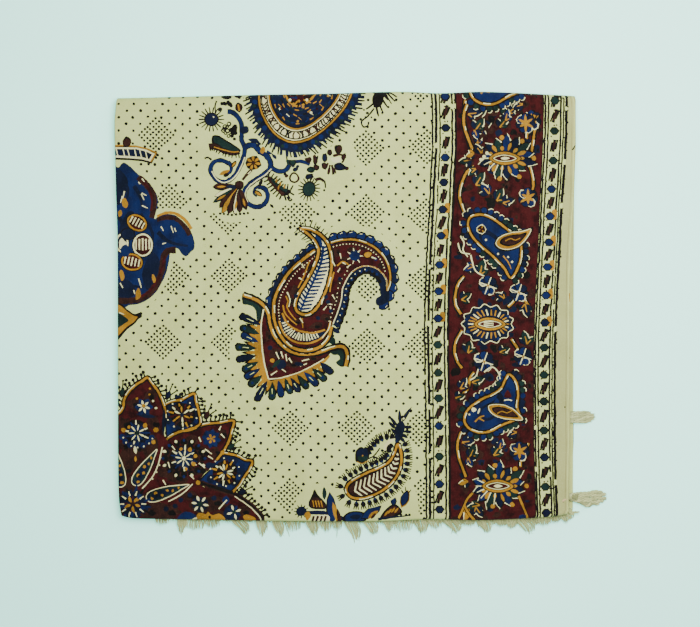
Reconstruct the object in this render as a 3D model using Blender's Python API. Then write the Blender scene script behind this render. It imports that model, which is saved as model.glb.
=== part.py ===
"""A block-printed cotton cloth with knotted fringes, folded flat.

The cloth is doubled along its left side. The doubled cloth is then laid back and forth in
four layers: it starts at the bottom edge as the lowest layer, turns over at the top edge to
become the top layer, turns under at the bottom edge, and turns back at the top edge to end
as the second layer. Both fringed ends so lie in the lower half, along the bottom edge.

Metres, +Z up, +X to the right and +Y towards the top edge of the laid cloth. The origin is
at the middle of the part's box, on the surface that it lies on.
"""

import math
from collections import namedtuple

import bmesh
import bpy
from mathutils import Vector

# Cloth and the air between its plies
PLY = 0.0010
PLY_GAP = 0.0005
LAYER_GAP = 0.00055
PART_GAP = 0.0003

# The stack that they give
DOUBLED = 2 * PLY + PLY_GAP
LAYER_PITCH = DOUBLED + LAYER_GAP
PLY_MIDDLE = (PLY + PLY_GAP) / 2
LAYERS = [DOUBLED / 2 + level * LAYER_PITCH for level in range(4)]
HEIGHT = LAYERS[-1] + DOUBLED / 2
LOWEST, SECOND, THIRD, TOP_LAYER = range(4)

# Straight outline that the fold lines wander about
BOTTOM = -0.2215
TOP = 0.2435
CLOTH_END = -0.2100

# Where the folds run, from corner to corner
Fold = namedtuple("Fold", "x y")
LEFT_FOLD = [
    Fold(-0.2670, 0.2430),
    Fold(-0.2694, 0.2150),
    Fold(-0.2685, 0.1760),
    Fold(-0.2674, 0.1320),
    Fold(-0.2660, 0.0890),
    Fold(-0.2656, -0.0420),
    Fold(-0.2652, -0.1730),
    Fold(-0.2642, -0.2050),
    Fold(-0.2620, -0.2200),
]
TOP_FOLD = [
    Fold(-0.268, 0.2384),
    Fold(-0.235, 0.2391),
    Fold(-0.194, 0.2402),
    Fold(-0.104, 0.2424),
    Fold(-0.039, 0.2435),
    Fold(0.043, 0.2456),
    Fold(0.086, 0.2440),
    Fold(0.133, 0.2456),
    Fold(0.206, 0.2424),
    Fold(0.235, 0.2407),
]
BOTTOM_FOLD = [
    Fold(-0.264, -0.2168),
    Fold(-0.254, -0.2195),
    Fold(-0.241, -0.2206),
    Fold(-0.165, -0.2217),
    Fold(-0.067, -0.2233),
    Fold(0.020, -0.2233),
    Fold(0.075, -0.2211),
    Fold(0.129, -0.2222),
    Fold(0.194, -0.2195),
    Fold(0.216, -0.2173),
    Fold(0.231, -0.2140),
]

# Where each layer ends at the right, down the length of the cloth
Edge = namedtuple("Edge", "y lowest second third top")
RIGHT_EDGES = [
    Edge(0.2430, 0.2330, 0.2290, 0.2290, 0.2330),
    Edge(0.2200, 0.2335, 0.2285, 0.2285, 0.2347),
    Edge(0.1810, 0.2330, 0.2275, 0.2280, 0.2337),
    Edge(0.1270, 0.2332, 0.2260, 0.2275, 0.2326),
    Edge(0.0840, 0.2354, 0.2230, 0.2265, 0.2300),
    Edge(0.0450, 0.2326, 0.2180, 0.2255, 0.2282),
    Edge(-0.0050, 0.2336, 0.2120, 0.2250, 0.2280),
    Edge(-0.0500, 0.2326, 0.2060, 0.2250, 0.2279),
    Edge(-0.0820, 0.2318, 0.2020, 0.2250, 0.2277),
    Edge(-0.0980, 0.2358, 0.2000, 0.2248, 0.2277),
    Edge(-0.1400, 0.2369, 0.2000, 0.2245, 0.2276),
    Edge(-0.1620, 0.2338, 0.2000, 0.2245, 0.2274),
    Edge(-0.1800, 0.2292, 0.2000, 0.2245, 0.2271),
    Edge(-0.1970, 0.2290, 0.2000, 0.2245, 0.2271),
    Edge(-0.2100, 0.2315, 0.2000, 0.2245, 0.2275),
    Edge(-0.2190, 0.2300, 0.2000, 0.2240, 0.2255),
]

# How far the first and the second half of the cloth stop short of its layer's edge
Trim = namedtuple("Trim", "first second")
TRIMS = [Trim(0.002, 0.0), Trim(0.0, 0.002), Trim(0.001, 0.001), Trim(0.0, 0.002)]

# Soft swells of the laid cloth
CROWN = 0.0009
HALF_LENGTH = 0.240
HALF_WIDTH = 0.250
Swell = namedtuple("Swell", "x y across along height")
SWELLS = [
    Swell(-0.182, 0.018, 0.034, 0.060, 0.0009),
    Swell(-0.062, -0.170, 0.034, 0.050, 0.0008),
    Swell(0.020, 0.190, 0.090, 0.040, 0.0006),
    Swell(0.160, -0.030, 0.050, 0.120, 0.0005),
]

# Facets of the folded cloth
FACETS_ACROSS = 8
FACETS_ROUND_LEFT_FOLD = 4
FACETS_ROUND_OUTER_FOLD = 7
FACETS_ROUND_INNER_FOLD = 5

# Fringe: the heading strip, and the locks that leave its end
STRIP = 0.006
OVERHANG = 0.0020
DROOP = 14.0
LOCK = 0.0009
LOCK_GAP = 0.0006
ROOT_SHARE = 0.72
TIP_SHARE = 0.42
TIP_THICKNESS = 0.0005
SHORT_LOCK = 0.0100

# The bundles that show below the bottom fold
LOCKS_IN_SHOWN_BUNDLE = 2
Bundle = namedtuple("Bundle", "x reach width lean")
SHOWN_BUNDLES = [
    Bundle(-0.1945, 0.0150, 0.0120, -0.0010),
    Bundle(-0.1790, 0.0125, 0.0135, 0.0020),
    Bundle(-0.1610, 0.0085, 0.0120, 0.0015),
    Bundle(-0.1310, 0.0158, 0.0140, 0.0025),
    Bundle(-0.1105, 0.0158, 0.0105, 0.0000),
    Bundle(-0.0900, 0.0158, 0.0110, 0.0010),
    Bundle(-0.0775, 0.0125, 0.0090, 0.0000),
    Bundle(-0.0660, 0.0125, 0.0095, 0.0015),
    Bundle(-0.0540, 0.0153, 0.0095, -0.0005),
    Bundle(-0.0410, 0.0118, 0.0105, 0.0010),
    Bundle(-0.0270, 0.0109, 0.0105, -0.0010),
    Bundle(-0.0110, 0.0225, 0.0125, 0.0035),
    Bundle(0.0065, 0.0120, 0.0115, 0.0020),
    Bundle(0.0225, 0.0060, 0.0110, 0.0000),
    Bundle(0.0385, 0.0125, 0.0115, 0.0000),
    Bundle(0.0525, 0.0114, 0.0105, 0.0000),
    Bundle(0.0655, 0.0147, 0.0105, 0.0010),
    Bundle(0.0785, 0.0114, 0.0105, 0.0000),
    Bundle(0.0905, 0.0114, 0.0095, 0.0000),
    Bundle(0.1025, 0.0158, 0.0100, 0.0015),
    Bundle(0.1160, 0.0070, 0.0110, 0.0000),
    Bundle(0.1295, 0.0147, 0.0100, 0.0005),
    Bundle(0.1410, 0.0158, 0.0090, 0.0015),
    Bundle(0.1530, 0.0070, 0.0095, 0.0000),
    Bundle(0.1650, 0.0125, 0.0105, 0.0010),
    Bundle(0.1780, 0.0169, 0.0105, 0.0015),
    Bundle(0.1905, 0.0125, 0.0100, 0.0005),
]

# The plainer rows of locks under them: their reach at the sparse left end and at the dense right
Row = namedtuple("Row", "start end pitch short long offset")
UNDER_SHOWN = Row(-0.1980, 0.1920, 0.0126, 0.0030, 0.0120, 0.0)
UPPER_OF_LOWEST = Row(-0.2150, 0.2260, 0.0119, 0.0040, 0.0090, 1.7)
LOWER_OF_LOWEST = Row(-0.2080, 0.2200, 0.0143, 0.0020, 0.0042, 3.1)
LOCK_IN_PITCH = 0.80
SPARSE_TO = 0.0
DENSE_FROM = 0.1000

# Tassels at the right edge: the head's sections, from the root out
Head = namedtuple("Head", "x width thickness z")
UPPER_HEAD = [
    Head(0.2170, 0.0080, 0.0016, 0.0043),
    Head(0.2230, 0.0110, 0.0028, 0.0043),
    Head(0.2310, 0.0125, 0.0026, 0.0043),
]
UPPER_TASSEL_Y = -0.1100
LOWER_HEAD = [
    Head(0.2160, 0.0040, 0.0016, 0.0043),
    Head(0.2255, 0.0050, 0.0026, 0.0043),
    Head(0.2290, 0.0064, 0.0042, 0.0053),
    Head(0.2325, 0.0072, 0.0054, 0.0058),
    Head(0.2362, 0.0062, 0.0038, 0.0056),
]
LOWER_TASSEL_Y = -0.1975

# Strands of the tassels, from the one nearest the bottom edge upwards
Strand = namedtuple("Strand", "middle_y tip_y tip_x")
UPPER_STRANDS = [
    Strand(-0.1156, -0.1152, 0.2520),
    Strand(-0.1128, -0.1126, 0.2545),
    Strand(-0.1101, -0.1098, 0.2550),
    Strand(-0.1073, -0.1072, 0.2530),
    Strand(-0.1046, -0.1048, 0.2500),
]
LOWER_STRANDS = [
    Strand(-0.2056, -0.2042, 0.2640),
    Strand(-0.2021, -0.2008, 0.2680),
    Strand(-0.1989, -0.1976, 0.2690),
    Strand(-0.1958, -0.1944, 0.2680),
    Strand(-0.1928, -0.1913, 0.2650),
]
UPPER_STRAND_WIDTH = 0.0022
LOWER_STRAND_WIDTH = 0.0026
STRAND_THICKNESS = 0.0018
STRAND_SHOULDER = 0.2400
SHOULDER_SHARE = 0.62

Point = namedtuple("Point", "middle width thickness")


def clamp(value):
    """Keeps a share between 0 and 1."""
    return min(max(value, 0.0), 1.0)


def read_off(rows, key, wanted, at):
    """Reads one column of a table at a place along another, in straight lines between its rows."""
    rows = sorted(rows, key=lambda row: getattr(row, key))
    for low, high in zip(rows, rows[1:]):
        if at <= getattr(high, key):
            break
    span = getattr(high, key) - getattr(low, key)
    share = clamp((at - getattr(low, key)) / span)
    return getattr(low, wanted) + share * (getattr(high, wanted) - getattr(low, wanted))


def swell(x, y):
    """How much higher than the flat stack the top of the cloth lies."""
    crown = CROWN * clamp(1 - (x / HALF_WIDTH) ** 2) * clamp(1 - (y / HALF_LENGTH) ** 2)
    for row in SWELLS:
        spread = ((x - row.x) / row.across) ** 2 + ((y - row.y) / row.along) ** 2
        crown += row.height * math.exp(-spread)
    return crown


def lifted(x, y, z):
    """Raises a point of the flat stack with the swells, the more the higher it lies in it."""
    return Vector((x, y, z + swell(x, y) * clamp((z - PLY) / (HEIGHT - PLY))))


def settled(x, y, z):
    """Moves a point of the straight cloth to where the laid cloth wanders and swells.

    Only the two upper layers turn at the bottom fold. The fringed ends below it lie straight.
    """
    up = clamp((y - BOTTOM) / (TOP - BOTTOM))
    down = (1 - up) * clamp((z - LAYERS[SECOND] - DOUBLED / 2) / LAYER_GAP)
    to_top = read_off(TOP_FOLD, "x", "y", x) - TOP
    to_bottom = read_off(BOTTOM_FOLD, "x", "y", x) - BOTTOM
    return lifted(x, y + up * to_top + down * to_bottom, z)


# A line across the doubled cloth: its middle in side view, the way that it faces, and its ends
Station = namedtuple("Station", "y z facing first_end second_end")


def ends_at(y, layer):
    """Where the first and the second half of the cloth end in this layer."""
    edge = read_off(RIGHT_EDGES, "y", RIGHT_EDGES[0]._fields[1 + layer], y)
    return edge - TRIMS[layer].first, edge - TRIMS[layer].second


def straight_run(layer, places):
    """Stations along one layer. The lowest and third face up, and the other two down."""
    facing = math.radians(90) if layer in (LOWEST, THIRD) else math.radians(-90)
    return [Station(y, LAYERS[layer], facing, *ends_at(y, layer)) for y in places]


def turn(middle_y, before, after, start, sweep, inwards, facets):
    """Stations round one fold, between the layers before and after it."""
    middle_z = (LAYERS[before] + LAYERS[after]) / 2
    radius = abs(LAYERS[before] - LAYERS[after]) / 2
    stations = []
    for facet in range(facets + 1):
        share = facet / facets
        angle = math.radians(start + sweep * share)
        y = middle_y + radius * math.cos(angle)
        z = middle_z + radius * math.sin(angle)
        pairs = zip(ends_at(middle_y, before), ends_at(middle_y, after))
        ends = [one + share * (other - one) for one, other in pairs]
        facing = angle + math.pi if inwards else angle
        stations.append(Station(y, z, facing, *ends))
    return stations


def cloth_stations():
    """The whole way of the doubled cloth, from its lowest end to its inner end."""
    outer_radius = (LAYERS[TOP_LAYER] - LAYERS[LOWEST]) / 2
    inner_radius = LAYER_PITCH / 2
    top_middle = TOP - outer_radius - DOUBLED / 2
    bottom_middle = BOTTOM + inner_radius + DOUBLED / 2
    rows = [edge.y for edge in RIGHT_EDGES if CLOTH_END < edge.y < top_middle - PART_GAP]
    down, up = rows, rows[::-1]
    outer = turn(top_middle, LOWEST, TOP_LAYER, -90, 180, True, FACETS_ROUND_OUTER_FOLD)
    lower = turn(bottom_middle, TOP_LAYER, THIRD, 90, 180, True, FACETS_ROUND_INNER_FOLD)
    inner = turn(top_middle, THIRD, SECOND, 90, -180, False, FACETS_ROUND_INNER_FOLD)
    return (
        straight_run(LOWEST, [CLOTH_END] + up)
        + outer
        + straight_run(TOP_LAYER, down)
        + lower
        + straight_run(THIRD, up)
        + inner
        + straight_run(SECOND, down + [CLOTH_END])
    )


# A line along the cloth: its share of the way from the left fold, and its angle round that fold
Column = namedtuple("Column", "share angle")


def section_columns(first_shares, second_shares):
    """Columns from the right end of the first half, round the left fold, to that of the second."""
    facets = range(1, FACETS_ROUND_LEFT_FOLD)
    angles = [-90 + 180 * facet / FACETS_ROUND_LEFT_FOLD for facet in facets]
    first = [Column(share, math.radians(-90)) for share in sorted(first_shares, reverse=True)]
    fold = [Column(0.0, math.radians(angle)) for angle in angles]
    second = [Column(share, math.radians(90)) for share in sorted(second_shares)]
    return first + fold + second


def folded_point(station, column, side):
    """A point of the doubled cloth. Side is 1 on its outer face and -1 on its inner face."""
    radius = PLY_MIDDLE + side * PLY / 2
    out = radius * math.sin(column.angle)
    y = station.y + out * math.cos(station.facing)
    z = station.z + out * math.sin(station.facing)
    fold_x = read_off(LEFT_FOLD, "y", "x", y) + DOUBLED / 2
    end = station.first_end if column.angle < 0 else station.second_end
    x = fold_x - radius * math.cos(column.angle) + column.share * (end - fold_x)
    return settled(x, y, z)


def slab(stations, columns, place):
    """A closed sheet. Its points, by station, column and side, lie where place puts them."""
    bm = bmesh.new()
    across, along = len(columns) - 1, len(stations) - 1
    bmesh.ops.create_grid(bm, x_segments=across, y_segments=along, size=1.0)
    inner = list(bm.verts)
    region = bmesh.ops.extrude_face_region(bm, geom=bm.faces[:], use_keep_orig=True)
    outer = [item for item in region["geom"] if isinstance(item, bmesh.types.BMVert)]
    points = {}
    for side, verts in ((-1, inner), (1, outer)):
        for vert in verts:
            column = round((vert.co.x + 1) / 2 * across)
            station = round((vert.co.y + 1) / 2 * along)
            points[station, column, side] = vert
    for (station, column, side), vert in points.items():
        vert.co = place(stations[station], columns[column], side)
    return bm, points


def end_face(bm, points, station, column):
    """The face between this column and the next at a station at the slab's end."""
    corners = [(column, -1), (column + 1, -1), (column + 1, 1), (column, 1)]
    return bm.faces.get([points[station, index, side] for index, side in corners])


def grow_lock(bm, root, route, across):
    """Draws a four-sided lock out of a face, through the points of its route."""
    face = root
    for point in route:
        before = face.calc_center_median()
        face = bmesh.ops.extrude_discrete_faces(bm, faces=[face])["faces"][0]
        for vert in face.verts:
            offset = vert.co - before
            sideways = math.copysign(point.width / 2, offset.dot(across)) * across
            upwards = Vector((0, 0, math.copysign(point.thickness / 2, offset.z)))
            vert.co = lifted(*(point.middle + sideways + upwards))


def finish(bm, name, colour, roughness, collection):
    """Makes the mesh an object with its own material."""
    bmesh.ops.recalc_face_normals(bm, faces=bm.faces[:])
    if bm.calc_volume(signed=True) < 0:
        bmesh.ops.reverse_faces(bm, faces=bm.faces[:])
    mesh = bpy.data.meshes.new(name)
    bm.to_mesh(mesh)
    bm.free()
    mesh.shade_smooth()
    mesh.set_sharp_from_angle(angle=math.radians(40))
    material = bpy.data.materials.new(name + "_cotton")
    material.use_nodes = True
    shader = material.node_tree.nodes["Principled BSDF"]
    shader.inputs["Base Color"].default_value = (*colour, 1.0)
    shader.inputs["Roughness"].default_value = roughness
    shader.inputs["Metallic"].default_value = 0.0
    mesh.materials.append(material)
    obj = bpy.data.objects.new(name, mesh)
    collection.objects.link(obj)
    return obj


def row_of_bundles(row):
    """A plain row: short bundles at the sparse left end, and longer ones towards the right."""
    count = round((row.end - row.start) / row.pitch)
    bundles = []
    for index in range(count + 1):
        x = row.start + (row.end - row.start) * index / count
        dense = clamp((x - SPARSE_TO) / (DENSE_FROM - SPARSE_TO))
        uneven = 0.85 + 0.15 * math.sin(2.4 * index + row.offset)
        reach = (row.short + (row.long - row.short) * dense) * uneven
        lean = 0.001 * math.sin(1.7 * index + row.offset)
        bundles.append(Bundle(x, reach, LOCK_IN_PITCH * row.pitch, lean))
    return bundles


# One lock: the middle of its root, belly and tip, its width, and how far it reaches past the fold
Lock = namedtuple("Lock", "root belly tip width reach")


def part_bundles(bundles, count):
    """The locks that the bundles part into, count in each."""
    locks = []
    for bundle in bundles:
        width = (bundle.width - (count - 1) * LOCK_GAP) / count
        for index in range(count):
            place = (index - (count - 1) / 2) * (width + LOCK_GAP)
            root = bundle.x + place * ROOT_SHARE
            belly = bundle.x + place + bundle.lean / 2
            tip = bundle.x + 0.8 * place + bundle.lean
            locks.append(Lock(root, belly, tip, width, bundle.reach))
    return locks


def drooped(start, reach, thickness):
    """Height of a lock's middle at a distance past the fold: it sags until it lies on the floor."""
    return max(start - DROOP * max(reach, 0.0) ** 2, thickness / 2)


def lock_route(lock, height):
    """A lock's way from the heading strip: out past the fold, down, and level at its tip."""
    fold_y = read_off(BOTTOM_FOLD, "x", "y", lock.belly)
    near_tip = (lock.belly + lock.tip) / 2
    stops = [
        (0.0, lock.belly, ROOT_SHARE * lock.width, LOCK),
        (0.5 * lock.reach, lock.belly, lock.width, LOCK),
        (0.82 * lock.reach, near_tip, 0.9 * lock.width, LOCK),
        (lock.reach, lock.tip, TIP_SHARE * lock.width, TIP_THICKNESS),
    ]
    if lock.reach < SHORT_LOCK:
        stops.pop(1)
    route = []
    for past, x, wide, thick in stops:
        z = drooped(height, past + OVERHANG, thick)
        route.append(Point(Vector((x, fold_y - past, z)), wide, thick))
    return route


def root_span(lock, fold_x, end):
    """A lock's root as shares of the way from the left fold to the end of its half."""
    half = ROOT_SHARE * lock.width / 2
    return [(lock.root + step - fold_x) / (end - fold_x) for step in (-half, half)]


def fringe(name, layer, first_locks, second_locks, collection):
    """One end's fringe: a strip that follows the doubled cloth, with locks fused to its end."""
    places = [CLOTH_END - PART_GAP - STRIP, CLOTH_END - PART_GAP]
    stations = straight_run(layer, places)
    fold_x = read_off(LEFT_FOLD, "y", "x", places[0]) + DOUBLED / 2
    first = [root_span(lock, fold_x, stations[0].first_end) for lock in first_locks]
    second = [root_span(lock, fold_x, stations[0].second_end) for lock in second_locks]
    columns = section_columns([0.0, 1.0] + sum(first, []), [0.0, 1.0] + sum(second, []))
    bm, points = slab(stations, columns, folded_point)
    starts = [Column(max(span), math.radians(-90)) for span in first]
    starts += [Column(min(span), math.radians(90)) for span in second]
    roots = [end_face(bm, points, 0, columns.index(start)) for start in starts]
    for root, lock in zip(roots, first_locks + second_locks):
        height = root.calc_center_median().z
        grow_lock(bm, root, lock_route(lock, height), Vector((1, 0, 0)))
    return finish(bm, name, (0.60, 0.57, 0.42), 0.95, collection)


def cloth(collection):
    """The cloth itself, one sheet from fringe to fringe."""
    shares = [index / FACETS_ACROSS for index in range(FACETS_ACROSS + 1)]
    columns = section_columns(shares, shares)
    bm, _ = slab(cloth_stations(), columns, folded_point)
    return finish(bm, "folded_panel", (0.62, 0.60, 0.44), 0.9, collection)


def strand_route(strand, head_end, width):
    """A tassel strand's way: level over the lowest layer, then down to the floor and along it."""
    end_x, end_y, end_z = head_end
    lying = STRAND_THICKNESS / 2
    landing = STRAND_SHOULDER + 0.4 * (strand.tip_x - STRAND_SHOULDER)
    near_tip = STRAND_SHOULDER + 0.85 * (strand.tip_x - STRAND_SHOULDER)
    half_way = (end_y + strand.middle_y) / 2
    thin = TIP_THICKNESS * 2
    return [
        Point(
            Vector((STRAND_SHOULDER, half_way, end_z - STRAND_THICKNESS / 3)),
            SHOULDER_SHARE * width,
            STRAND_THICKNESS,
        ),
        Point(Vector((landing, strand.middle_y, lying)), width, STRAND_THICKNESS),
        Point(Vector((near_tip, strand.tip_y, lying)), width, STRAND_THICKNESS),
        Point(Vector((strand.tip_x, strand.tip_y, thin / 2)), 0.5 * width, thin),
    ]


def side_tassel(name, heads, middle_y, strands, width, collection):
    """A tassel at the right edge: a flat head between two layers, with strands fused to its end."""
    cells = len(strands)
    gap = 0.12
    columns = [0.0]
    for cell in range(cells):
        columns += [(cell + gap / 2) / cells, (cell + 1 - gap / 2) / cells]
    columns.append(1.0)

    def head_point(head, column, side):
        bulge = 0.55 + 0.45 * math.sin(math.pi * column)
        y = middle_y + (column - 0.5) * head.width
        return lifted(head.x, y, head.z + side * bulge * head.thickness / 2)

    bm, points = slab(heads, columns, head_point)
    end = heads[-1]
    faces = [end_face(bm, points, len(heads) - 1, 1 + 2 * cell) for cell in range(cells)]
    for cell, (face, strand) in enumerate(zip(faces, strands)):
        y = middle_y + ((cell + 0.5) / cells - 0.5) * end.width
        route = strand_route(strand, (end.x, y, end.z), width)
        grow_lock(bm, face, route, Vector((0, 1, 0)))
    return finish(bm, name, (0.63, 0.60, 0.45), 0.95, collection)


def clear_scene():
    """Removes what the scene starts with."""
    for obj in list(bpy.data.objects):
        bpy.data.objects.remove(obj, do_unlink=True)


def main():
    clear_scene()
    collection = bpy.data.collections.new("folded_kalamkari_panel")
    bpy.context.scene.collection.children.link(collection)
    cloth(collection)
    upper = part_bundles(row_of_bundles(UPPER_OF_LOWEST), 1)
    lower = part_bundles(row_of_bundles(LOWER_OF_LOWEST), 1)
    fringe("fringe_lower_end", LOWEST, lower, upper, collection)
    shown = part_bundles(SHOWN_BUNDLES, LOCKS_IN_SHOWN_BUNDLE)
    under = part_bundles(row_of_bundles(UNDER_SHOWN), 1)
    fringe("fringe_inner_end", SECOND, shown, under, collection)
    side_tassel(
        "side_tassel_upper",
        UPPER_HEAD,
        UPPER_TASSEL_Y,
        UPPER_STRANDS,
        UPPER_STRAND_WIDTH,
        collection,
    )
    side_tassel(
        "side_tassel_lower",
        LOWER_HEAD,
        LOWER_TASSEL_Y,
        LOWER_STRANDS,
        LOWER_STRAND_WIDTH,
        collection,
    )


main()
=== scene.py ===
"""The looks of a folded kalamkari panel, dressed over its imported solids.

One cotton cloth is doubled along its left side and laid in four layers. Its printed face is
one mesh, cut along the edge of every patch of dye, so that the print is crisp at any size.
Its two fringed ends and two side tassels are spun and knotted yarn.

Metres, +Z up, +X to the right and +Y towards the top edge, as in the frame. The print is set
out on squared paper laid on the folded cloth, with squares of 1.09 mm, x to the right and y
down the cloth.
"""

import logging
import math
import random
from collections.abc import Iterable, Sequence
from dataclasses import dataclass, field
from enum import Enum

import bpy
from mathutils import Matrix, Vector, geometry, noise


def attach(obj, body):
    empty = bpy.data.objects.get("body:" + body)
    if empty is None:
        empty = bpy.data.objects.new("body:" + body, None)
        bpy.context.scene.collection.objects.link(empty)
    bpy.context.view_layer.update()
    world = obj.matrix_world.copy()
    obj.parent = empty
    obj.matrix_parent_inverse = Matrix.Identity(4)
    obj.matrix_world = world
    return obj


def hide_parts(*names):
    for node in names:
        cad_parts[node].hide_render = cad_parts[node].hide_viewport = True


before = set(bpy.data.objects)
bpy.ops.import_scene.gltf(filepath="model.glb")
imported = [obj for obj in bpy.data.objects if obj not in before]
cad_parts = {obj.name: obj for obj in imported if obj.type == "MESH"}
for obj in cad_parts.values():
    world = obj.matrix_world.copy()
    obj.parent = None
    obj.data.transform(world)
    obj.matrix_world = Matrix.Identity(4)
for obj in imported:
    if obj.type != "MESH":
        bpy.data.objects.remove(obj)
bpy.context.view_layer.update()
LOG = logging.getLogger("folded_panel")

Spot = tuple[float, float]

# The laid cloth, as its solids have it
PLY = 0.0010
PLY_GAP = 0.0005
LAYER_GAP = 0.00055
DOUBLED = 2 * PLY + PLY_GAP
LAYER_PITCH = DOUBLED + LAYER_GAP
LAYERS = [DOUBLED / 2 + level * LAYER_PITCH for level in range(4)]
HEIGHT = LAYERS[-1] + DOUBLED / 2
LOWEST, SECOND, THIRD, TOP_LAYER = range(4)
BOTTOM = -0.2215
TOP = 0.2435
CLOTH_END = -0.2100
OUTER_RADIUS = (LAYERS[TOP_LAYER] - LAYERS[LOWEST]) / 2
INNER_RADIUS = LAYER_PITCH / 2
TOP_TURN = TOP - OUTER_RADIUS - DOUBLED / 2
BOTTOM_TURN = BOTTOM + INNER_RADIUS + DOUBLED / 2

# The squared paper: the size of a square, and where the frame's origin lies on it
SQUARE = 0.0010893
PAPER_X = 361.5
PAPER_Y = 316.5


def clamp(value: float) -> float:
    """Keeps a share between 0 and 1."""
    return min(max(value, 0.0), 1.0)


def ease(share: float) -> float:
    """A share that starts and ends slowly."""
    share = clamp(share)
    return share * share * (3 - 2 * share)


@dataclass(frozen=True)
class Course:
    """A smooth line through measured rows, read at any place between them."""

    rows: tuple[tuple[float, ...], ...]

    def at(self, place: float, column: int = 1) -> float:
        """Reads a column at a place.

        Args:
            place: Where along the first column.
            column: The column wanted.

        Returns:
            The value on a smooth curve through the rows, or the end row's beyond them.
        """
        rows = self.rows
        last = len(rows) - 1
        if place <= rows[0][0]:
            return rows[0][column]
        if place >= rows[last][0]:
            return rows[last][column]
        index = 0
        while rows[index + 1][0] < place:
            index += 1
        span = rows[index + 1][0] - rows[index][0]
        share = (place - rows[index][0]) / span
        start, end = rows[index][column], rows[index + 1][column]
        before, after = rows[max(index - 1, 0)], rows[min(index + 2, last)]
        first = (end - before[column]) / (rows[index + 1][0] - before[0]) * span
        second = (after[column] - start) / (after[0] - rows[index][0]) * span
        s2, s3 = share * share, share**3
        return (
            (2 * s3 - 3 * s2 + 1) * start
            + (s3 - 2 * s2 + share) * first
            + (3 * s2 - 2 * s3) * end
            + (s3 - s2) * second
        )


LEFT_FOLD = Course(
    (
        (-0.2200, -0.2620), (-0.2050, -0.2642), (-0.1730, -0.2652), (-0.0420, -0.2656), (0.0890, -0.2660),
        (0.1320, -0.2674), (0.1760, -0.2685), (0.2150, -0.2694), (0.2430, -0.2670)
    )
)
TOP_FOLD = Course(
    (
        (-0.268, 0.2384), (-0.235, 0.2391), (-0.194, 0.2402), (-0.104, 0.2424), (-0.039, 0.2435),
        (0.043, 0.2456), (0.086, 0.2440), (0.133, 0.2456), (0.206, 0.2424), (0.235, 0.2407)
    )
)
BOTTOM_FOLD = Course(
    (
        (-0.264, -0.2168), (-0.254, -0.2195), (-0.241, -0.2206), (-0.165, -0.2217), (-0.067, -0.2233),
        (0.020, -0.2233), (0.075, -0.2211), (0.129, -0.2222), (0.194, -0.2195), (0.216, -0.2173),
        (0.231, -0.2140)
    )
)
# Where each layer ends at the right: y, then the lowest, second, third and top layer's x
RIGHT_EDGES = Course(
    (
        (-0.2190, 0.2300, 0.2000, 0.2240, 0.2255), (-0.2100, 0.2315, 0.2000, 0.2245, 0.2275),
        (-0.1970, 0.2290, 0.2000, 0.2245, 0.2271), (-0.1800, 0.2292, 0.2000, 0.2245, 0.2271),
        (-0.1620, 0.2338, 0.2000, 0.2245, 0.2274), (-0.1400, 0.2369, 0.2000, 0.2245, 0.2276),
        (-0.0980, 0.2358, 0.2000, 0.2248, 0.2277), (-0.0820, 0.2318, 0.2020, 0.2250, 0.2277),
        (-0.0500, 0.2326, 0.2060, 0.2250, 0.2279), (-0.0050, 0.2336, 0.2120, 0.2250, 0.2280),
        (0.0450, 0.2326, 0.2180, 0.2255, 0.2282), (0.0840, 0.2354, 0.2230, 0.2265, 0.2300),
        (0.1270, 0.2332, 0.2260, 0.2275, 0.2326), (0.1810, 0.2330, 0.2275, 0.2280, 0.2337),
        (0.2200, 0.2335, 0.2285, 0.2285, 0.2347), (0.2430, 0.2330, 0.2290, 0.2290, 0.2330)
    )
)
# How far the first and the second half of the cloth stop short of its layer's edge
TRIMS = ((0.002, 0.0), (0.0, 0.002), (0.001, 0.001), (0.0, 0.002))

CROWN = 0.0009
HALF_LENGTH = 0.240
HALF_WIDTH = 0.250
# Soft swells: x, y, reach across, reach along and height
SWELLS = (
    (-0.182, 0.018, 0.034, 0.060, 0.0009), (-0.062, -0.170, 0.034, 0.050, 0.0008),
    (0.020, 0.190, 0.090, 0.040, 0.0006), (0.160, -0.030, 0.050, 0.120, 0.0005)
)


# Soft creases of the top layer: both ends, width and height, troughs negative
CREASES = (
    ((-0.181, 0.072), (-0.185, -0.036), 0.0060, 0.0007),
    ((-0.170, 0.066), (-0.173, -0.030), 0.0040, -0.0004),
    ((-0.061, -0.124), (-0.064, -0.222), 0.0060, 0.0006),
    ((-0.052, -0.128), (-0.053, -0.222), 0.0040, -0.0003),
    ((0.2120, -0.2060), (0.2270, -0.1975), 0.0030, -0.0008),
    ((0.2100, -0.2100), (0.2260, -0.2030), 0.0035, 0.0005),
    ((-0.240, 0.232), (-0.236, 0.150), 0.0050, 0.0005), ((0.090, 0.236), (0.092, 0.180), 0.0060, 0.0004),
    ((0.2235, 0.236), (0.2200, -0.200), 0.0016, -0.0003)
)


def swell(x: float, y: float) -> float:
    """How much higher than the flat stack the top of the cloth lies.

    Args:
        x: How far right the place lies, in metres.
        y: How far up the cloth the place lies, in metres.

    Returns:
        The height, in metres.
    """
    crown = CROWN * clamp(1 - (x / HALF_WIDTH) ** 2) * clamp(1 - (y / HALF_LENGTH) ** 2)
    for middle_x, middle_y, across, along, height in SWELLS:
        spread = ((x - middle_x) / across) ** 2 + ((y - middle_y) / along) ** 2
        crown += height * math.exp(-spread)
    return crown


def lifted(x: float, y: float, z: float) -> Vector:
    """Raises a point of the flat stack with the swells, the more the higher it lies."""
    return Vector((x, y, z + swell(x, y) * clamp((z - PLY) / (HEIGHT - PLY))))


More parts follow.
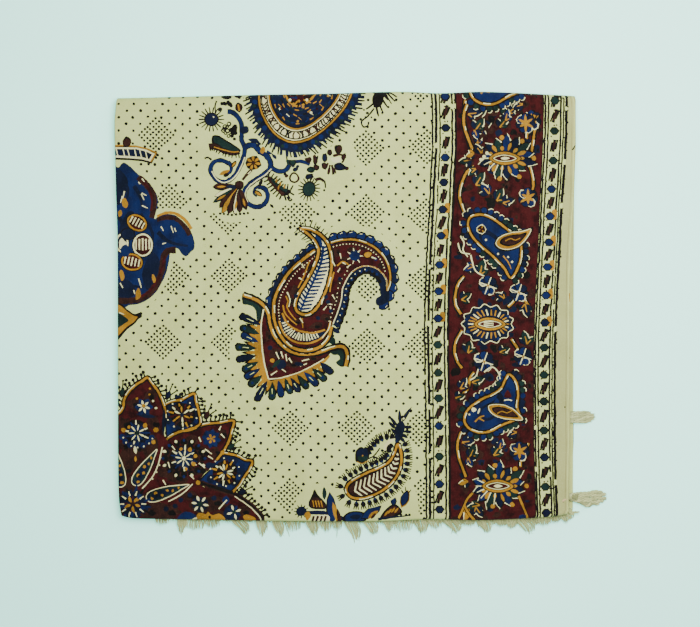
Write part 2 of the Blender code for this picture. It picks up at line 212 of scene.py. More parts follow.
def settled(x: float, y: float, z: float) -> Vector:
    """Moves a point of the straight cloth to where the laid cloth wanders and swells.

    Args:
        x: How far right the point lies, in metres.
        y: How far up the cloth the point lies, in metres.
        z: Its height in the flat stack, in metres.

    Returns:
        Where the point lies in the real stack.
    """
    up = clamp((y - BOTTOM) / (TOP - BOTTOM))
    down = (1 - up) * clamp((z - LAYERS[SECOND] - DOUBLED / 2) / LAYER_GAP)
    to_top = TOP_FOLD.at(x) - TOP
    to_bottom = BOTTOM_FOLD.at(x) - BOTTOM
    return lifted(x, y + up * to_top + down * to_bottom, z)


# Finishes


def linear(hex_colour: str) -> tuple[float, float, float, float]:
    """Turns an sRGB hex colour to the linear values that a shader takes.

    Args:
        hex_colour: The colour, such as #a0b0c0.

    Returns:
        Its red, green, blue and alpha.
    """
    parts = [int(hex_colour[i : i + 2], 16) / 255 for i in (1, 3, 5)]
    parts = [p / 12.92 if p <= 0.04045 else ((p + 0.055) / 1.055) ** 2.4 for p in parts]
    return (*parts, 1.0)


def add_node(
    tree: bpy.types.NodeTree,
    kind: str,
    settings: dict[str, object] | None = None,
    links: dict[str | int, bpy.types.NodeSocket] | None = None,
) -> bpy.types.Node:
    """Adds a node, sets it and links its inputs.

    Args:
        tree: The tree that it joins.
        kind: Its Blender type.
        settings: Values for its properties, or else for its inputs, by name or number.
        links: The output that feeds each named or numbered input.

    Returns:
        The new node.
    """
    node = tree.nodes.new(kind)
    for name, value in (settings or {}).items():
        if isinstance(name, str) and hasattr(node, name):
            setattr(node, name, value)
        else:
            node.inputs[name].default_value = value
    for name, output in (links or {}).items():
        tree.links.new(output, node.inputs[name])
    return node


def blend_colours(
    tree: bpy.types.NodeTree,
    share: bpy.types.NodeSocket,
    first: bpy.types.NodeSocket | str,
    second: bpy.types.NodeSocket | str,
    mode: str = "MIX",
) -> bpy.types.NodeSocket:
    """Blends two colours, each a hex value or another node's output.

    Args:
        tree: The node tree.
        share: How much of the second colour shows.
        first: The first colour.
        second: The second colour.
        mode: How they are blended.

    Returns:
        The blend's output.
    """
    node = add_node(tree, "ShaderNodeMix", {"data_type": "RGBA", "blend_type": mode})
    tree.links.new(share, node.inputs[0])
    for socket, colour in ((node.inputs[6], first), (node.inputs[7], second)):
        if isinstance(colour, str):
            socket.default_value = linear(colour)
        else:
            tree.links.new(colour, socket)
    return node.outputs[2]


def remap(
    tree: bpy.types.NodeTree,
    value: bpy.types.NodeSocket,
    start: Spot,
    end: Spot = (0.0, 1.0),
) -> bpy.types.NodeSocket:
    """Takes a value from one range to another, and holds it there."""
    settings = {1: start[0], 2: start[1], 3: end[0], 4: end[1]}
    return add_node(tree, "ShaderNodeMapRange", settings, {0: value}).outputs[0]


class Ink(Enum):
    """What a patch of the printed face is dyed with."""

    GROUND = 0
    MADDER = 1
    BROWN = 2
    INDIGO = 3
    NIGHT = 4
    OCHRE = 5
    GREEN = 6
    BLACK = 7
    PALE = 8
    HEM = 9
    # The painted shade line along the rolled hem
    SEAM = 10
    BACK = 11


@dataclass(frozen=True)
class DyedCotton:
    """Block-printed cotton: a matt plain weave whose dye is uneven and thin in specks.

    The eye gets a dull, dry surface, a colour that drifts over a hand's width, and specks
    where the block pressed less and the undyed yarn shows.
    """

    name: str
    colour: str
    deep: str
    worn: str
    wash: float
    specks: float
    wash_size: float = 0.030
    speck_size: float = 0.0016
    thread_pitch: float = 0.0008

    def make(self) -> bpy.types.Material:
        """Builds the material.

        Returns:
            The new material. Its pattern follows the flat cloth, in metres.
        """
        material = bpy.data.materials.new(self.name)
        material.use_nodes = True
        tree = material.node_tree
        shader = tree.nodes["Principled BSDF"]
        flat = add_node(tree, "ShaderNodeUVMap", {"uv_map": "flat_cloth"}).outputs[0]
        # Dye drifts in soft clouds, about a hand apart, with finer unevenness inside
        clouds = add_node(
            tree,
            "ShaderNodeTexNoise",
            {"noise_dimensions": "2D", "Scale": 1 / self.wash_size, "Detail": 4.0},
            {"Vector": flat},
        ).outputs[0]
        share = remap(tree, clouds, (0.42, 0.66), (0.0, self.wash))
        colour = blend_colours(tree, share, self.colour, self.deep)
        # Yarn is thicker and thinner along its length, so the cloth has faint slubs
        lengthwise = add_node(
            tree, "ShaderNodeMapping", {"Scale": (1.0, 0.12, 1.0)}, {"Vector": flat}
        ).outputs[0]
        slubs = add_node(
            tree,
            "ShaderNodeTexNoise",
            {"noise_dimensions": "2D", "Scale": 420.0, "Detail": 2.0},
            {"Vector": lengthwise},
        ).outputs[0]
        grain = add_node(
            tree,
            "ShaderNodeTexNoise",
            {"noise_dimensions": "2D", "Scale": 1 / self.speck_size, "Detail": 3.0},
            {"Vector": flat},
        ).outputs[0]
        thin = remap(tree, grain, (0.56, 0.72), (0.0, self.specks))
        colour = blend_colours(tree, thin, colour, self.worn)
        streak = remap(tree, slubs, (0.35, 0.75), (0.0, 0.05))
        colour = blend_colours(tree, streak, colour, self.worn)
        tree.links.new(colour, shader.inputs["Base Color"])
        rough = remap(tree, clouds, (0.3, 0.7), (0.82, 0.94))
        tree.links.new(rough, shader.inputs["Roughness"])
        # Cotton lets little light mirror and has a faint bloom of loose fibres
        shader.inputs["Specular IOR Level"].default_value = 0.10
        shader.inputs["Sheen Weight"].default_value = 0.03
        shader.inputs["Sheen Roughness"].default_value = 0.55
        # Plain weave. Real yarn lies 0.4 mm apart, and it is drawn at twice that to show
        waves = []
        for direction in ("X", "Y"):
            settings = {
                "bands_direction": direction, "Scale": 2 * math.pi / (20 * self.thread_pitch),
                "Distortion": 1.2, "Detail": 1.0, "Detail Scale": 0.4
            }
            wave = add_node(tree, "ShaderNodeTexWave", settings, {"Vector": flat})
            waves.append(wave.outputs["Fac"])
        weave = add_node(
            tree, "ShaderNodeMath", {"operation": "MULTIPLY"}, {0: waves[0], 1: waves[1]}
        ).outputs[0]
        relief = add_node(tree, "ShaderNodeMath", {"operation": "ADD"}, {0: weave, 1: slubs}).outputs[0]
        bump = add_node(
            tree, "ShaderNodeBump", {"Strength": 0.45, "Distance": 0.00018}, {"Height": relief}
        )
        # Soft puckers of washed cloth, a centimetre or two apart
        puckers = add_node(
            tree,
            "ShaderNodeTexNoise",
            {"noise_dimensions": "2D", "Scale": 62.0, "Detail": 3.0},
            {"Vector": flat},
        ).outputs[0]
        soft = add_node(
            tree, "ShaderNodeBump", {"Strength": 0.5, "Distance": 0.0007},
            {"Height": puckers, "Normal": bump.outputs[0]}
        )
        tree.links.new(soft.outputs[0], shader.inputs["Normal"])
        return material


DYES: dict[Ink, DyedCotton] = {
    Ink.GROUND: DyedCotton(
        "unbleached_cotton", "#b0b870", "#a2a962", "#bfc588", 0.50, 0.35
    ),
    Ink.MADDER: DyedCotton(
        "madder_dyed_cotton", "#310708", "#150404", "#592a24", 0.9, 0.15, 0.010
    ),
    Ink.BROWN: DyedCotton(
        "iron_madder_dyed_cotton", "#25110b", "#120806", "#563626", 0.8, 0.20, 0.008
    ),
    Ink.INDIGO: DyedCotton(
        "indigo_dyed_cotton", "#06163c", "#040c22", "#2c3c58", 0.7, 0.12, 0.016
    ),
    Ink.NIGHT: DyedCotton(
        "twice_dipped_indigo_cotton", "#050d22", "#030810", "#263248", 0.8, 0.12
    ),
    Ink.OCHRE: DyedCotton(
        "myrobalan_yellow_cotton", "#8c620e", "#5c400c", "#ac904a", 0.6, 0.24
    ),
    Ink.GREEN: DyedCotton(
        "overdyed_green_cotton", "#091f1b", "#06120f", "#3a4a36", 0.8, 0.16
    ),
    Ink.BLACK: DyedCotton(
        "iron_black_printed_cotton", "#060504", "#030303", "#343226", 0.5, 0.15
    ),
    Ink.PALE: DyedCotton(
        "reserved_cream_cotton", "#bfbc86", "#a8a26a", "#d2d0a2", 0.5, 0.25
    ),
    Ink.HEM: DyedCotton(
        "unwashed_hem_cotton", "#989a60", "#8b8d55", "#aaac78", 0.50, 0.35
    ),
    # A painted shade line along the rolled hem, a little darker than the hem
    Ink.SEAM: DyedCotton(
        "painted_hem_shade_cotton", "#848250", "#747244", "#94925f", 0.50, 0.35
    ),
    # The plain side and the cut rim keep the yarn's own warm cream
    Ink.BACK: DyedCotton(
        "plain_back_cotton", "#baa074", "#ab9266", "#c9b28a", 0.50, 0.35
    ),
}


# Drawing


def through(points: Sequence[Spot], closed: bool, step: float) -> list[Spot]:
    """Draws a smooth curve through points.

    Args:
        points: The points, in squares.
        closed: Whether it comes back to its start.
        step: The most that two of its new points lie apart.

    Returns:
        The points along the curve.
    """
    count = len(points)
    spans = count if closed else count - 1
    line: list[Spot] = []
    for index in range(spans):
        if closed:
            p = [points[(index + k) % count] for k in (-1, 0, 1, 2)]
        else:
            p = [points[min(max(index + k, 0), count - 1)] for k in (-1, 0, 1, 2)]
        length = math.dist(p[1], p[2])
        cuts = max(1, math.ceil(length / step))
        for cut in range(cuts):
            t = cut / cuts
            a = -0.5 * t**3 + t**2 - 0.5 * t
            b = 1.5 * t**3 - 2.5 * t**2 + 1
            c = -1.5 * t**3 + 2 * t**2 + 0.5 * t
            d = 0.5 * t**3 - 0.5 * t**2
            line.append(tuple(a * p[0][k] + b * p[1][k] + c * p[2][k] + d * p[3][k] for k in (0, 1)))
    if not closed:
        line.append(tuple(points[-1]))
    return line


def drawn_in(outline: Sequence[Spot], middle: Spot, across: float, down: float) -> list[Spot]:
    """Moves an outline's points towards a place, each by these shares of its way there."""
    return [(x + (middle[0] - x) * across, y + (middle[1] - y) * down) for x, y in outline]


def scaled(outline: Sequence[Spot], middle: Spot, across: float, down: float) -> list[Spot]:
    """Scales an outline about a place."""
    x0, y0 = middle
    return [(x0 + (x - x0) * across, y0 + (y - y0) * down) for x, y in outline]


@dataclass
class BlockPrint:
    """Patches of dye on the squared paper, in the order in which they are pressed."""

    seed: int = 7
    step: float = 2.0
    ragged: float = 0.28
    finest: float = 0.0
    shown: Spot = (88.0, 530.0)
    patches: list[tuple[Ink, list[Spot]]] = field(default_factory=list)
    move: tuple[float, float, float, float, bool] = (0.0, 0.0, 0.0, 1.0, False)

    def __post_init__(self) -> None:
        """Starts the draws that make it uneven, the noise's own offsets among them."""
        self.chance = random.Random(self.seed)
        noise.seed_set(self.seed)

    def at(
        self, x: float, y: float, turn: float = 0.0, size: float = 1.0, flip: bool = False
    ) -> "BlockPrint":
        """Puts what is drawn next at a place, in degrees anticlockwise as seen."""
        self.move = (x, y, math.radians(turn), size, flip)
        return self

    def home(self) -> None:
        """Goes back to the paper's own squares."""
        self.move = (0.0, 0.0, 0.0, 1.0, False)

    def press(self, ink: Ink, outline: Sequence[Spot]) -> None:
        """Presses one patch with a slightly ragged edge.

        Args:
            ink: Its dye.
            outline: Its edge, in the squares of the block.
        """
        x0, y0, turn, size, flip = self.move
        cos, sin = math.cos(turn) * size, math.sin(turn) * size
        placed = []
        for x, y in outline:
            if flip:
                x = -x
            px, py = x0 + x * cos + y * sin, y0 - x * sin + y * cos
            wander = noise.noise_vector(Vector((px * 0.31, py * 0.31, self.seed)))
            placed.append((px + self.ragged * wander.x, py + self.ragged * wander.y))
        if self.finest and not self.shown[0] < placed[0][1] < self.shown[1]:
            wide = max(x for x, _ in placed) - min(x for x, _ in placed)
            tall = max(y for _, y in placed) - min(y for _, y in placed)
            if max(wide, tall) < self.finest:
                return
        self.patches.append((ink, placed))

    def blob(self, ink: Ink, points: Sequence[Spot]) -> None:
        """Presses a closed smooth patch."""
        self.press(ink, through(points, True, self.step))

    def shape(self, ink: Ink, points: Sequence[Spot]) -> None:
        """Presses a closed patch with straight edges."""
        self.press(ink, points)

    def stroke(
        self, ink: Ink, points: Sequence[Spot], width: float, taper: float = 1.0
    ) -> None:
        """Presses a line.

        Args:
            ink: Its dye.
            points: What it runs through.
            width: Its width at its start, in squares.
            taper: Its width at its end, as a share of the first.
        """
        line = through(points, False, self.step)
        self.ribbon(ink, line, width, taper)

    def ring(self, ink: Ink, points: Sequence[Spot], width: float) -> None:
        """Presses a closed line."""
        line = through(points, True, self.step)
        self.ribbon(ink, line + line[:1], width, 1.0)

    def edge(self, points: Sequence[Spot], width: float, closed: bool = False) -> None:
        """Presses a line of ochre in black, with a broken cream line on its left side.

        Args:
            points: What the line runs through, in squares.
            width: Its width, in squares.
            closed: Whether the line comes back to its start.
        """
        draw = self.ring if closed else self.stroke
        draw(Ink.BLACK, points, width * 1.28)
        draw(Ink.OCHRE, points, width * 0.54)
        self.glint(points, width, closed)

    def glint(self, points: Sequence[Spot], width: float, closed: bool) -> None:
        """Presses the broken cream line of an ochre band.

        Args:
            points: What the line runs through, in squares.
            width: Its width, in squares.
            closed: Whether the line comes back to its start.
        """
        run: list[Spot] = []
        left, shown = self.chance.randint(3, 8), True
        for (x, y), (tx, ty) in self.paces(points, 2.0, closed):
            run.append((x + 0.19 * width * ty, y - 0.19 * width * tx))
            left -= 1
            if left <= 0:
                if shown and len(run) > 2:
                    self.ribbon(Ink.PALE, run, 0.26 * width, 0.8)
                run, shown = [], not shown
                left = self.chance.randint(3, 8)
        if shown and len(run) > 2:
            self.ribbon(Ink.PALE, run, 0.26 * width, 0.8)

    def ribbon(self, ink: Ink, line: Sequence[Spot], width: float, taper: float) -> None:
        """Presses a line through points that are already close together.

        Thin dark lines spread a little, as wet dye does in cotton.

        Args:
            ink: Its dye.
            line: The points, in squares.
            width: Its width at its start, in squares.
            taper: Its width at its end, as a share of the first.
        """
        last = len(line) - 1
        if ink in (Ink.BLACK, Ink.BROWN, Ink.NIGHT) and width < 2.5:
            width += 0.42
        sides = []
        for index, (x, y) in enumerate(line):
            before, after = line[max(index - 1, 0)], line[min(index + 1, last)]
            if last > 2 and line[0] == line[-1] and index in (0, last):
                before, after = line[last - 1], line[1]
            dx, dy = after[0] - before[0], after[1] - before[1]
            length = math.hypot(dx, dy) or 1.0
            half = width / 2 * (1 + (taper - 1) * index / max(last, 1))
            half *= 0.86 + 0.28 * self.chance.random()
            sides.append(
                (
                    (x - dy / length * half, y + dx / length * half),
                    (x + dy / length * half, y - dx / length * half)
                )
            )
        for (a, b), (c, d) in zip(sides, sides[1:]):
            self.press(ink, (a, c, b))
            self.press(ink, (c, d, b))

    def dot(self, ink: Ink, x: float, y: float, radius: float, sides: int = 7) -> None:
        """Presses a round spot, a little uneven.

        Args:
            ink: Its dye.
            x: How far right its middle lies, in squares.
            y: How far down its middle lies, in squares.
            radius: How far it reaches from its middle, in squares.
            sides: How many corners its edge has.
        """
        start = self.chance.random() * math.tau
        outline = []
        for index in range(sides):
            angle = start + math.tau * index / sides
            reach = radius * (0.88 + 0.24 * self.chance.random())
            outline.append((x + reach * math.cos(angle), y + reach * math.sin(angle)))
        self.press(ink, outline)

    def petal(
        self, ink: Ink, root: Spot, tip: Spot, width: float, belly: float = 0.5
    ) -> None:
        """Presses a leaf that is widest at a share of its length.

        Args:
            ink: Its dye.
            root: Where it starts.
            tip: Where it ends.
            width: Its greatest width, in squares.
            belly: Where it is widest, as a share of its length.
        """
        dx, dy = tip[0] - root[0], tip[1] - root[1]
        length = math.hypot(dx, dy) or 1.0
        nx, ny = -dy / length * width / 2, dx / length * width / 2

        def spot(share: float, side: float) -> Spot:
            """A place beside the leaf's middle line."""
            return root[0] + dx * share + side * nx, root[1] + dy * share + side * ny

        outline = [root, spot(belly * 0.45, 0.72), spot(belly, 1.0)]
        outline += [spot(belly + (1 - belly) * 0.6, 0.66), tip]
        outline += [spot(belly + (1 - belly) * 0.6, -0.66), spot(belly, -1.0)]
        outline += [spot(belly * 0.45, -0.72)]
        self.press(ink, outline)

    def comb(
        self,
        ink: Ink,
        points: Sequence[Spot],
        length: float,
        pitch: float,
        width: float,
        closed: bool = False,
        tip: float = 0.0,
        lean: float = 0.0,
    ) -> None:
        """Presses a row of hairs that stand on the left side of a line, seen along it.

        Args:
            ink: Their dye.
            points: The line that they stand on.
            length: Their length.
            pitch: How far apart they are.
            width: Their width.
            closed: Whether the line is closed.
            tip: The radius of a dot at each tip, or 0.
            lean: How far each tip leans on along the line, as a share of the length.
        """
        for (x, y), (tx, ty) in self.paces(points, pitch, closed):
            reach = length * (0.8 + 0.4 * self.chance.random())
            sway = lean + 0.24 * (self.chance.random() - 0.5)
            ex = x + (ty + sway * tx) * reach
            ey = y + (-tx + sway * ty) * reach
            self.stroke(ink, ((x, y), (ex, ey)), width, 0.75)
            if tip:
                self.dot(ink, ex, ey, tip, 5)

    def paces(
        self, points: Sequence[Spot], pitch: float, closed: bool
    ) -> list[tuple[Spot, Spot]]:
        """Walks along a line and gives even places on it, each with its direction.

        Args:
            points: What the line runs through, in squares.
            pitch: The way from one to the next, in squares.
            closed: Whether the line comes back to its start.

        Returns:
            Each place with the line's direction there.
        """
        line = through(points, closed, 1.0)
        if closed:
            line.append(line[0])
        places = []
        due = pitch / 2
        for (ax, ay), (bx, by) in zip(line, line[1:]):
            length = math.hypot(bx - ax, by - ay)
            if length == 0:
                continue
            while due <= length:
                share = due / length
                spot = (ax + (bx - ax) * share, ay + (by - ay) * share)
                places.append((spot, ((bx - ax) / length, (by - ay) / length)))
                due += pitch
            due -= length
        return places

    def blot(self, ink: Ink, x: float, y: float, across: float, along: float) -> None:
        """Presses an uneven blot, as where dye pooled.

        Args:
            ink: Its dye.
            x: How far right its middle lies, in squares.
            y: How far down its middle lies, in squares.
            across: Half its width, in squares.
            along: Half its height, in squares.
        """
        outline = []
        for index in range(9):
            angle = math.tau * index / 9
            reach = self.chance.uniform(0.55, 1.15)
            outline.append((x + across * reach * math.cos(angle), y + along * reach * math.sin(angle)))
        self.press(ink, outline)

    def cloud(self, x: float, y: float, across: float, along: float) -> None:
        """Presses a brown blot with a black one in it."""
        self.blot(Ink.BROWN, x, y, across, along)
        self.blot(Ink.BLACK, x + 1.5, y + 1.0, 0.4 * across, 0.4 * along)

    def bud(
        self, ink: Ink, x: float, y: float, across: float, along: float, turn: float = 0.0
    ) -> None:
        """Presses an oval bud with a black rim, turned by some degrees.

        Args:
            ink: Its dye.
            x: How far right its middle lies, in squares.
            y: How far down its middle lies, in squares.
            across: Half its width, in squares.
            along: Half its height, in squares.
            turn: How far it is turned, in degrees.
        """
        cos, sin = math.cos(math.radians(turn)), math.sin(math.radians(turn))
        for dye, share in ((Ink.BLACK, 1.0), (ink, 0.68)):
            outline = []
            for index in range(9):
                angle = math.tau * index / 9
                reach = share * self.chance.uniform(0.88, 1.12)
                px, py = across * reach * math.cos(angle), along * reach * math.sin(angle)
                outline.append((x + px * cos - py * sin, y + px * sin + py * cos))
            self.press(dye, outline)

    def ticks(
        self,
        x: float,
        y: float,
        span: Spot,
        count: int,
        inks: Sequence[Ink],
        width: float,
        squash: float = 1.0,
    ) -> None:
        """Presses short strokes that stand round a place, the inks in turn.

        Args:
            x: How far right its middle lies, in squares.
            y: How far down its middle lies, in squares.
            span: How far from the middle they start and end.
            count: How many there are.
            inks: Their dyes.
            width: Their width, in squares.
            squash: Their height, as a share of their width.
        """
        start = self.chance.random()
        for index in range(count):
            angle = math.tau * (index + start) / count + self.chance.uniform(-0.12, 0.12)
            cos, sin = math.cos(angle), squash * math.sin(angle)
            far = span[1] * self.chance.uniform(0.86, 1.1)
            ends = ((x + span[0] * cos, y + span[0] * sin), (x + far * cos, y + far * sin))
            self.stroke(inks[index % len(inks)], ends, width, 0.6)

    def clear(self, points: Sequence[Spot], out: float) -> None:
        """Leaves the ground bare round a block, a little way past its outline.

        Args:
            points: The block's outline, in squares.
            out: How far past it the ground is bare, in squares.
        """
        middle_x = sum(x for x, _ in points) / len(points)
        middle_y = sum(y for _, y in points) / len(points)
        grown = []
        for x, y in points:
            length = math.hypot(x - middle_x, y - middle_y) or 1.0
            share = 1 + out / length
            grown.append((middle_x + (x - middle_x) * share, middle_y + (y - middle_y) * share))
        self.blob(Ink.GROUND, grown)

    def beads(
        self,
        ink: Ink,
        points: Sequence[Spot],
        radius: float,
        pitch: float,
        out: float,
        closed: bool = False,
        rim: Ink | None = None,
    ) -> None:
        """Presses round lobes along the left side of a line, each with a rim if asked.

        Args:
            ink: Their dye.
            points: What the line runs through, in squares.
            radius: How large each is, in squares.
            pitch: The way from one to the next, in squares.
            out: How far off the line they stand, in squares.
            closed: Whether the line comes back to its start.
            rim: The dye of their rims, if they have any.
        """
        for (x, y), (tx, ty) in self.paces(points, pitch, closed):
            cx, cy = x + ty * out, y - tx * out
            if rim:
                self.dot(rim, cx + 0.5 * ty, cy - 0.5 * tx, radius + 0.9, 7)
            self.dot(ink, cx, cy, radius, 7)

    def rosette(
        self,
        x: float,
        y: float,
        radius: float,
        petals: Sequence[Ink],
        count: int,
        heart: Ink = Ink.OCHRE,
    ) -> None:
        """Presses a small round flower whose petals take the inks in turn.

        Args:
            x: How far right its middle lies, in squares.
            y: How far down its middle lies, in squares.
            radius: How far it reaches from its middle, in squares.
            petals: The petals' dyes.
            count: How many petals there are.
            heart: The heart's dye.
        """
        start = self.chance.random()
        for index in range(count):
            angle = math.tau * (index + start) / count
            cos, sin = math.cos(angle), math.sin(angle)
            root = (x + 0.22 * radius * cos, y + 0.22 * radius * sin)
            tip = (x + radius * cos, y + radius * sin)
            self.petal(petals[index % len(petals)], root, tip, 2.7 * radius / count, 0.62)
        self.dot(heart, x, y, 0.2 * radius + 0.4, 6)


# The print

GROUND, MADDER, BROWN, INDIGO, NIGHT, OCHRE, GREEN, BLACK, PALE, HEM, SEAM, BACK = Ink


@dataclass
class DottedGround:
    """Staggered rows of small iron-black dots, with closer diamonds of finer dots."""

    row_pitch: float = 6.75
    dot_pitch: float = 14.2
    dot_radius: float = 1.6
    diamonds: tuple[Spot, ...] = (
        (156, 135), (169, 202), (171, 276), (163, 342), (228, 217), (229, 276), (229, 342), (297, 212),
        (366, 148), (366, 212), (368, 284), (367, 346), (290, 428), (290, 496), (357, 428), (419, 429),
        (427, 147), (426, 216), (424, 283), (423, 346), (421, 497)
    )
    diamond_half: float = 20.0
    fine_pitch: float = 5.5
    fine_radius: float = 1.42
    repeat: float = -412.0

    def draw(
        self, block: BlockPrint, left: float, right: float, top: float, bottom: float
    ) -> None:
        """Presses the dots over an area.

        Args:
            block: The print that takes them.
            left: Its left edge.
            right: Its right edge.
            top: Its top edge.
            bottom: Its bottom edge.
        """
        diamonds = list(self.diamonds) + [(x, y + self.repeat) for x, y in self.diamonds]
        rows = round((bottom - top) / self.row_pitch)
        for row in range(rows + 1):
            y = top + row * self.row_pitch
            x = left + (self.dot_pitch / 2 if row % 2 else 0.0)
            while x < right:
                px = x + block.chance.uniform(-0.7, 0.7)
                py = y + 0.012 * (x - left) + block.chance.uniform(-0.6, 0.6)
                x += self.dot_pitch
                near = min(abs(px - dx) + abs(py - dy) for dx, dy in diamonds)
                if near > self.diamond_half + 2 and px < right - 1:
                    radius = self.dot_radius * block.chance.uniform(0.85, 1.12)
                    block.dot(BLACK, px, py, radius, 6)
        half = self.fine_pitch / 2
        for dx, dy in diamonds:
            for i in range(-7, 8):
                for j in range(-7, 8):
                    if (i + j) % 2 or abs(i) + abs(j) > 7:
                        continue
                    px = dx + i * half * 1.04 + block.chance.uniform(-0.4, 0.4)
                    py = dy + j * half + block.chance.uniform(-0.4, 0.4)
                    if px < right - 1:
                        block.dot(BLACK, px, py, self.fine_radius, 5)


@dataclass
class HookedPaisley:
    """The largest block: a leaf with a hooked tip, a veined leaf inside, and a toothed fan."""

    left: tuple[Spot, ...] = (
        (315, 250), (302.5, 260), (290.4, 271), (281.9, 283), (275.9, 295), (273.5, 307), (274.7, 321.6),
        (279.5, 333.7), (288, 344.7), (297.7, 349.5), (307.4, 350.7), (317.1, 348.3), (324.4, 343.4),
        (329.2, 336.2), (331.6, 326.5)
    )
    over: tuple[Spot, ...] = (
        (330.4, 243), (341.3, 240.2), (353.4, 239.6), (364.3, 242.3), (374, 247.1), (382.5, 255),
        (387.4, 263.5), (390, 273.2), (389.8, 282.9), (387, 291)
    )
    under: tuple[Spot, ...] = (
        (387, 289), (386.5, 280.4), (382.5, 273.8), (376.5, 268.5), (368, 266), (360.7, 267),
        (352.2, 272), (346.2, 280.4), (342.6, 289), (341.3, 299.8), (337.7, 311.9), (333, 324)
    )
    band: tuple[Spot, ...] = (
        (243, 295), (256.5, 300), (264, 306), (268.6, 315), (270, 324), (274.5, 336.2), (283, 346.2),
        (293, 352.3), (305, 354.3), (319.5, 352.3), (331.6, 348), (341.3, 346.3), (346, 350),
        (347.2, 358), (345.6, 366.5)
    )
    base: tuple[Spot, ...] = (
        (263.5, 309), (261, 324), (261.6, 342), (263.8, 360), (268.4, 379.4), (279.5, 378.6),
        (297.7, 373.2), (312.2, 366.5), (324.4, 359.2), (332, 350), (318, 354), (304, 356), (291, 353.6),
        (280, 346.6), (271.5, 336), (267, 322)
    )
    leaf: tuple[Spot, ...] = (
        (300.5, 228.5), (309.8, 229.3), (320.7, 235), (328, 244.1), (331, 255), (331.6, 267),
        (329.2, 280.4), (325.2, 292.5), (319.5, 304), (312.2, 312.3), (303.8, 314.6), (297, 311),
        (295.4, 304), (298.6, 293.8), (305.4, 282.9), (312.6, 269.5), (317.4, 257.4), (318.2, 248.9),
        (313.5, 239.6), (306.2, 232.6)
    )
    vein: tuple[Spot, ...] = ((323.5, 246), (321, 262), (314, 280), (306, 297), (300.5, 311))
    teeth: tuple[tuple[float, float, float, float], ...] = (
        (259, 324, 240.8, 315.6), (257, 333, 241.4, 327.4), (256, 341, 242.0, 334.5),
        (254, 348, 236.5, 347.0), (254, 356, 237.1, 359.6), (256, 363, 243.2, 370.1),
        (258, 370, 245.6, 377.4), (260, 377, 249.8, 385.0), (266, 383, 256.5, 400.0),
        (272, 384, 272.3, 399.0), (279, 383, 281.5, 396.0), (286, 381, 290.6, 393.0),
        (292, 380, 299.0, 391.0), (299, 377, 307.6, 387.4), (306, 374, 317.0, 384.4),
        (314, 370, 325.0, 379.6), (322, 364, 331.6, 373.0)
    )

    def fan(self, block: BlockPrint) -> None:
        """Presses the ochre rays and the paddle-shaped teeth round the base.

        Args:
            block: The print that takes it.
        """
        block.blob(
            OCHRE,
            (
                (263, 314), (257, 326), (254, 344), (256, 362), (262, 380), (268, 386), (282, 385),
                (300, 378), (318, 368), (330, 356), (318, 356), (296, 366), (270, 372), (266, 340)
            )
        )
        for index, (x, y, tx, ty) in enumerate(self.teeth):
            length = math.hypot(tx - x, ty - y)
            dx, dy = (tx - x) / length, (ty - y) / length
            root = (x - 3 * dx, y - 3 * dy)
            block.petal(BLACK, root, (tx + dx, ty + dy), 8.2, 0.72)
            block.dot(BLACK, tx - 2.2 * dx, ty - 2.2 * dy, 4.1, 8)
            ink = (NIGHT, GREEN, INDIGO, GREEN)[index % 4]
            block.petal(ink, root, (tx, ty), 6.0, 0.72)
            block.dot(ink, tx - 2.6 * dx, ty - 2.6 * dy, 3.0, 8)
            if index % 2:
                block.dot(INDIGO, tx - 3.4 * dx, ty - 3.4 * dy, 1.6, 6)
            if index % 3 != 1:
                end = (x + 0.66 * (tx - x), y + 0.66 * (ty - y))
                block.stroke(GROUND, ((x + 0.3 * (tx - x), y + 0.3 * (ty - y)), end), 1.0, 0.4)
        for (x, y, tx, ty), (x2, y2, tx2, ty2) in zip(self.teeth, self.teeth[1:]):
            root = ((x + x2) / 2 + 0.35 * (x - tx), (y + y2) / 2 + 0.35 * (y - ty))
            tip = ((x + x2 + tx + tx2) / 4, (y + y2 + ty + ty2) / 4)
            block.petal(
                BLACK, root, (tip[0] + 0.3 * (tip[0] - root[0]), tip[1] + 0.3 * (tip[1] - root[1])), 3.6,
                0.6
            )
            block.petal(OCHRE, root, tip, 3.4, 0.5)

    def edge_lobes(self, block: BlockPrint) -> None:
        """Presses the blue lobes that stand round the leaf.

        Args:
            block: The print that takes it.
        """
        over = self.over + ((384, 299), (378, 304))
        for line, radius, pitch in ((over, 4.7, 8.6), (tuple(reversed(self.left[:7])), 4.2, 8.0)):
            for (x, y), (tx, ty) in block.paces(line, pitch, False):
                nx, ny = ty, -tx
                ink = block.chance.choice((INDIGO, INDIGO, NIGHT))
                root = (x - 1.5 * nx, y - 1.5 * ny)
                tip = (x + 9.4 * nx + 1.8 * tx, y + 9.4 * ny + 1.8 * ty)
                block.dot(BLACK, x + 3.6 * nx, y + 3.6 * ny, radius + 1.1, 8)
                block.petal(BLACK, root, tip, 2 * radius + 2.0, 0.62)
                block.dot(ink, x + 3.3 * nx, y + 3.3 * ny, radius, 8)
                block.petal(ink, root, (tip[0] - nx, tip[1] - ny), 2 * radius, 0.6)
                block.stroke(
                    PALE,
                    (
                        (x + 6.6 * nx - 2.2 * tx, y + 6.6 * ny - 2.2 * ty),
                        (x + 7.2 * nx + 0.6 * tx, y + 7.2 * ny + 0.6 * ty)
                    ),
                    0.6
                )
        block.blob(NIGHT, ((380, 296), (388, 290), (389, 300), (382, 305), (376.6, 305), (376, 299)))
        side = tuple(reversed(self.under))
        block.comb(BLACK, tuple(reversed(side)), 6.6, 5.2, 0.9, lean=0.35)
        block.stroke(BLACK, [(x + 3.6, y + 2.6) for x, y in self.under[5:]], 8.2, 1.0)
        block.stroke(NIGHT, [(x + 3.2, y + 2.4) for x, y in self.under[5:]], 6.6, 1.0)
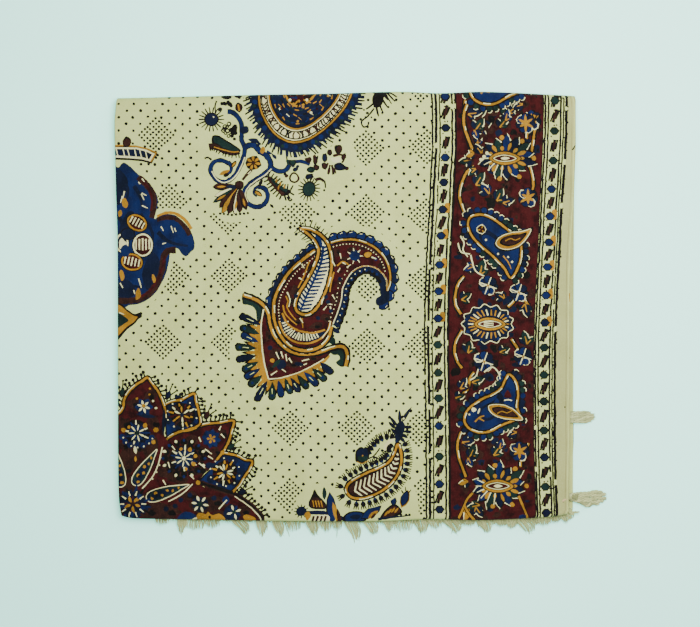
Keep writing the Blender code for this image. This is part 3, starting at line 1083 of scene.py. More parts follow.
        block.stroke(NIGHT, [(x - 1.4, y + 3.2) for x, y in self.under[1:6]], 6.4, 1.0)
        block.stroke(NIGHT, ((372, 272), (379, 278), (383, 286), (384, 295)), 7.0, 1.0)
        block.beads(BLACK, self.under[1:], 2.2, 4.6, 6.4)
        block.beads(INDIGO, self.under[2:], 1.5, 7.4, 4.4)
        block.beads(PALE, self.under[4:], 0.7, 6.6, 3.4)
        block.petal(GREEN, (329, 336), (335, 345), 7.0)
        block.petal(NIGHT, (332, 328), (340, 333), 5.0)

    def horns(self, block: BlockPrint) -> None:
        """Presses the two curled green ends of the outer band.

        Args:
            block: The print that takes it.
        """
        for shape in (
            (
                (242.6, 293.6), (247, 296.5), (254, 299.5), (260, 304), (262.5, 310), (261, 320),
                (257.4, 322), (256.4, 312), (252.5, 306.5), (246, 304.5), (242.5, 303.6)
            ),
            (
                (330, 351), (338, 348.4), (343.4, 350.6), (345, 357), (344.6, 366), (340, 366.4),
                (336, 362.4), (340, 359), (338, 354.6), (333, 354.6)
            )
        ):
            block.blob(BLACK, [(x, y) for x, y in shape])
            middle = (sum(x for x, _ in shape) / len(shape), sum(y for _, y in shape) / len(shape))
            inner = drawn_in(shape, (middle[0], middle[1]), 0.13, 0.13)
            block.blob(GREEN, inner)

    def draw(self, block: BlockPrint) -> None:
        """Presses the whole block.

        Args:
            block: The print that takes it.
        """
        block.clear(self.left + tuple(reversed(self.under)) + tuple(reversed(self.over)), 15)
        block.clear([(tx, ty) for _, _, tx, ty in self.teeth] + [(332, 350), (262, 306)], 7)
        self.fan(block)
        self.edge_lobes(block)
        body = self.left + tuple(reversed(self.under)) + tuple(reversed(self.over))
        block.blob(BLACK, body)
        block.blob(MADDER, drawn_in(body, (322, 290), 0.008, 0.008))
        for x, y, across, along in (
            (297, 290, 7, 6), (345, 262, 6, 5), (335, 300, 5, 8), (352, 250, 6, 4), (316, 326, 8, 5),
            (290, 300, 5, 8), (337, 252, 5, 5), (372, 252, 7, 3), (339, 284, 4, 7), (307, 266, 5, 7),
            (326, 318, 6, 5), (296, 322, 6, 4), (380, 266, 3, 5), (363, 247, 6, 3)
        ):
            block.cloud(x, y, across, along)
        block.beads(BROWN, self.over[:8], 1.6, 4.2, -4.6)
        block.beads(PALE, self.over[:8], 0.65, 3.6, -4.4)
        block.beads(PALE, tuple(reversed(self.left[:9])), 0.65, 3.4, -5.2)
        block.beads(BROWN, self.under[6:], 1.5, 5.0, -3.6)
        block.beads(PALE, self.under[6:], 0.65, 4.4, -4.6)
        self.horns(block)
        block.blob(BLACK, self.base)
        block.blob(MADDER, drawn_in(self.base, (280, 355), 0.03, 0.03))
        block.edge(self.band, 5.4)
        for x, y, across, along in (
            (268, 336, 4, 6), (276, 354, 8, 6), (292, 364, 8, 5), (312, 358, 8, 3), (270, 368, 5, 5)
        ):
            block.cloud(x, y, across, along)
        block.stroke(PALE, ((263.8, 309), (261.2, 324), (261.8, 342), (264, 361), (268.6, 379)), 1.3)
        block.stroke(PALE, ((268.6, 379), (280, 378), (297, 373), (312, 366), (324, 359)), 1.2)
        block.edge(self.left, 5.2)
        block.edge(self.over, 3.4)
        block.stroke(PALE, self.under, 1.1)
        block.stroke(OCHRE, self.under[:7], 0.9)
        self.toothed_crescent(block)
        self.veined_leaf(block)
        self.blossoms(block)
        self.base_marks(block)

    def toothed_crescent(self, block: BlockPrint) -> None:
        """Presses the toothed crescent.

        Args:
            block: The print that takes it.
        """
        block.blob(
            NIGHT,
            (
                (281.5, 315), (284.5, 322), (290, 328.6), (299.5, 332.6), (313, 333.4), (324.5, 331.6),
                (321, 337.4), (309, 341.5), (296, 340), (286, 333), (281, 324)
            )
        )
        low = ((281.6, 322), (286.6, 332.6), (296.4, 339.4), (308.6, 340.6), (319.6, 336.8))
        block.comb(PALE, low, 6.2, 3.0, 1.5)
        block.stroke(
            OCHRE, ((282.4, 313), (285.8, 321), (291, 326.6), (300, 331), (313, 333), (325, 329.6)), 1.9
        )
        block.stroke(
            OCHRE,
            (
                (279, 321), (284.6, 334.4), (296, 342.2), (309, 343.2), (321, 338.4), (328, 330),
                (330.6, 321)
            ),
            1.9
        )
        block.stroke(PALE, ((330.6, 321), (328.6, 329), (322, 338)), 0.9)

    def veined_leaf(self, block: BlockPrint) -> None:
        """Presses the veined leaf inside.

        Args:
            block: The print that takes it.
        """
        block.blob(BLACK, self.leaf)
        inner = drawn_in(self.leaf, (313, 274), 0.05, 0.04)
        block.blob(PALE, inner)
        block.stroke(INDIGO, self.vein, 2.6, 0.7)
        for (x, y), (tx, ty) in block.paces(self.vein, 4.1, False):
            for side, reach in ((1, 8.6), (-1, 7.6)):
                start = (x, y)
                end = (x + side * ty * reach - 0.55 * tx * reach, y - side * tx * reach - 0.55 * ty * reach)
                block.stroke(INDIGO, (start, end), 2.3, 0.7)
        block.petal(INDIGO, (315.5, 234), (322, 247), 6.0)
        block.edge(self.leaf, 4.6, True)
        block.comb(BLACK, ((318, 250), (313.5, 241), (306, 233.6), (299, 228)), 6.2, 3.4, 0.8, lean=0.3)
        block.comb(
            BLACK, ((299.6, 228), (307, 226.6), (316, 229.6), (324, 236.5), (328, 243)), 6.0, 4.2, 0.9
        )

    def blossoms(self, block: BlockPrint) -> None:
        """Presses the blossoms and buds on the madder.

        Args:
            block: The print that takes it.
        """
        block.dot(NIGHT, 354.8, 255.8, 6.0, 9)
        block.dot(INDIGO, 355.2, 256, 5.0, 9)
        for angle in range(0, 360, 52):
            dx, dy = math.cos(math.radians(angle)), math.sin(math.radians(angle))
            block.stroke(
                PALE, ((354.8 + 5 * dx, 256 + 5 * dy), (354.8 + 8.2 * dx, 256 + 8.2 * dy)), 1.3, 0.4
            )
        block.blob(OCHRE, ((364, 254.5), (367, 252), (371.5, 253.4), (369.4, 257), (366, 257.4)))
        block.dot(INDIGO, 375.6, 259, 2.0)
        for x, y, turn in (
            (340.6, 256, 80), (343.6, 263, 30), (349, 266, -40), (334, 264, 60), (339, 270, -60),
            (333.6, 297, 60), (330, 304, 10), (325, 308, -50), (331, 309, 70), (322, 302, 100),
            (374, 258, 20), (303, 266, 60), (301, 279, 30), (305, 273, -40)
        ):
            dx, dy = 2.6 * math.cos(math.radians(turn)), 2.6 * math.sin(math.radians(turn))
            block.stroke(PALE, ((x - dx, y - dy), (x + dx, y + dy)), 1.5, 0.5)
        for spots in (
            ((337, 266), (343, 261.5), (349, 265)),
            ((285.6, 296), (288, 301), (287, 307), (291, 314), (296, 320)),
            ((283, 305), (285, 313), (291, 320), (297, 325)), ((302, 318), (303, 328)),
            ((334, 272), (331, 284), (330, 292)), ((309, 262), (304, 276), (298, 288))
        ):
            block.stroke(OCHRE, spots, 1.6, 0.7)
        for spots in (((287, 292), (290, 299), (289, 307)), ((300, 318), (303, 323))):
            block.stroke(PALE, spots, 1.3, 0.6)
        for x, y in ((328, 302), (331, 311), (326, 297), (318, 318), (340, 279), (296, 296)):
            block.dot(NIGHT, x, y, 2.2)

    def base_marks(self, block: BlockPrint) -> None:
        """Presses the marks in the base.

        Args:
            block: The print that takes it.
        """
        for spots in (
            ((276, 352), (279, 359)), ((281, 351.5), (283, 358)), ((285.6, 354), (287, 361)),
            ((279, 367), (286, 372)), ((271, 375), (277, 371)), ((302, 361), (309, 359)),
            ((300, 366), (307, 363.4)), ((289, 358), (292, 363))
        ):
            block.stroke(PALE, spots, 1.5, 0.6)
        block.blob(NIGHT, ((276, 362), (284, 360), (286, 366), (279, 370)))
        block.petal(GREEN, (272, 368), (281, 359), 4.5)
        block.petal(NIGHT, (294, 363), (304, 365), 4.5)
        block.dot(OCHRE, 272.3, 360.4, 2.4)
        block.dot(NIGHT, 270, 348, 2.6)


@dataclass
class CombPaisley:
    """A smaller leaf with a brown herringbone inside and dark tufts all round."""

    outline: tuple[Spot, ...] = (
        (398, 444), (401.4, 455), (400.1, 468), (394.7, 479), (384.9, 488.7), (373, 495.2),
        (361.1, 498.4), (351.3, 497), (346.4, 490.8), (348.1, 484.3), (355.7, 478.6), (367.6, 472.4),
        (378.4, 468.1), (389.3, 461.6), (394.4, 453)
    )
    spine: tuple[Spot, ...] = ((352, 492), (364, 487), (378, 480), (391, 470), (397.5, 455))

    def tufts(
        self, block: BlockPrint, line: Sequence[Spot], out: float, reach: float, pitch: float, closed: bool
    ) -> None:
        """Presses dark tufts of three hairs on the left side of a line.

        Args:
            block: The print that takes it.
            line: The line that they stand on, in squares.
            out: How far off the line they stand, in squares.
            reach: How far they stick out, in squares.
            pitch: The way from one to the next, in squares.
            closed: Whether the line comes back to its start.
        """
        for (x, y), (tx, ty) in block.paces(line, pitch, closed):
            nx, ny = ty, -tx
            root = (x + out * nx, y + out * ny)
            tip = (x + (out + reach) * nx, y + (out + reach) * ny)
            block.petal(BLACK, root, tip, 5.4, 0.6)
            block.petal(block.chance.choice((NIGHT, NIGHT, INDIGO)), root, tip, 3.6, 0.55)
            for sway in (-2.4, 0.0, 2.4):
                far = out + reach + 2.2
                end = (x + far * nx + sway * tx, y + far * ny + sway * ty)
                start = (
                    x + (out + 0.4 * reach) * nx + 0.4 * sway * tx,
                    y + (out + 0.4 * reach) * ny + 0.4 * sway * ty
                )
                block.stroke(BLACK, (start, end), 1.25, 0.6)

    def draw(self, block: BlockPrint) -> None:
        """Presses the whole block.

        Args:
            block: The print that takes it.
        """
        around = tuple(reversed(self.outline))
        if sum(a[0] * b[1] - b[0] * a[1] for a, b in zip(around, around[1:] + around[:1])) < 0:
            around = self.outline
        block.clear(self.outline, 13)
        block.clear(((355, 447), (372, 446), (392, 436), (388, 414), (412, 406), (414, 436), (404, 448)), 3)
        self.tufts(block, around, 2.4, 6.6, 5.6, True)
        crest = ((371, 456), (376, 448), (384, 441.6), (392, 441), (397, 444))
        self.tufts(block, crest, 0.0, 7.6, 4.2, False)
        block.blob(PALE, ((384, 446), (389, 439.6), (395, 439), (391, 442.4), (388.6, 447.6), (384.6, 451)))
        block.blob(BLACK, ((386.5, 447), (390.4, 443.4), (393, 445), (390.4, 450), (387, 451.4)))
        self.plume(block)
        self.stem_bud(block)

    def plume(self, block: BlockPrint) -> None:
        """Presses the plume at the tip.

        Args:
            block: The print that takes it.
        """
        block.blob(
            NIGHT,
            ((396, 440), (394.6, 430), (398, 422.6), (402, 421), (405, 425.6), (403.6, 433), (400, 440))
        )
        for x, y, tx, ty in (
            (400, 424, 399.4, 409.4), (402, 422, 408.6, 410.4), (402, 421, 411.6, 406.6),
            (397, 426, 389.6, 416.4), (396, 429, 388.4, 421.6), (404, 427, 412.6, 427.6),
            (404, 431, 412, 432.4), (397, 434, 390.4, 428), (402, 434, 408, 438), (400, 437, 405.4, 443)
        ):
            block.petal(BLACK, (x, y), (tx, ty), 3.8, 0.4)
            block.petal(NIGHT, (x, y), (tx, ty), 1.6, 0.4)
        block.dot(PALE, 403.6, 418.6, 1.1)
        block.blob(BLACK, self.outline)
        middle = (375, 478)
        inner = drawn_in(self.outline, (middle[0], middle[1]), 0.05, 0.09)
        block.blob(BROWN, inner)
        for (x, y), (tx, ty) in block.paces(self.spine, 4.9, False):
            for side in (1, -1):
                reach = 8.0 if x < 392 else 5.0
                end = (x + side * ty * reach + 0.75 * tx * reach, y - side * tx * reach + 0.75 * ty * reach)
                block.stroke(PALE, ((x + 0.6 * tx, y + 0.6 * ty), end), 1.9, 0.6)
        block.edge(self.outline, 4.2, True)

    def stem_bud(self, block: BlockPrint) -> None:
        """Presses the bud on its stem.

        Args:
            block: The print that takes it.
        """
        block.stroke(BLACK, ((368, 459), (374, 455.6), (380, 448)), 0.9)
        block.blob(
            BLACK,
            (
                (356.6, 450), (361, 446.6), (364, 448), (368, 447.4), (369.4, 453), (368.4, 459),
                (362, 463), (356, 461.6), (355, 456)
            )
        )
        block.blob(
            NIGHT,
            (
                (357.6, 451), (361.6, 448.6), (367, 449), (368, 455), (366, 459.6), (360, 460.6),
                (357, 456.6)
            )
        )
        block.blob(GREEN, ((357.4, 457), (363, 455.6), (368, 457), (365, 461), (359.6, 461.4)))
        block.stroke(OCHRE, ((357, 461.6), (362, 463.4), (368.4, 460.6)), 0.9)
        block.dot(OCHRE, 362.6, 455.6, 0.9, 5)


@dataclass
class FoldFlowers:
    """The spray of small flowers that the bottom fold cuts."""

    def draw(self, block: BlockPrint) -> None:
        """Presses the spray.

        Args:
            block: The print that takes it.
        """
        block.clear(
            (
                (296, 506), (312, 486), (334, 488), (350, 506), (376, 504), (394, 494), (412, 488),
                (414, 520), (380, 530), (300, 530)
            ),
            2
        )
        block.stroke(
            NIGHT, ((303, 513), (318, 512.6), (331, 514), (345, 519), (356, 519.6), (366, 515)), 4.0
        )
        for index in range(12):
            angle = math.tau * index / 12
            block.stroke(
                BLACK, ((301.4, 511.4), (301.4 + 7.6 * math.cos(angle), 511.4 + 7.0 * math.sin(angle))),
                1.1, 0.6
            )
        block.dot(NIGHT, 301.4, 511.4, 5.2, 9)
        block.blob(
            BLACK,
            (
                (308.6, 503), (312, 495), (314.6, 489.4), (318, 495), (324, 501), (327, 508),
                (318, 509.4), (310.6, 508)
            )
        )
        block.blob(BROWN, ((310, 503), (314, 497), (320, 499.6), (325.6, 507), (317, 508), (311.6, 506.6)))
        for x in (312.6, 315.4, 318.2, 321):
            block.stroke(OCHRE, ((x, 500.6), (x + 1.4, 507)), 1.4, 0.6)
        block.petal(GREEN, (324.6, 500), (324, 486.4), 4.6)
        block.petal(BLACK, (333, 524), (329.6, 491.6), 11.0, 0.45)
        block.petal(INDIGO, (333, 524), (330, 493), 9.0, 0.45)
        block.petal(OCHRE, (339, 524), (332.6, 502), 5.6, 0.5)
        block.petal(BROWN, (341, 526), (337, 508), 4.6, 0.4)
        block.blob(PALE, ((312, 520), (314, 516), (328, 515), (329, 521), (320, 524), (312, 524)))
        for x in (313, 317, 321, 325):
            block.stroke(BROWN, ((x + 1, 516), (x - 1, 522)), 1.9, 0.8)
        block.blob(OCHRE, ((304.6, 514), (308.6, 511.4), (311, 516), (307, 520)))
        block.blob(
            BLACK,
            ((343, 517), (350, 511.6), (360, 511.2), (367, 514.6), (366, 520), (356, 523), (346, 522.6))
        )
        block.blob(
            INDIGO,
            ((345, 517), (351, 512.8), (359.6, 512.6), (365, 515.6), (364, 519.6), (355, 521), (347, 521))
        )
        block.blob(NIGHT, ((350, 516.4), (356, 514.4), (361, 516), (358, 519), (352, 519)))
        block.petal(BLACK, (361, 519), (381.6, 505.6), 10.6, 0.5)
        block.petal(INDIGO, (362, 518), (380.6, 506.6), 8.4, 0.5)
        block.petal(OCHRE, (368, 518.6), (378, 510.6), 5.0, 0.5)
        block.petal(BROWN, (371, 519), (376, 513), 3.0, 0.5)
        block.blob(BLACK, ((380, 518.6), (386, 509), (394, 504), (400, 507.6), (402, 513), (392, 518)))
        block.blob(
            BROWN, ((382.6, 517.4), (388, 509.6), (394, 506), (398.6, 508.6), (400, 512), (391, 516.6))
        )
        for x, y in ((387, 512), (390.4, 510), (393.8, 508.8), (397, 509)):
            block.petal(OCHRE, (x - 2.6, y + 4), (x + 1.4, y - 1.4), 2.2)
        block.petal(BLACK, (393.4, 506), (393.8, 496), 6.6)
        block.petal(INDIGO, (393.4, 505), (393.8, 497.4), 4.8)
        block.stroke(NIGHT, ((378, 519), (390, 517.4), (400, 516.6), (411, 515)), 1.8, 0.6)
        for x in (396, 401, 406, 409.6):
            block.dot(BLACK, x, 514.8, 1.5, 5)
        block.petal(OCHRE, (401.4, 508), (408.4, 490), 9.4)
        block.petal(BLACK, (402, 506.6), (407.6, 490), 8.6)
        block.petal(INDIGO, (402.4, 505.6), (407, 491.6), 6.8)
        for x, y, tx, ty in ((403, 493, 400.6, 489), (406, 491, 405.4, 486.6), (408.6, 493, 411, 489.6)):
            block.stroke(BLACK, ((x, y), (tx, ty)), 1.0, 0.5)


@dataclass
class StarMedallion:
    """An eight-pointed star of madder petals and indigo diamonds, cut by both folds."""

    middle: Spot = (136.0, 503.0)
    petals: tuple[tuple[Spot, ...], ...] = (
        (
            (118, 414.4), (123, 408), (124.3, 399.5), (129.5, 390.8), (137.1, 384), (142.6, 380.8),
            (147.4, 377.6), (151.4, 382.6), (157.7, 390.8), (162, 399.5), (164.8, 408.4), (165.6, 418)
        ),
        (
            (166.6, 439.4), (173, 434.6), (180.5, 431.4), (189, 430.2), (196.7, 427.6), (202, 425),
            (207.6, 423.6), (220, 422.6), (233.6, 420.8), (231.6, 430.9), (228.6, 441.7), (222.8, 452),
            (216.4, 460)
        ),
        (
            (200, 482.4), (214, 487.6), (226, 491.6), (236, 494.8), (247.7, 502.4), (256, 509.6),
            (262.4, 518.4), (258, 526)
        )
    )
    diamonds: tuple[tuple[Spot, ...], ...] = (
        (
            (165.4, 404.4), (173, 401), (182, 399.6), (188, 396), (194.4, 393.8), (196, 401),
            (198.6, 411), (200.4, 422.6), (196, 427), (186, 430), (176, 433.6), (167.5, 438.5),
            (165.6, 422)
        ),
        (
            (222.4, 452.6), (230, 454), (238, 456), (245, 459.6), (252.4, 461.2), (249.6, 469),
            (243, 479), (238.6, 486), (233, 491.8), (222, 488.4), (208, 485), (199, 482), (210, 470)
        )
    )

    def field_of(self, block: BlockPrint) -> None:
        """Presses the dark ground under the petals.

        Args:
            block: The print that takes it.
        """
        block.blob(
            MADDER,
            (
                (112, 418), (124, 412), (150, 402), (164, 410), (167, 440), (200, 430), (226, 446),
                (214, 464), (200, 484), (236, 498), (252, 512), (256, 526), (180, 530), (112, 528)
            )
        )
        for x, y, across, along in (
            (130, 455, 12, 16), (151, 446, 9, 14), (196, 452, 16, 12), (172, 472, 14, 9),
            (160, 512, 22, 9), (206, 506, 20, 9), (214, 440, 10, 8), (146, 396, 7, 10), (130, 486, 9, 9),
            (236, 508, 11, 7)
        ):
            block.blob(
                BROWN,
                [
                    (
                        x + across * math.cos(a * math.tau / 9) * block.chance.uniform(0.7, 1.1),
                        y + along * math.sin(a * math.tau / 9) * block.chance.uniform(0.7, 1.1),
                    )
                    for a in range(9)
                ],
            )

    def sprig(self, block: BlockPrint, x: float, y: float, turn: float, ink: Ink) -> None:
        """Presses a dark bud with three long hairs.

        Args:
            block: The print that takes it.
            x: How far right its middle lies, in squares.
            y: How far down its middle lies, in squares.
            turn: How far it is turned, in degrees.
            ink: Its dye.
        """
        for side, reach in ((-26, 13), (4, 15), (30, 12)):
            angle = math.radians(turn + side)
            tip = (x + reach * math.cos(angle), y - reach * math.sin(angle))
            block.stroke(BLACK, ((x, y), tip), 1.1, 0.7)
            block.dot(BLACK, tip[0], tip[1], 1.3, 6)
        angle = math.radians(turn)
        tip = (x + 8 * math.cos(angle), y - 8 * math.sin(angle))
        block.petal(BLACK, (x - 2 * math.cos(angle), y + 2 * math.sin(angle)), tip, 6.0, 0.5)
        block.petal(ink, (x, y), tip, 4.2, 0.5)

    def leaf(self, block: BlockPrint, root: Spot, tip: Spot, width: float) -> None:
        """Presses a long leaf with a white line, a dark edge and an ochre middle.

        Args:
            block: The print that takes it.
            root: Where it starts.
            tip: Where it ends.
            width: Its greatest width, in squares.
        """
        dx, dy = tip[0] - root[0], tip[1] - root[1]
        length = math.hypot(dx, dy)
        nx, ny = -dy / length, dx / length
        rim = [
            (root[0] + dx * t + side * nx * width / 2 * w, root[1] + dy * t + side * ny * width / 2 * w)
            for t, w, side in (
                (0.0, 0.0, 1),
                (0.05, 0.7, 1),
                (0.22, 1.0, 1),
                (0.5, 0.86, 1),
                (0.8, 0.4, 1),
                (1.0, 0.0, 1),
                (0.8, 0.4, -1),
                (0.5, 0.86, -1),
                (0.22, 1.0, -1),
                (0.05, 0.7, -1),
            )
        ]
        block.blob(NIGHT, rim)
        block.ring(PALE, rim, 0.95)
        block.ring(
            GREEN,
            drawn_in(rim, (root[0] + 0.4 * dx, root[1] + 0.4 * dy), 0.25, 0.25),
            1.6
        )
        for index, share in enumerate((0.12, 0.24, 0.36, 0.5, 0.62, 0.76)):
            sway = (1.7, -1.9, 1.4, -1.2, 0.9, -0.3)[index]
            x, y = root[0] + dx * share + sway * nx, root[1] + dy * share + sway * ny
            block.blot(OCHRE, x, y, 2.3 - 1.1 * share, 2.1 - 0.8 * share)
        block.dot(BLACK, root[0] + 0.24 * dx, root[1] + 0.24 * dy, 1.6, 7)

    def draw(self, block: BlockPrint) -> None:
        """Presses the whole block.

        Args:
            block: The print that takes it.
        """
        for petal in self.petals + self.diamonds:
            block.clear(petal, 8)
        for petal in self.petals:
            block.comb(BLACK, petal, 6.2, 4.1, 1.5, tip=1.9, lean=0.3)
        for diamond in self.diamonds:
            block.comb(BLACK, diamond[:9], 5.8, 4.1, 1.5, tip=1.85, lean=0.3)
        self.field_of(block)
        for petal in self.petals:
            block.blob(BLACK, petal)
            block.blob(
                MADDER,
                drawn_in(petal, (self.middle[0], self.middle[1]), 0.012, 0.012)
            )
        for x, y, across, along in (
            (150, 396, 7, 9), (134, 404, 9, 7), (124, 424, 7, 9), (154, 424, 8, 8), (136, 447, 10, 7),
            (124, 446, 7, 7), (150, 462, 7, 10), (190, 440, 9, 6), (222, 434, 7, 8), (204, 452, 9, 7),
            (172, 456, 7, 9), (178, 478, 11, 7), (200, 470, 9, 6), (216, 452, 6, 6), (150, 512, 9, 8),
            (170, 512, 12, 7), (190, 496, 12, 5), (216, 502, 12, 6), (244, 512, 9, 6), (220, 516, 9, 5),
            (164, 494, 6, 4), (126, 470, 7, 6)
        ):
            block.blot(BROWN, x, y, across, along)
            block.blot(BLACK, x + 2, y + 1, 0.45 * across, 0.45 * along)
        for diamond in self.diamonds:
            block.blob(INDIGO, diamond)
        for x, y in ((182, 414), (225, 472)):
            for index in range(7):
                angle = math.tau * index / 7
                block.blot(NIGHT, x + 15 * math.cos(angle), y + 14 * math.sin(angle), 6, 5)
        for petal in self.petals[:2]:
            block.edge(petal, 4.0)
        block.stroke(BROWN, self.petals[2], 5.0)
        block.stroke(BLACK, self.petals[2], 1.6)
        block.stroke(PALE, [(x - 1.4, y + 1.6) for x, y in self.petals[2][3:]], 1.1)
        for diamond in self.diamonds:
            block.edge(diamond[:9], 3.8)
            block.stroke(BLACK, diamond[8:], 1.0)
        block.stroke(OCHRE, self.diamonds[0][8:12], 1.7)
        block.dot(OCHRE, 198, 482.6, 2.4)
        block.dot(OCHRE, 222.6, 452.4, 2.2)
        self.joints(block)
        self.side_leaves(block)
        self.rosettes(block)
        self.heart(block)
        self.petal_flowers(block)

    def joints(self, block: BlockPrint) -> None:
        """Presses the dark joints between the petals.

        Args:
            block: The print that takes it.
        """
        block.petal(NIGHT, (136, 414), (156, 417), 5.0)
        block.petal(NIGHT, (164.6, 408), (163, 436), 3.6)
        for x, y, turn, ink in (
            (121.6, 396, 80, GREEN), (166.6, 398, 62, NIGHT), (205.4, 418, 62, BROWN),
            (228, 448.4, 32, GREEN), (238.6, 493.4, 22, NIGHT)
        ):
            self.sprig(block, x, y, turn, ink)

    def side_leaves(self, block: BlockPrint) -> None:
        """Presses the leaves between the petals, and the white lines beside them.

        Args:
            block: The print that takes it.
        """
        self.leaf(block, (133.9, 485), (157, 449.5), 12.0)
        self.leaf(block, (146.4, 498.6), (189, 484.6), 12.0)
        self.leaf(block, (120.6, 487), (117.4, 453), 12.0)
        block.stroke(PALE, ((162.4, 447), (158.6, 463), (152.4, 477), (142, 488.6)), 1.2)
        block.stroke(PALE, ((192.6, 484), (182, 494), (168.4, 501.6)), 1.2)
        for x, y in ((160.6, 452), (159.4, 458), (157, 465), (154, 472), (150, 479)):
            block.dot(PALE, x + 2.6, y, 0.9, 5)

    def rosettes(self, block: BlockPrint) -> None:
        """Presses the rosettes on the petals, and the diamonds.

        Args:
            block: The print that takes it.
        """
        for x, y, inks in (
            (182, 414.6, (OCHRE, MADDER, PALE, BROWN)), (225, 472.2, (PALE, OCHRE, BROWN, PALE))
        ):
            block.dot(BLACK, x, y, 12.6, 11)
            block.ticks(x, y, (8.4, 12.6), 15, (OCHRE, MADDER, OCHRE, PALE, BROWN), 2.1)
            block.rosette(x, y, 8.6, inks, 12, NIGHT)
            for index in range(10):
                angle = math.tau * (index + 0.4) / 10
                block.dot(PALE, x + 15 * math.cos(angle), y + 14 * math.sin(angle), 0.9, 5)
        block.dot(BLACK, 137, 433, 13.4, 11)
        block.dot(NIGHT, 137, 433, 11.6, 10)
        block.ticks(137, 433, (8.4, 12.8), 14, (INDIGO, PALE, BLACK), 1.8)
        block.rosette(137, 433, 8.8, (PALE, INDIGO), 14, GREEN)
        for x, y, radius in (
            (123.4, 430, 2.5), (156, 430, 2.7), (145, 425.4, 2.5), (153.4, 442, 2.5), (129, 427, 1.8)
        ):
            block.dot(OCHRE, x, y, radius, 6)
        for index in range(7):
            angle = math.radians(20 + 24 * index)
            x, y = 137 + 15.4 * math.cos(angle), 433 + 13.4 * math.sin(angle)
            block.dot(INDIGO, x, y, 3.2, 7)
            block.dot(PALE, x + 1, y + 1, 0.9, 5)
        block.petal(PALE, (136, 454), (134.6, 446), 3.4)
        block.petal(OCHRE, (135.6, 462), (135.4, 456), 2.6)
        block.dot(NIGHT, 144, 407.4, 8.0, 9)
        for angle in range(0, 360, 60):
            dx, dy = math.cos(math.radians(angle)), math.sin(math.radians(angle))
            block.petal(INDIGO, (144 + 2 * dx, 407 + 2 * dy), (144 + 9.4 * dx, 407 + 9.4 * dy), 5.0)
        for angle in range(16, 376, 60):
            dx, dy = math.cos(math.radians(angle)), math.sin(math.radians(angle))
            block.petal(PALE, (143.6 + dx, 406.6 + dy), (143.6 + 6.8 * dx, 406.6 + 6.8 * dy), 2.3)
        block.dot(OCHRE, 143.6, 405.6, 2.0, 6)
        for x, y in ((149.6, 394.4), (153, 401), (156, 408), (137, 398.6), (150, 388.6)):
            block.dot(OCHRE if y < 400 else PALE, x, y, 1.3, 5)
        block.dot(BLACK, 184, 458.4, 15.0, 12)
        block.dot(NIGHT, 184, 458.4, 11.4, 11)
        block.ticks(184, 458.4, (8.6, 13.6), 18, (INDIGO, PALE, BROWN), 1.8)
        block.rosette(184, 458.4, 9.0, (PALE, INDIGO), 16, PALE)
        for index in range(16):
            angle = math.tau * index / 16
            x, y = 184 + 19 * math.cos(angle), 458.4 + 16.4 * math.sin(angle)
            block.dot(BLACK, x, y, 3.4, 7)
            tip = (184 + 23 * math.cos(angle), 458.4 + 20 * math.sin(angle))
            block.petal(PALE if index % 2 else INDIGO, (x, y), tip, 3.0)
        for x, y, radius in (
            (190, 449.6, 2.3), (195.4, 456, 2.1), (193.6, 464, 2.4), (186, 469, 1.8), (181, 449, 1.8)
        ):
            block.dot(OCHRE, x, y, radius, 6)
        block.dot(NIGHT, 211.4, 438.6, 9.0, 9)
        for angle in range(10, 370, 45):
            dx, dy = math.cos(math.radians(angle)), math.sin(math.radians(angle))
            block.petal(INDIGO, (211.4, 438.6), (211.4 + 10 * dx, 438.6 + 10 * dy), 5.4)
        block.rosette(211.4, 438.8, 4.8, (OCHRE,), 5)
        for x, y, tx, ty in (
            (199, 437, 201, 442), (205, 449, 212, 454), (219, 430, 221, 426), (172, 446, 175, 450),
            (168, 462, 170, 468), (199, 463, 205, 468), (190, 475, 194, 479), (208, 456, 213, 459),
            (221, 434, 225, 438), (163, 480, 166, 485)
        ):
            block.stroke(PALE, ((x, y), (tx, ty)), 1.5, 0.6)

    def heart(self, block: BlockPrint) -> None:
        """Presses the heart of the star, which the fold cuts.

        Args:
            block: The print that takes it.
        """
        block.dot(NIGHT, 132.8, 504, 15.0, 12)
        block.rosette(132.8, 504, 14.0, (INDIGO, NIGHT), 10, BROWN)
        block.ticks(132.8, 504, (12.4, 18.4), 20, (INDIGO, BLACK, BROWN), 2.6)
        block.ticks(132.8, 504, (5.0, 9.0), 13, (MADDER, BLACK, OCHRE), 1.5)
        for angle in range(0, 360, 36):
            dx, dy = math.cos(math.radians(angle)), math.sin(math.radians(angle))
            block.stroke(
                PALE, ((132.8 + 8.6 * dx, 504 + 8.6 * dy), (132.8 + 13.4 * dx, 504 + 13.4 * dy)), 1.7, 0.5
            )
        for angle in range(18, 378, 72):
            dx, dy = math.cos(math.radians(angle)), math.sin(math.radians(angle))
            block.petal(OCHRE, (132.8 + 2 * dx, 504 + 2 * dy), (132.8 + 8 * dx, 504 + 8 * dy), 3.0)

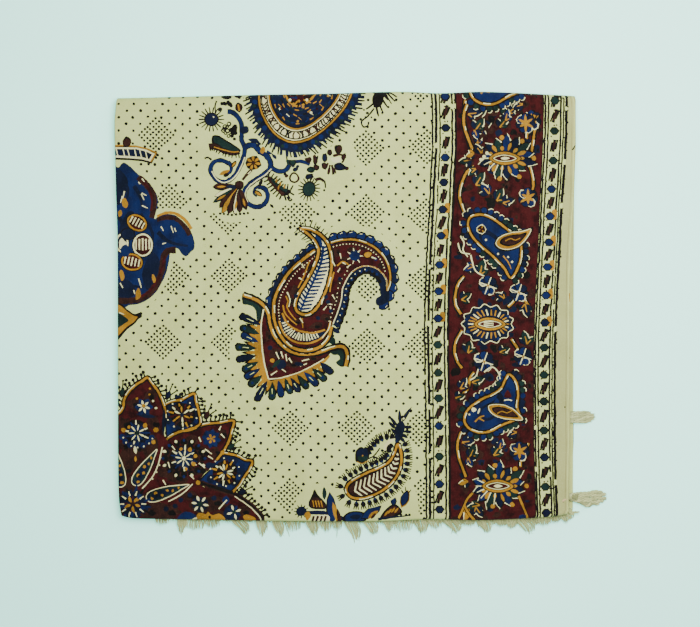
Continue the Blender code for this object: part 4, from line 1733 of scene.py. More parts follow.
    def petal_flowers(self, block: BlockPrint) -> None:
        """Presses the third petal's flowers.

        Args:
            block: The print that takes it.
        """
        block.dot(NIGHT, 200, 504, 8.0, 9)
        for angle in range(10, 370, 60):
            dx, dy = math.cos(math.radians(angle)), math.sin(math.radians(angle))
            block.petal(PALE, (200 + 3 * dx, 504 + 3 * dy), (200 + 8.8 * dx, 504 + 8.8 * dy), 2.6)
        block.dot(GREEN, 200, 504, 2.6, 7)
        block.dot(NIGHT, 232, 513, 9.0, 9)
        block.rosette(234, 512, 7.4, (INDIGO, PALE), 8, GREEN)
        block.blob(INDIGO, ((176, 520), (184, 512), (194, 514), (198, 521), (188, 526), (178, 526)))
        block.stroke(PALE, ((186, 524), (192, 519), (197, 518)), 1.3)
        block.blob(
            OCHRE,
            (
                (196.6, 517), (199, 512.8), (206, 514), (208, 511.6), (212, 515), (220, 513.8),
                (225, 519.6), (214, 521), (202, 522)
            )
        )
        block.dot(BLACK, 209.6, 517, 1.5)
        block.blob(OCHRE, ((243, 517), (246, 514.4), (252, 516), (256, 519.4), (248, 521)))
        block.dot(INDIGO, 226, 500, 4.0)
        block.stroke(PALE, ((219, 509), (223, 504), (227, 500)), 1.3)
        for x, y in ((175, 506), (181, 500), (214, 498), (190, 495), (166, 509)):
            block.dot(NIGHT, x, y, 2.6)


@dataclass
class LobedVase:
    """A blue lobed leaf with a striped flower, cut by the left fold, and the dish above it."""

    outline: tuple[Spot, ...] = (
        (108, 170), (118, 167.6), (123.3, 162.6), (130.4, 166.6), (138.6, 174.8), (147.8, 181.9),
        (154, 189.4), (157.6, 197.2), (157.6, 206), (154.4, 218.7), (160, 216), (167.1, 214.2),
        (175.3, 215.4), (183.5, 221.7), (189.6, 228.9), (193.6, 238), (194.6, 248), (191, 251.6),
        (186.5, 256.3), (182, 254), (178.6, 249.2), (174, 248), (170.4, 252.6), (168.6, 263.8),
        (165.2, 276), (161, 284), (155.9, 292.3), (148.8, 298.8), (140.6, 303.2), (130, 305), (108, 304.4)
    )

    def draw(self, block: BlockPrint) -> None:
        """Presses the whole block.

        Args:
            block: The print that takes it.
        """
        block.clear(self.outline, 7)
        block.stroke(OCHRE, ((157, 216.6), (167, 212.8), (176, 213.8), (185, 220), (191.6, 229)), 3.0)
        block.blob(BLACK, self.outline)
        block.blob(INDIGO, drawn_in(self.outline, (140, 240), 0.008, 0.006))
        for shape in (
            ((116, 176), (122, 172), (128, 182), (124, 198), (117, 204)),
            ((120, 226), (128, 212), (134, 214), (126, 232), (119, 240)),
            ((146, 262), (152, 252), (160, 262), (156, 280), (148, 290), (142, 276)),
            ((118, 284), (128, 280), (136, 292), (126, 300), (117, 300))
        ):
            block.blob(NIGHT, shape)
        for spots in (
            ((118, 170), (124, 180), (128, 192), (124, 204)),
            ((140, 214), (146, 222), (152, 232), (153, 244)),
            ((158, 232), (166, 240), (176, 244), (188, 246)),
            ((150, 250), (154, 262), (152, 274), (146, 284)), ((122, 290), (132, 286), (142, 288)),
            ((134, 186), (140, 196), (142, 206)), ((118, 216), (122, 224), (120, 234))
        ):
            block.stroke(NIGHT, spots, 4.6, 0.4)
        block.stroke(
            BROWN, ((138, 177), (146, 184), (151.6, 192), (154, 200), (153.6, 208), (151.6, 218)), 6.4,
            0.8
        )
        block.stroke(MADDER, ((141, 180), (149, 189), (152, 200), (151, 211)), 2.2)
        block.stroke(BROWN, ((157, 219.6), (168, 217.4), (177, 219.4), (184, 226), (190, 235)), 4.4)
        block.stroke(
            BROWN,
            (
                (176, 250), (168, 251), (163.6, 257), (162.6, 267), (159.4, 278), (154, 288),
                (145, 296.6), (132, 300.6), (114, 301)
            ),
            6.4
        )
        block.stroke(MADDER, ((165, 256), (162, 268), (157, 281), (149, 291.6), (137, 298.6)), 2.4)
        self.striped_flower(block)
        self.ticks(block)
        self.dish(block)
        self.leaf_tip(block)

    def striped_flower(self, block: BlockPrint) -> None:
        """Presses the striped flower.

        Args:
            block: The print that takes it.
        """
        for x, y, across, along, turn, rim in (
            (137, 222.8, 10, 7.4, 28, OCHRE), (142.7, 245, 9.6, 11, 0, PALE),
            (131.9, 262, 10.4, 8, 12, OCHRE), (122, 243, 6, 9, 0, PALE), (128, 234, 6, 5, 0, NIGHT)
        ):
            cos, sin = math.cos(math.radians(turn)), math.sin(math.radians(turn))

            def spin(radius: float, squeeze: float = 1.0) -> list[Spot]:
                spots = []
                for k in range(12):
                    a = math.tau * k / 12
                    dx = (across + radius) * math.cos(a) * squeeze
                    dy = (along + radius) * math.sin(a) * squeeze
                    spots.append((x + dx * cos - dy * sin, y + dx * sin + dy * cos))
                return spots

            block.blob(BLACK, spin(1.4))
            block.blob(rim, spin(0.5))
            block.blob(MADDER if across > 7 else NIGHT, spin(-1.2))
            for k in range(-2, 3):
                if across < 7:
                    continue
                dx, reach = k * across * 0.34, along * 0.62 * (1 - 0.1 * abs(k))
                ends = [(x + dx * cos + s * sin, y + dx * sin - s * cos) for s in (reach, -reach * 0.8)]
                block.stroke(PALE, ends, 1.7, 0.8)
        block.blob(
            PALE,
            ((119.6, 240), (122, 238), (124.4, 241), (127, 243), (123.6, 246), (120, 249), (119, 244))
        )
        block.blob(INDIGO, ((121, 248), (126, 244.6), (130, 250), (128, 256), (122, 256)))
        block.dot(NIGHT, 130, 236, 3.4)

    def ticks(self, block: BlockPrint) -> None:
        """Presses the white ticks and ochre marks.

        Args:
            block: The print that takes it.
        """
        for x, y, tx, ty in (
            (122.6, 196, 120.6, 203), (124.4, 191, 123, 199), (141, 193.6, 144, 200),
            (138.4, 182, 140.4, 184), (142, 178.6, 144.6, 182), (142, 205.4, 147.6, 208),
            (141.6, 193, 146.6, 195.6), (161, 226.6, 163.6, 231), (171, 226, 173.4, 233),
            (174.6, 228, 176, 232), (138.6, 278.6, 141.4, 288), (133.6, 290, 135, 294),
            (120, 283, 123, 288), (162.4, 244, 166, 243)
        ):
            block.stroke(PALE, ((x, y), (tx, ty)), 1.4, 0.5)
        for shape in (
            ((122, 200), (125, 198), (128, 203), (126.6, 208), (122.6, 206)),
            ((118, 212), (121, 210), (122, 214), (119, 217)),
            ((119.4, 272), (122, 270), (124.6, 277), (121.6, 281)),
            ((151.6, 275.4), (153.6, 274.4), (156, 280), (153.6, 283)),
            ((136, 292), (139, 288), (141, 296), (136, 300))
        ):
            block.blob(OCHRE, shape)

    def dish(self, block: BlockPrint) -> None:
        """Presses the dish above.

        Args:
            block: The print that takes it.
        """
        block.shape(
            BLACK,
            (
                (110, 145.4), (123, 144.8), (136, 145.4), (147, 148), (157.6, 152.6), (151.6, 163.8),
                (142, 161.4), (130, 160.4), (110, 159.6)
            )
        )
        block.shape(
            PALE,
            (
                (110, 157.4), (130, 158.2), (142, 159.2), (150.4, 161.4), (155, 153.8), (146.4, 149.8),
                (136, 147.4), (110, 147)
            )
        )
        block.shape(
            NIGHT,
            (
                (110, 148.8), (136, 149.2), (146, 151.4), (152.2, 154.4), (149.2, 159.2), (141, 157),
                (130, 156), (110, 155.4)
            )
        )
        for x in (117, 124, 128.6, 135.6, 140.8, 146.2):
            block.stroke(PALE, ((x - 1, 148.6 + (x - 117) * 0.05), (x + 1, 156.6 + (x - 117) * 0.08)), 1.1)
        block.stroke(OCHRE, ((110, 146), (124, 145.6), (136, 146.4), (147, 149), (156.6, 153)), 1.5)
        block.stroke(OCHRE, ((156, 153.6), (150.6, 162)), 1.4)
        block.dot(BLACK, 126.8, 142.2, 5.0, 9)
        block.dot(BROWN, 126.8, 142.2, 4.2, 9)
        for x, y in ((145, 146.6), (157.6, 155), (148.6, 164), (156, 157.6)):
            block.dot(BLACK, x, y, 1.6, 6)

    def leaf_tip(self, block: BlockPrint) -> None:
        """Presses the leaf tip below.

        Args:
            block: The print that takes it.
        """
        block.blob(
            BLACK,
            (
                (112, 303.6), (121, 304), (127, 309), (134, 314), (139.6, 312.6), (142, 316.4),
                (138, 319.6), (134.4, 324), (127, 329.6), (120, 338), (112, 342)
            )
        )
        block.blob(
            OCHRE,
            (
                (112, 305), (120.4, 305.6), (126.6, 311), (134, 316), (137.6, 317), (133, 322.6),
                (126, 327.6), (119, 335), (112, 338)
            )
        )
        block.blob(
            GREEN,
            ((112, 311), (118, 312.4), (125, 317), (128.6, 320.4), (124, 324), (118, 328), (112, 331))
        )
        block.stroke(PALE, ((119, 312.6), (124, 314.6)), 1.2, 0.5)


@dataclass
class HatchedDisc:
    """The great round at the top fold, with a hatched cream ring and a hairy blue edge."""

    middle: Spot = (302.0, 84.0)
    outer: tuple[Spot, ...] = (
        (258.5, 84), (258.9, 95), (260, 106.7), (264.9, 119.7), (273.6, 132.4), (284.4, 140),
        (295.4, 142.4), (308.4, 139.2), (322.4, 130.5), (334.3, 119.7), (345, 106.7), (351.4, 93.7),
        (353, 80), (348, 60), (334, 44), (310, 36), (284, 40), (266, 56)
    )

    def ring_at(self, share: float) -> list[Spot]:
        """The outer ring drawn in towards the middle."""
        mx, my = self.middle
        return [(mx + (x - mx) * share, my + (y - my) * share) for x, y in self.outer]

    def draw(self, block: BlockPrint) -> None:
        """Presses the whole block.

        Args:
            block: The print that takes it.
        """
        block.clear(self.ring_at(1.15), 9)
        around = tuple(reversed(self.ring_at(1.11)))
        block.comb(BLACK, around, 9.6, 3.7, 1.5, True, lean=-0.35)
        block.comb(NIGHT, around, 7.4, 6.1, 3.0, True, lean=-0.35)
        block.beads(NIGHT, tuple(reversed(self.ring_at(1.06))), 4.2, 6.2, 2.6, True)
        block.blob(NIGHT, self.ring_at(1.12))
        block.beads(INDIGO, tuple(reversed(self.ring_at(1.05))), 2.6, 9.0, 2.0, True)
        block.beads(GREEN, tuple(reversed(self.ring_at(1.05))), 1.8, 16.0, 3.4, True)
        block.blob(BLACK, self.ring_at(1.03))
        block.blob(PALE, self.ring_at(0.99))
        band = tuple(reversed(self.ring_at(0.80)))
        for (x, y), (tx, ty) in block.paces(band, 2.6, True):
            nx, ny = ty, -tx
            sway = block.chance.choice((-0.45, 0.45, 0.2))
            start = (x + 1.6 * nx, y + 1.6 * ny)
            turn = (x + 4.6 * nx + 6 * sway * tx, y + 4.6 * ny + 6 * sway * ty)
            end = (x + 8.0 * nx + 2 * sway * tx, y + 8.0 * ny + 2 * sway * ty)
            ink = block.chance.choice((BLACK, BROWN, BROWN))
            block.stroke(ink, (start, turn, end), 1.25, 0.8)
        block.ring(BLACK, self.ring_at(1.0), 3.6)
        block.ring(OCHRE, self.ring_at(1.0), 1.7)
        block.ring(BLACK, self.ring_at(0.94), 0.8)
        block.ring(BLACK, self.ring_at(0.82), 0.8)
        block.blob(BLACK, self.ring_at(0.79))
        block.ring(OCHRE, self.ring_at(0.77), 1.4)
        block.blob(NIGHT, self.ring_at(0.735))
        inner = self.ring_at(0.60)
        for index, ((x, y), _) in enumerate(block.paces(inner, 6.4, True)):
            ink = (INDIGO, OCHRE, INDIGO, PALE, MADDER, INDIGO)[index % 6]
            block.dot(ink, x + block.chance.uniform(-3, 3), y + block.chance.uniform(-3, 3), 1.5, 5)
            if index % 2:
                block.stroke(
                    PALE if index % 4 == 1 else OCHRE, ((x - 1.6, y - 1.6), (x + 1.6, y + 1.2)), 0.9, 0.6
                )
        for share, inks in (
            (0.68, (INDIGO, OCHRE, GREEN)), (0.53, (BLACK, OCHRE, INDIGO)), (0.45, (OCHRE, GREEN))
        ):
            for index, ((x, y), (tx, ty)) in enumerate(block.paces(self.ring_at(share), 5.0, True)):
                lean = block.chance.uniform(-1.2, 1.2)
                ends = ((x - 2 * tx, y - 2 * ty), (x + 2 * tx + lean * ty, y + 2 * ty - lean * tx))
                block.stroke(inks[index % len(inks)], ends, 1.4, 0.6)
        core = [(x - 1.5, y + 0.5) for x, y in self.ring_at(0.37)]
        block.blob(BLACK, core)
        block.ring(OCHRE, core, 2.0)
        block.blob(MADDER, [(x - 1.5, y + 0.5) for x, y in self.ring_at(0.31)])
        block.blob(NIGHT, [(x - 6, y + 2) for x, y in self.ring_at(0.14)])
        block.ticks(300, 98, (4.0, 11.0), 15, (BLACK, OCHRE, BLACK, INDIGO), 1.5)
        for x, y, ink in (
            (294, 104, OCHRE), (299, 101, OCHRE), (296, 98, INDIGO), (307, 100, PALE), (303, 107, OCHRE),
            (290, 100, PALE)
        ):
            block.dot(ink, x, y, 1.5, 5)


@dataclass
class ScrollSpray:
    """Blue scrolls with a fan flower, thorny buds and small leaves beside the disc."""

    scrolls: tuple[tuple[Spot, ...], ...] = (
        (
            (227.5, 111.6), (231.6, 112), (235.5, 114.6), (240.6, 121.4), (242, 131), (241.6, 140),
            (244.7, 147.4), (243.6, 157), (239, 168.4), (232.4, 178), (223.3, 182.4), (215.4, 179),
            (210.6, 171), (213, 163), (221, 160.4), (228.6, 163.4)
        ),
        (
            (244.7, 148), (249, 145.4), (254.6, 145.6), (260, 151.6), (266.6, 156), (270.4, 162),
            (270, 168.6), (264.7, 174.2), (255, 180.4), (247.4, 186.6), (244, 194), (246.4, 202),
            (255.6, 207), (264.2, 204.2), (267.8, 196), (264.6, 188.6), (257.6, 186.8)
        ),
        ((270.6, 167.4), (278.8, 171.4), (286.4, 169.6), (291, 163.4), (299.6, 161.2), (310, 164.2))
    )

    def thorny(
        self,
        block: BlockPrint,
        x: float,
        y: float,
        across: float,
        along: float,
        reach: float,
        ink: Ink,
        turn: float = 0.0,
    ) -> None:
        """Presses a dark bud with thorns all round.

        Args:
            block: The print that takes it.
            x: How far right its middle lies, in squares.
            y: How far down its middle lies, in squares.
            across: Half its width, in squares.
            along: Half its height, in squares.
            reach: How far they stick out, in squares.
            ink: Its dye.
            turn: How far it is turned, in degrees.
        """
        cos, sin = math.cos(math.radians(turn)), math.sin(math.radians(turn))
        rim = []
        for k in range(18):
            a = math.tau * k / 18
            dx, dy = math.cos(a), math.sin(a)
            spots = [
                (x + (r[0] * dx) * cos - (r[1] * dy) * sin, y + (r[0] * dx) * sin + (r[1] * dy) * cos)
                for r in ((across, along), (across + reach, along + reach))
            ]
            rim.append(spots[0])
            block.stroke(BLACK, (spots[0], spots[1]), 1.1, 0.7)
        block.blob(BLACK, rim)
        block.blob(ink, scaled(rim, (x, y), 0.84, 0.84))

    def draw(self, block: BlockPrint) -> None:
        """Presses the whole block.

        Args:
            block: The print that takes it.
        """
        block.clear(
            (
                (204, 108), (236, 100), (262, 130), (300, 156), (346, 142), (352, 168), (326, 196),
                (290, 202), (262, 214), (226, 220), (206, 192), (202, 150)
            ),
            2
        )
        self.thorny(block, 211.4, 119.4, 7.4, 7.0, 5.4, NIGHT)
        block.dot(PALE, 213.4, 117.0, 0.8, 5)
        block.stroke(BLACK, ((215.6, 113), (215, 106), (216.6, 101)), 1.0)
        block.dot(BLACK, 220, 109.4, 2.4)
        self.frilled_leaf(block)
        self.broken_sprig(block)
        self.curls(block)
        self.stemmed_rosette(block)
        self.fan_flower(block)
        self.red_bud(block)
        self.toothed_leaf(block)
        self.small_sprays(block)
        self.fold_sprig(block)

    def frilled_leaf(self, block: BlockPrint) -> None:
        """Presses the leaf with a frill.

        Args:
            block: The print that takes it.
        """
        block.blob(
            BLACK,
            (
                (212.4, 136), (218, 135.4), (226, 140), (235, 145.4), (241, 151), (234, 153),
                (224, 150.6), (214, 147), (211.6, 141)
            )
        )
        block.blob(
            GREEN,
            (
                (213.6, 137.4), (218, 137), (226, 141.6), (235, 147), (239, 150.6), (231, 151),
                (222, 147.6), (215, 143.4)
            )
        )
        frill = ((209, 147), (215, 146.4), (223, 150.6), (232, 153.4), (240, 152.4))
        block.stroke(BLACK, frill, 7.4, 0.5)
        block.stroke(BROWN, frill, 5.6, 0.5)
        block.comb(BLACK, tuple(reversed(frill)), 4.8, 3.0, 1.1)
        block.stroke(OCHRE, ((214, 147), (222, 149.4), (232, 152), (239, 151.6)), 1.1)

    def broken_sprig(self, block: BlockPrint) -> None:
        """Presses the broken sprig between the ball and the scroll.

        Args:
            block: The print that takes it.
        """
        for x, y, radius in (
            (231, 130, 2.6), (234, 127, 2.0), (235.6, 133, 2.2), (232, 136, 1.9), (234.6, 139, 1.6)
        ):
            block.dot(BLACK, x, y, radius)
        for x, y in ((224, 129), (227, 127), (225.6, 133), (228.6, 136)):
            block.ring(BLACK, ((x - 1.6, y), (x, y - 1.6), (x + 1.6, y), (x, y + 1.6)), 0.7)
        for x, y in ((225.6, 104), (231, 105.6), (222, 103.6), (228, 102)):
            block.dot(BLACK, x, y, 1.8)
        block.stroke(BLACK, ((221, 97.4), (227, 95.4), (231, 97)), 1.8)
        block.stroke(BLACK, ((234, 96), (240, 95)), 2.0)
        block.blob(BROWN, ((235, 108), (238.4, 102.4), (241.6, 107.6), (240.4, 112), (236.6, 111)))
        block.stroke(OCHRE, ((237.4, 104), (239.4, 111)), 1.4)

    def curls(self, block: BlockPrint) -> None:
        """Presses the scrolls and their small curls.

        Args:
            block: The print that takes it.
        """
        for scroll, width in zip(self.scrolls, (4.6, 5.0, 4.0)):
            block.stroke(BLACK, scroll, width + 0.9, 0.8)
            block.stroke(INDIGO, scroll, width - 0.5, 0.8)
        block.blob(NIGHT, ((241, 128), (247, 126), (249, 131), (245, 134), (241, 133)))
        for scroll, start, end in ((self.scrolls[0], 7, 13), (self.scrolls[1], 6, 12)):
            inner = [(x + 1.3, y + 0.2) for x, y in scroll[start:end]]
            block.stroke(PALE, inner, 1.2)
        for scroll, width in (
            (((228, 162), (231.4, 166.6), (230, 172.4), (224.6, 174.8)), 4.4),
            (((259.4, 186), (255, 188.6), (253.8, 193.6), (257, 196.6)), 3.4)
        ):
            block.stroke(BLACK, scroll, width, 0.5)
            block.stroke(INDIGO, scroll, width - 1.4, 0.4)
        block.petal(BLACK, (259, 187), (262.6, 178.4), 3.6)
        block.petal(BLACK, (254, 190), (262.4, 196.6), 5.0)
        block.petal(OCHRE, (255, 191.4), (261.4, 195.8), 2.6)
        block.petal(BLACK, (270, 204), (273.6, 208), 3.0)
        block.petal(OCHRE, (219, 175), (230, 170), 4.0)
        block.petal(BLACK, (223, 176), (229.6, 174), 4.0)
        block.petal(BLACK, (231, 168), (236.4, 160.6), 4.4)
        block.petal(OCHRE, (232, 167), (235.6, 162), 2.0)
        block.stroke(BLACK, ((204.6, 158.6), (208, 157.4), (211.6, 160)), 1.4)
        for ink, x, y, across, along, turn in (
            (BLACK, 234, 130, 3.2, 5.6, 20), (BROWN, 239, 107.4, 3.6, 5.2, 0),
            (BLACK, 224.4, 103.4, 2.6, 2.0, 0), (BLACK, 229.8, 104.2, 2.8, 2.2, 20),
            (BLACK, 226.6, 97.4, 5.4, 2.0, 0), (BLACK, 238, 96.6, 4.0, 1.8, 0),
            (BLACK, 245, 98, 2.0, 1.4, 0)
        ):
            block.bud(ink, x, y, across, along, turn)
        block.stroke(OCHRE, ((238, 104.4), (239.4, 111)), 1.5)
        for x, y in ((225, 126.6), (229, 124), (227.4, 131), (231.4, 134.6), (223.4, 130.6)):
            block.ring(BLACK, ((x - 2, y), (x, y - 2), (x + 2, y), (x, y + 2)), 0.9)

    def stemmed_rosette(self, block: BlockPrint) -> None:
        """Presses the rosette and the bud that it stands on.

        Args:
            block: The print that takes it.
        """
        block.dot(BLACK, 253.4, 163, 7.6, 9)
        block.rosette(253.4, 163, 7.4, (OCHRE,), 7, BROWN)
        block.stroke(BROWN, ((251.6, 169.6), (247, 174.4), (242.4, 180)), 3.4, 0.7)
        block.stroke(PALE, ((251, 171), (248, 174)), 1.0)

    def fan_flower(self, block: BlockPrint) -> None:
        """Presses the fan flower.

        Args:
            block: The print that takes it.
        """
        root = (239.4, 186)
        fan = (
            ((212.4, 187), 6.4, BROWN), ((214, 197), 4.6, PALE), ((212.6, 203), 4.0, GREEN),
            ((219, 208), 7.0, BROWN), ((221.4, 213.6), 6.0, OCHRE), ((228, 214.4), 6.6, BROWN),
            ((234, 214.6), 5.0, PALE), ((239.6, 213.4), 6.4, BROWN), ((246.4, 210.4), 5.4, BROWN)
        )
        for tip, width, ink in fan:
            block.petal(BLACK, root, tip, width + 1.4, 0.72)
            block.petal(ink, root, (tip[0] + 0.8, tip[1] - 0.8), width, 0.72)
        for tip, _, _ in fan[::2]:
            spot = (root[0] + 0.84 * (tip[0] - root[0]), root[1] + 0.84 * (tip[1] - root[1]))
            block.petal(
                OCHRE, (root[0] + 0.5 * (tip[0] - root[0]), root[1] + 0.5 * (tip[1] - root[1])), spot, 2.2
            )
        for x in range(220, 249, 4):
            block.dot(BLACK, x, 215 - abs(x - 232) * 0.12, 1.5, 5)
        block.petal(NIGHT, (238, 187), (226, 186.6), 4.0)
        block.dot(BLACK, 239.4, 185, 4.8, 9)
        block.dot(BROWN, 239.4, 185, 4.0, 9)

    def red_bud(self, block: BlockPrint) -> None:
        """Presses the red bud with its blue leaves, under the disc.

        Args:
            block: The print that takes it.
        """
        block.petal(NIGHT, (262.6, 142), (247.6, 139.4), 5.0)
        block.petal(NIGHT, (262, 141), (256, 147), 3.8)
        block.dot(BLACK, 268.6, 141.8, 5.0, 9)
        block.dot(BROWN, 268.6, 141.4, 4.2, 9)
        block.blob(OCHRE, ((266, 142), (269, 138.6), (272, 143), (268, 145.6)))
        block.blob(OCHRE, ((260, 151), (263, 146.4), (265.6, 150), (262.4, 154)))
        block.petal(BLACK, (266, 153), (276.6, 149), 7.0)
        block.petal(INDIGO, (267, 152.6), (274.6, 150), 5.0)
        block.petal(NIGHT, (272, 152), (276.4, 159.6), 4.0)

    def toothed_leaf(self, block: BlockPrint) -> None:
        """Presses the toothed leaf.

        Args:
            block: The print that takes it.
        """
        leaf = (
            (267, 176), (272.6, 177.6), (277, 182.6), (284, 188.6), (291, 190), (289.4, 194),
            (282.6, 196), (276, 190), (270.6, 183.6)
        )
        block.comb(BLACK, leaf, 4.6, 3.4, 1.4, True)
        block.blob(BLACK, leaf)
        block.stroke(BROWN, ((268, 178), (273, 184), (279, 191), (284, 195)), 3.4)
        block.stroke(GREEN, ((272, 179.6), (279, 186), (287, 191)), 3.0)
        for x, y in ((276, 181), (280, 184.6), (284, 187), (278, 188)):
            block.petal(OCHRE, (x, y + 2), (x + 1, y - 3), 1.8)
        block.stroke(BLACK, ((287, 197), (290, 201), (292, 199)), 1.4)

    def small_sprays(self, block: BlockPrint) -> None:
        """Presses the small sprays to the right.

        Args:
            block: The print that takes it.
        """
        block.dot(GREEN, 290, 161.6, 4.0)
        block.ring(
            BROWN, ((290, 177), (293, 173), (297.4, 175), (298.4, 179.6), (294.6, 182.4), (290.6, 180.6)),
            1.5
        )
        block.dot(BROWN, 286.6, 176, 2.0)
        block.dot(BLACK, 285, 174, 1.6)
        for x, y in ((295, 169.6), (297.6, 166.6), (293, 166)):
            block.dot(NIGHT, x, y, 1.7)
        block.ring(BROWN, ((305.4, 159), (308.4, 157), (311, 159.4), (308.6, 162.4)), 1.4)
        block.petal(BROWN, (316, 163), (314, 154), 4.6)
        block.petal(BLACK, (316.6, 162), (318, 155), 2.0)
        block.dot(BROWN, 316, 167.6, 3.4)
        block.blob(GREEN, ((308.6, 168), (312, 166.6), (315, 169.6), (313, 173), (309, 172)))
        block.blob(NIGHT, ((306, 174.6), (310, 174), (314, 177), (311, 179), (307.6, 178.4)))
        self.thorny(block, 309, 189, 6.6, 8.0, 4.6, GREEN, 18)
        block.stroke(BLACK, ((311, 180), (312.6, 174)), 1.2)
        block.stroke(BLACK, ((315, 180), (320, 178.4), (324.6, 181.6), (325.4, 188)), 2.2, 0.5)
        block.stroke(BROWN, ((316, 180), (320, 179.4), (323.4, 181.6)), 2.2, 0.5)
        block.dot(BLACK, 324, 190.4, 1.2)
        block.blob(BLACK, ((322.4, 156), (326, 153), (327.4, 158), (326.6, 161.4), (323.4, 160.6)))
        block.blob(INDIGO, ((323.4, 156), (325.6, 154.6), (326.4, 158.6), (325, 160.4)))
        block.blob(BROWN, ((327, 152.6), (331, 149.6), (332, 154), (329.6, 156)))
        block.blob(BLACK, ((334.6, 146), (340, 145.6), (342.4, 150), (339.4, 154), (335.4, 152.4)))
        block.blob(BROWN, ((336, 147.4), (339.6, 147), (340.6, 150), (338.6, 152)))
        block.stroke(BROWN, ((333, 156), (340, 154.6), (344.6, 157.4), (342, 163)), 2.6, 0.6)
        block.blob(PALE, ((331, 158.4), (337, 157), (342, 159), (338.6, 162.6), (333, 162)))
        block.blob(NIGHT, ((334, 165), (340, 162.4), (346, 166.4), (349, 167.6), (343, 170.4), (336, 170)))
        block.blob(NIGHT, ((321.6, 163.6), (325, 162.6), (328, 166), (325.6, 169.6), (322.4, 168)))
        for x, y, tx, ty in (
            (330, 165, 327.6, 174), (332, 165, 333, 175), (328, 163, 325, 170), (334, 168, 336, 173.6)
        ):
            block.stroke(BROWN, ((x, y), (tx, ty)), 1.7, 0.5)
        for ink, x, y, across, along, turn in (
            (BROWN, 338.9, 149.4, 3.7, 5.2, 10), (BROWN, 343.8, 156.8, 2.5, 3.7, 20),
            (NIGHT, 339.8, 166.9, 5.8, 3.1, 10), (NIGHT, 324.6, 158.0, 2.9, 4.5, 0),
            (BROWN, 329.6, 152.3, 2.7, 2.9, 0), (BROWN, 324.4, 166.2, 2.8, 3.5, 0),
            (BROWN, 315.3, 160.7, 2.5, 4.3, 0), (BROWN, 308.3, 159.4, 2.6, 3.3, 0),
            (BROWN, 316.4, 167.4, 3.0, 2.8, 0), (GREEN, 310.2, 169.6, 3.4, 3.1, 0),
            (NIGHT, 308.9, 176.6, 4.4, 2.7, -20), (BROWN, 347.0, 168.6, 2.2, 1.6, -30),
            (BROWN, 328.9, 171.0, 1.5, 3.8, 10), (BROWN, 333.4, 170.4, 1.4, 4.2, -8),
            (GREEN, 292.6, 162.4, 4.2, 3.4, 30), (NIGHT, 295.6, 169.4, 3.0, 2.2, -30)
        ):
            block.bud(ink, x, y, across, along, turn)

    def fold_sprig(self, block: BlockPrint) -> None:
        """Presses the dark sprig at the fold.

        Args:
            block: The print that takes it.
        """
        block.blob(
            BLACK, ((373, 96), (378, 91), (383, 90), (384, 97), (381.6, 105), (376, 108), (372.4, 103))
        )
        for x, y, tx, ty in (
            (382, 93, 388, 100), (384, 92, 391.6, 104), (386, 92, 395, 101.6), (385, 90, 397, 97),
            (376, 106, 378.6, 116.6), (379.6, 105, 383, 112.4), (373, 104, 366, 109.4),
            (381, 98, 387.6, 107)
        ):
            block.stroke(BLACK, ((x, y), (tx, ty)), 2.0, 0.5)
        block.stroke(
            BLACK, ((374.2, 108.4), (368, 116), (361.6, 121.6), (363.4, 127), (367.6, 126), (368.6, 122)),
            1.2
        )
        for x, y in ((364, 110), (371.4, 117.4), (365.4, 117)):
            block.dot(BLACK, x, y, 1.1, 5)


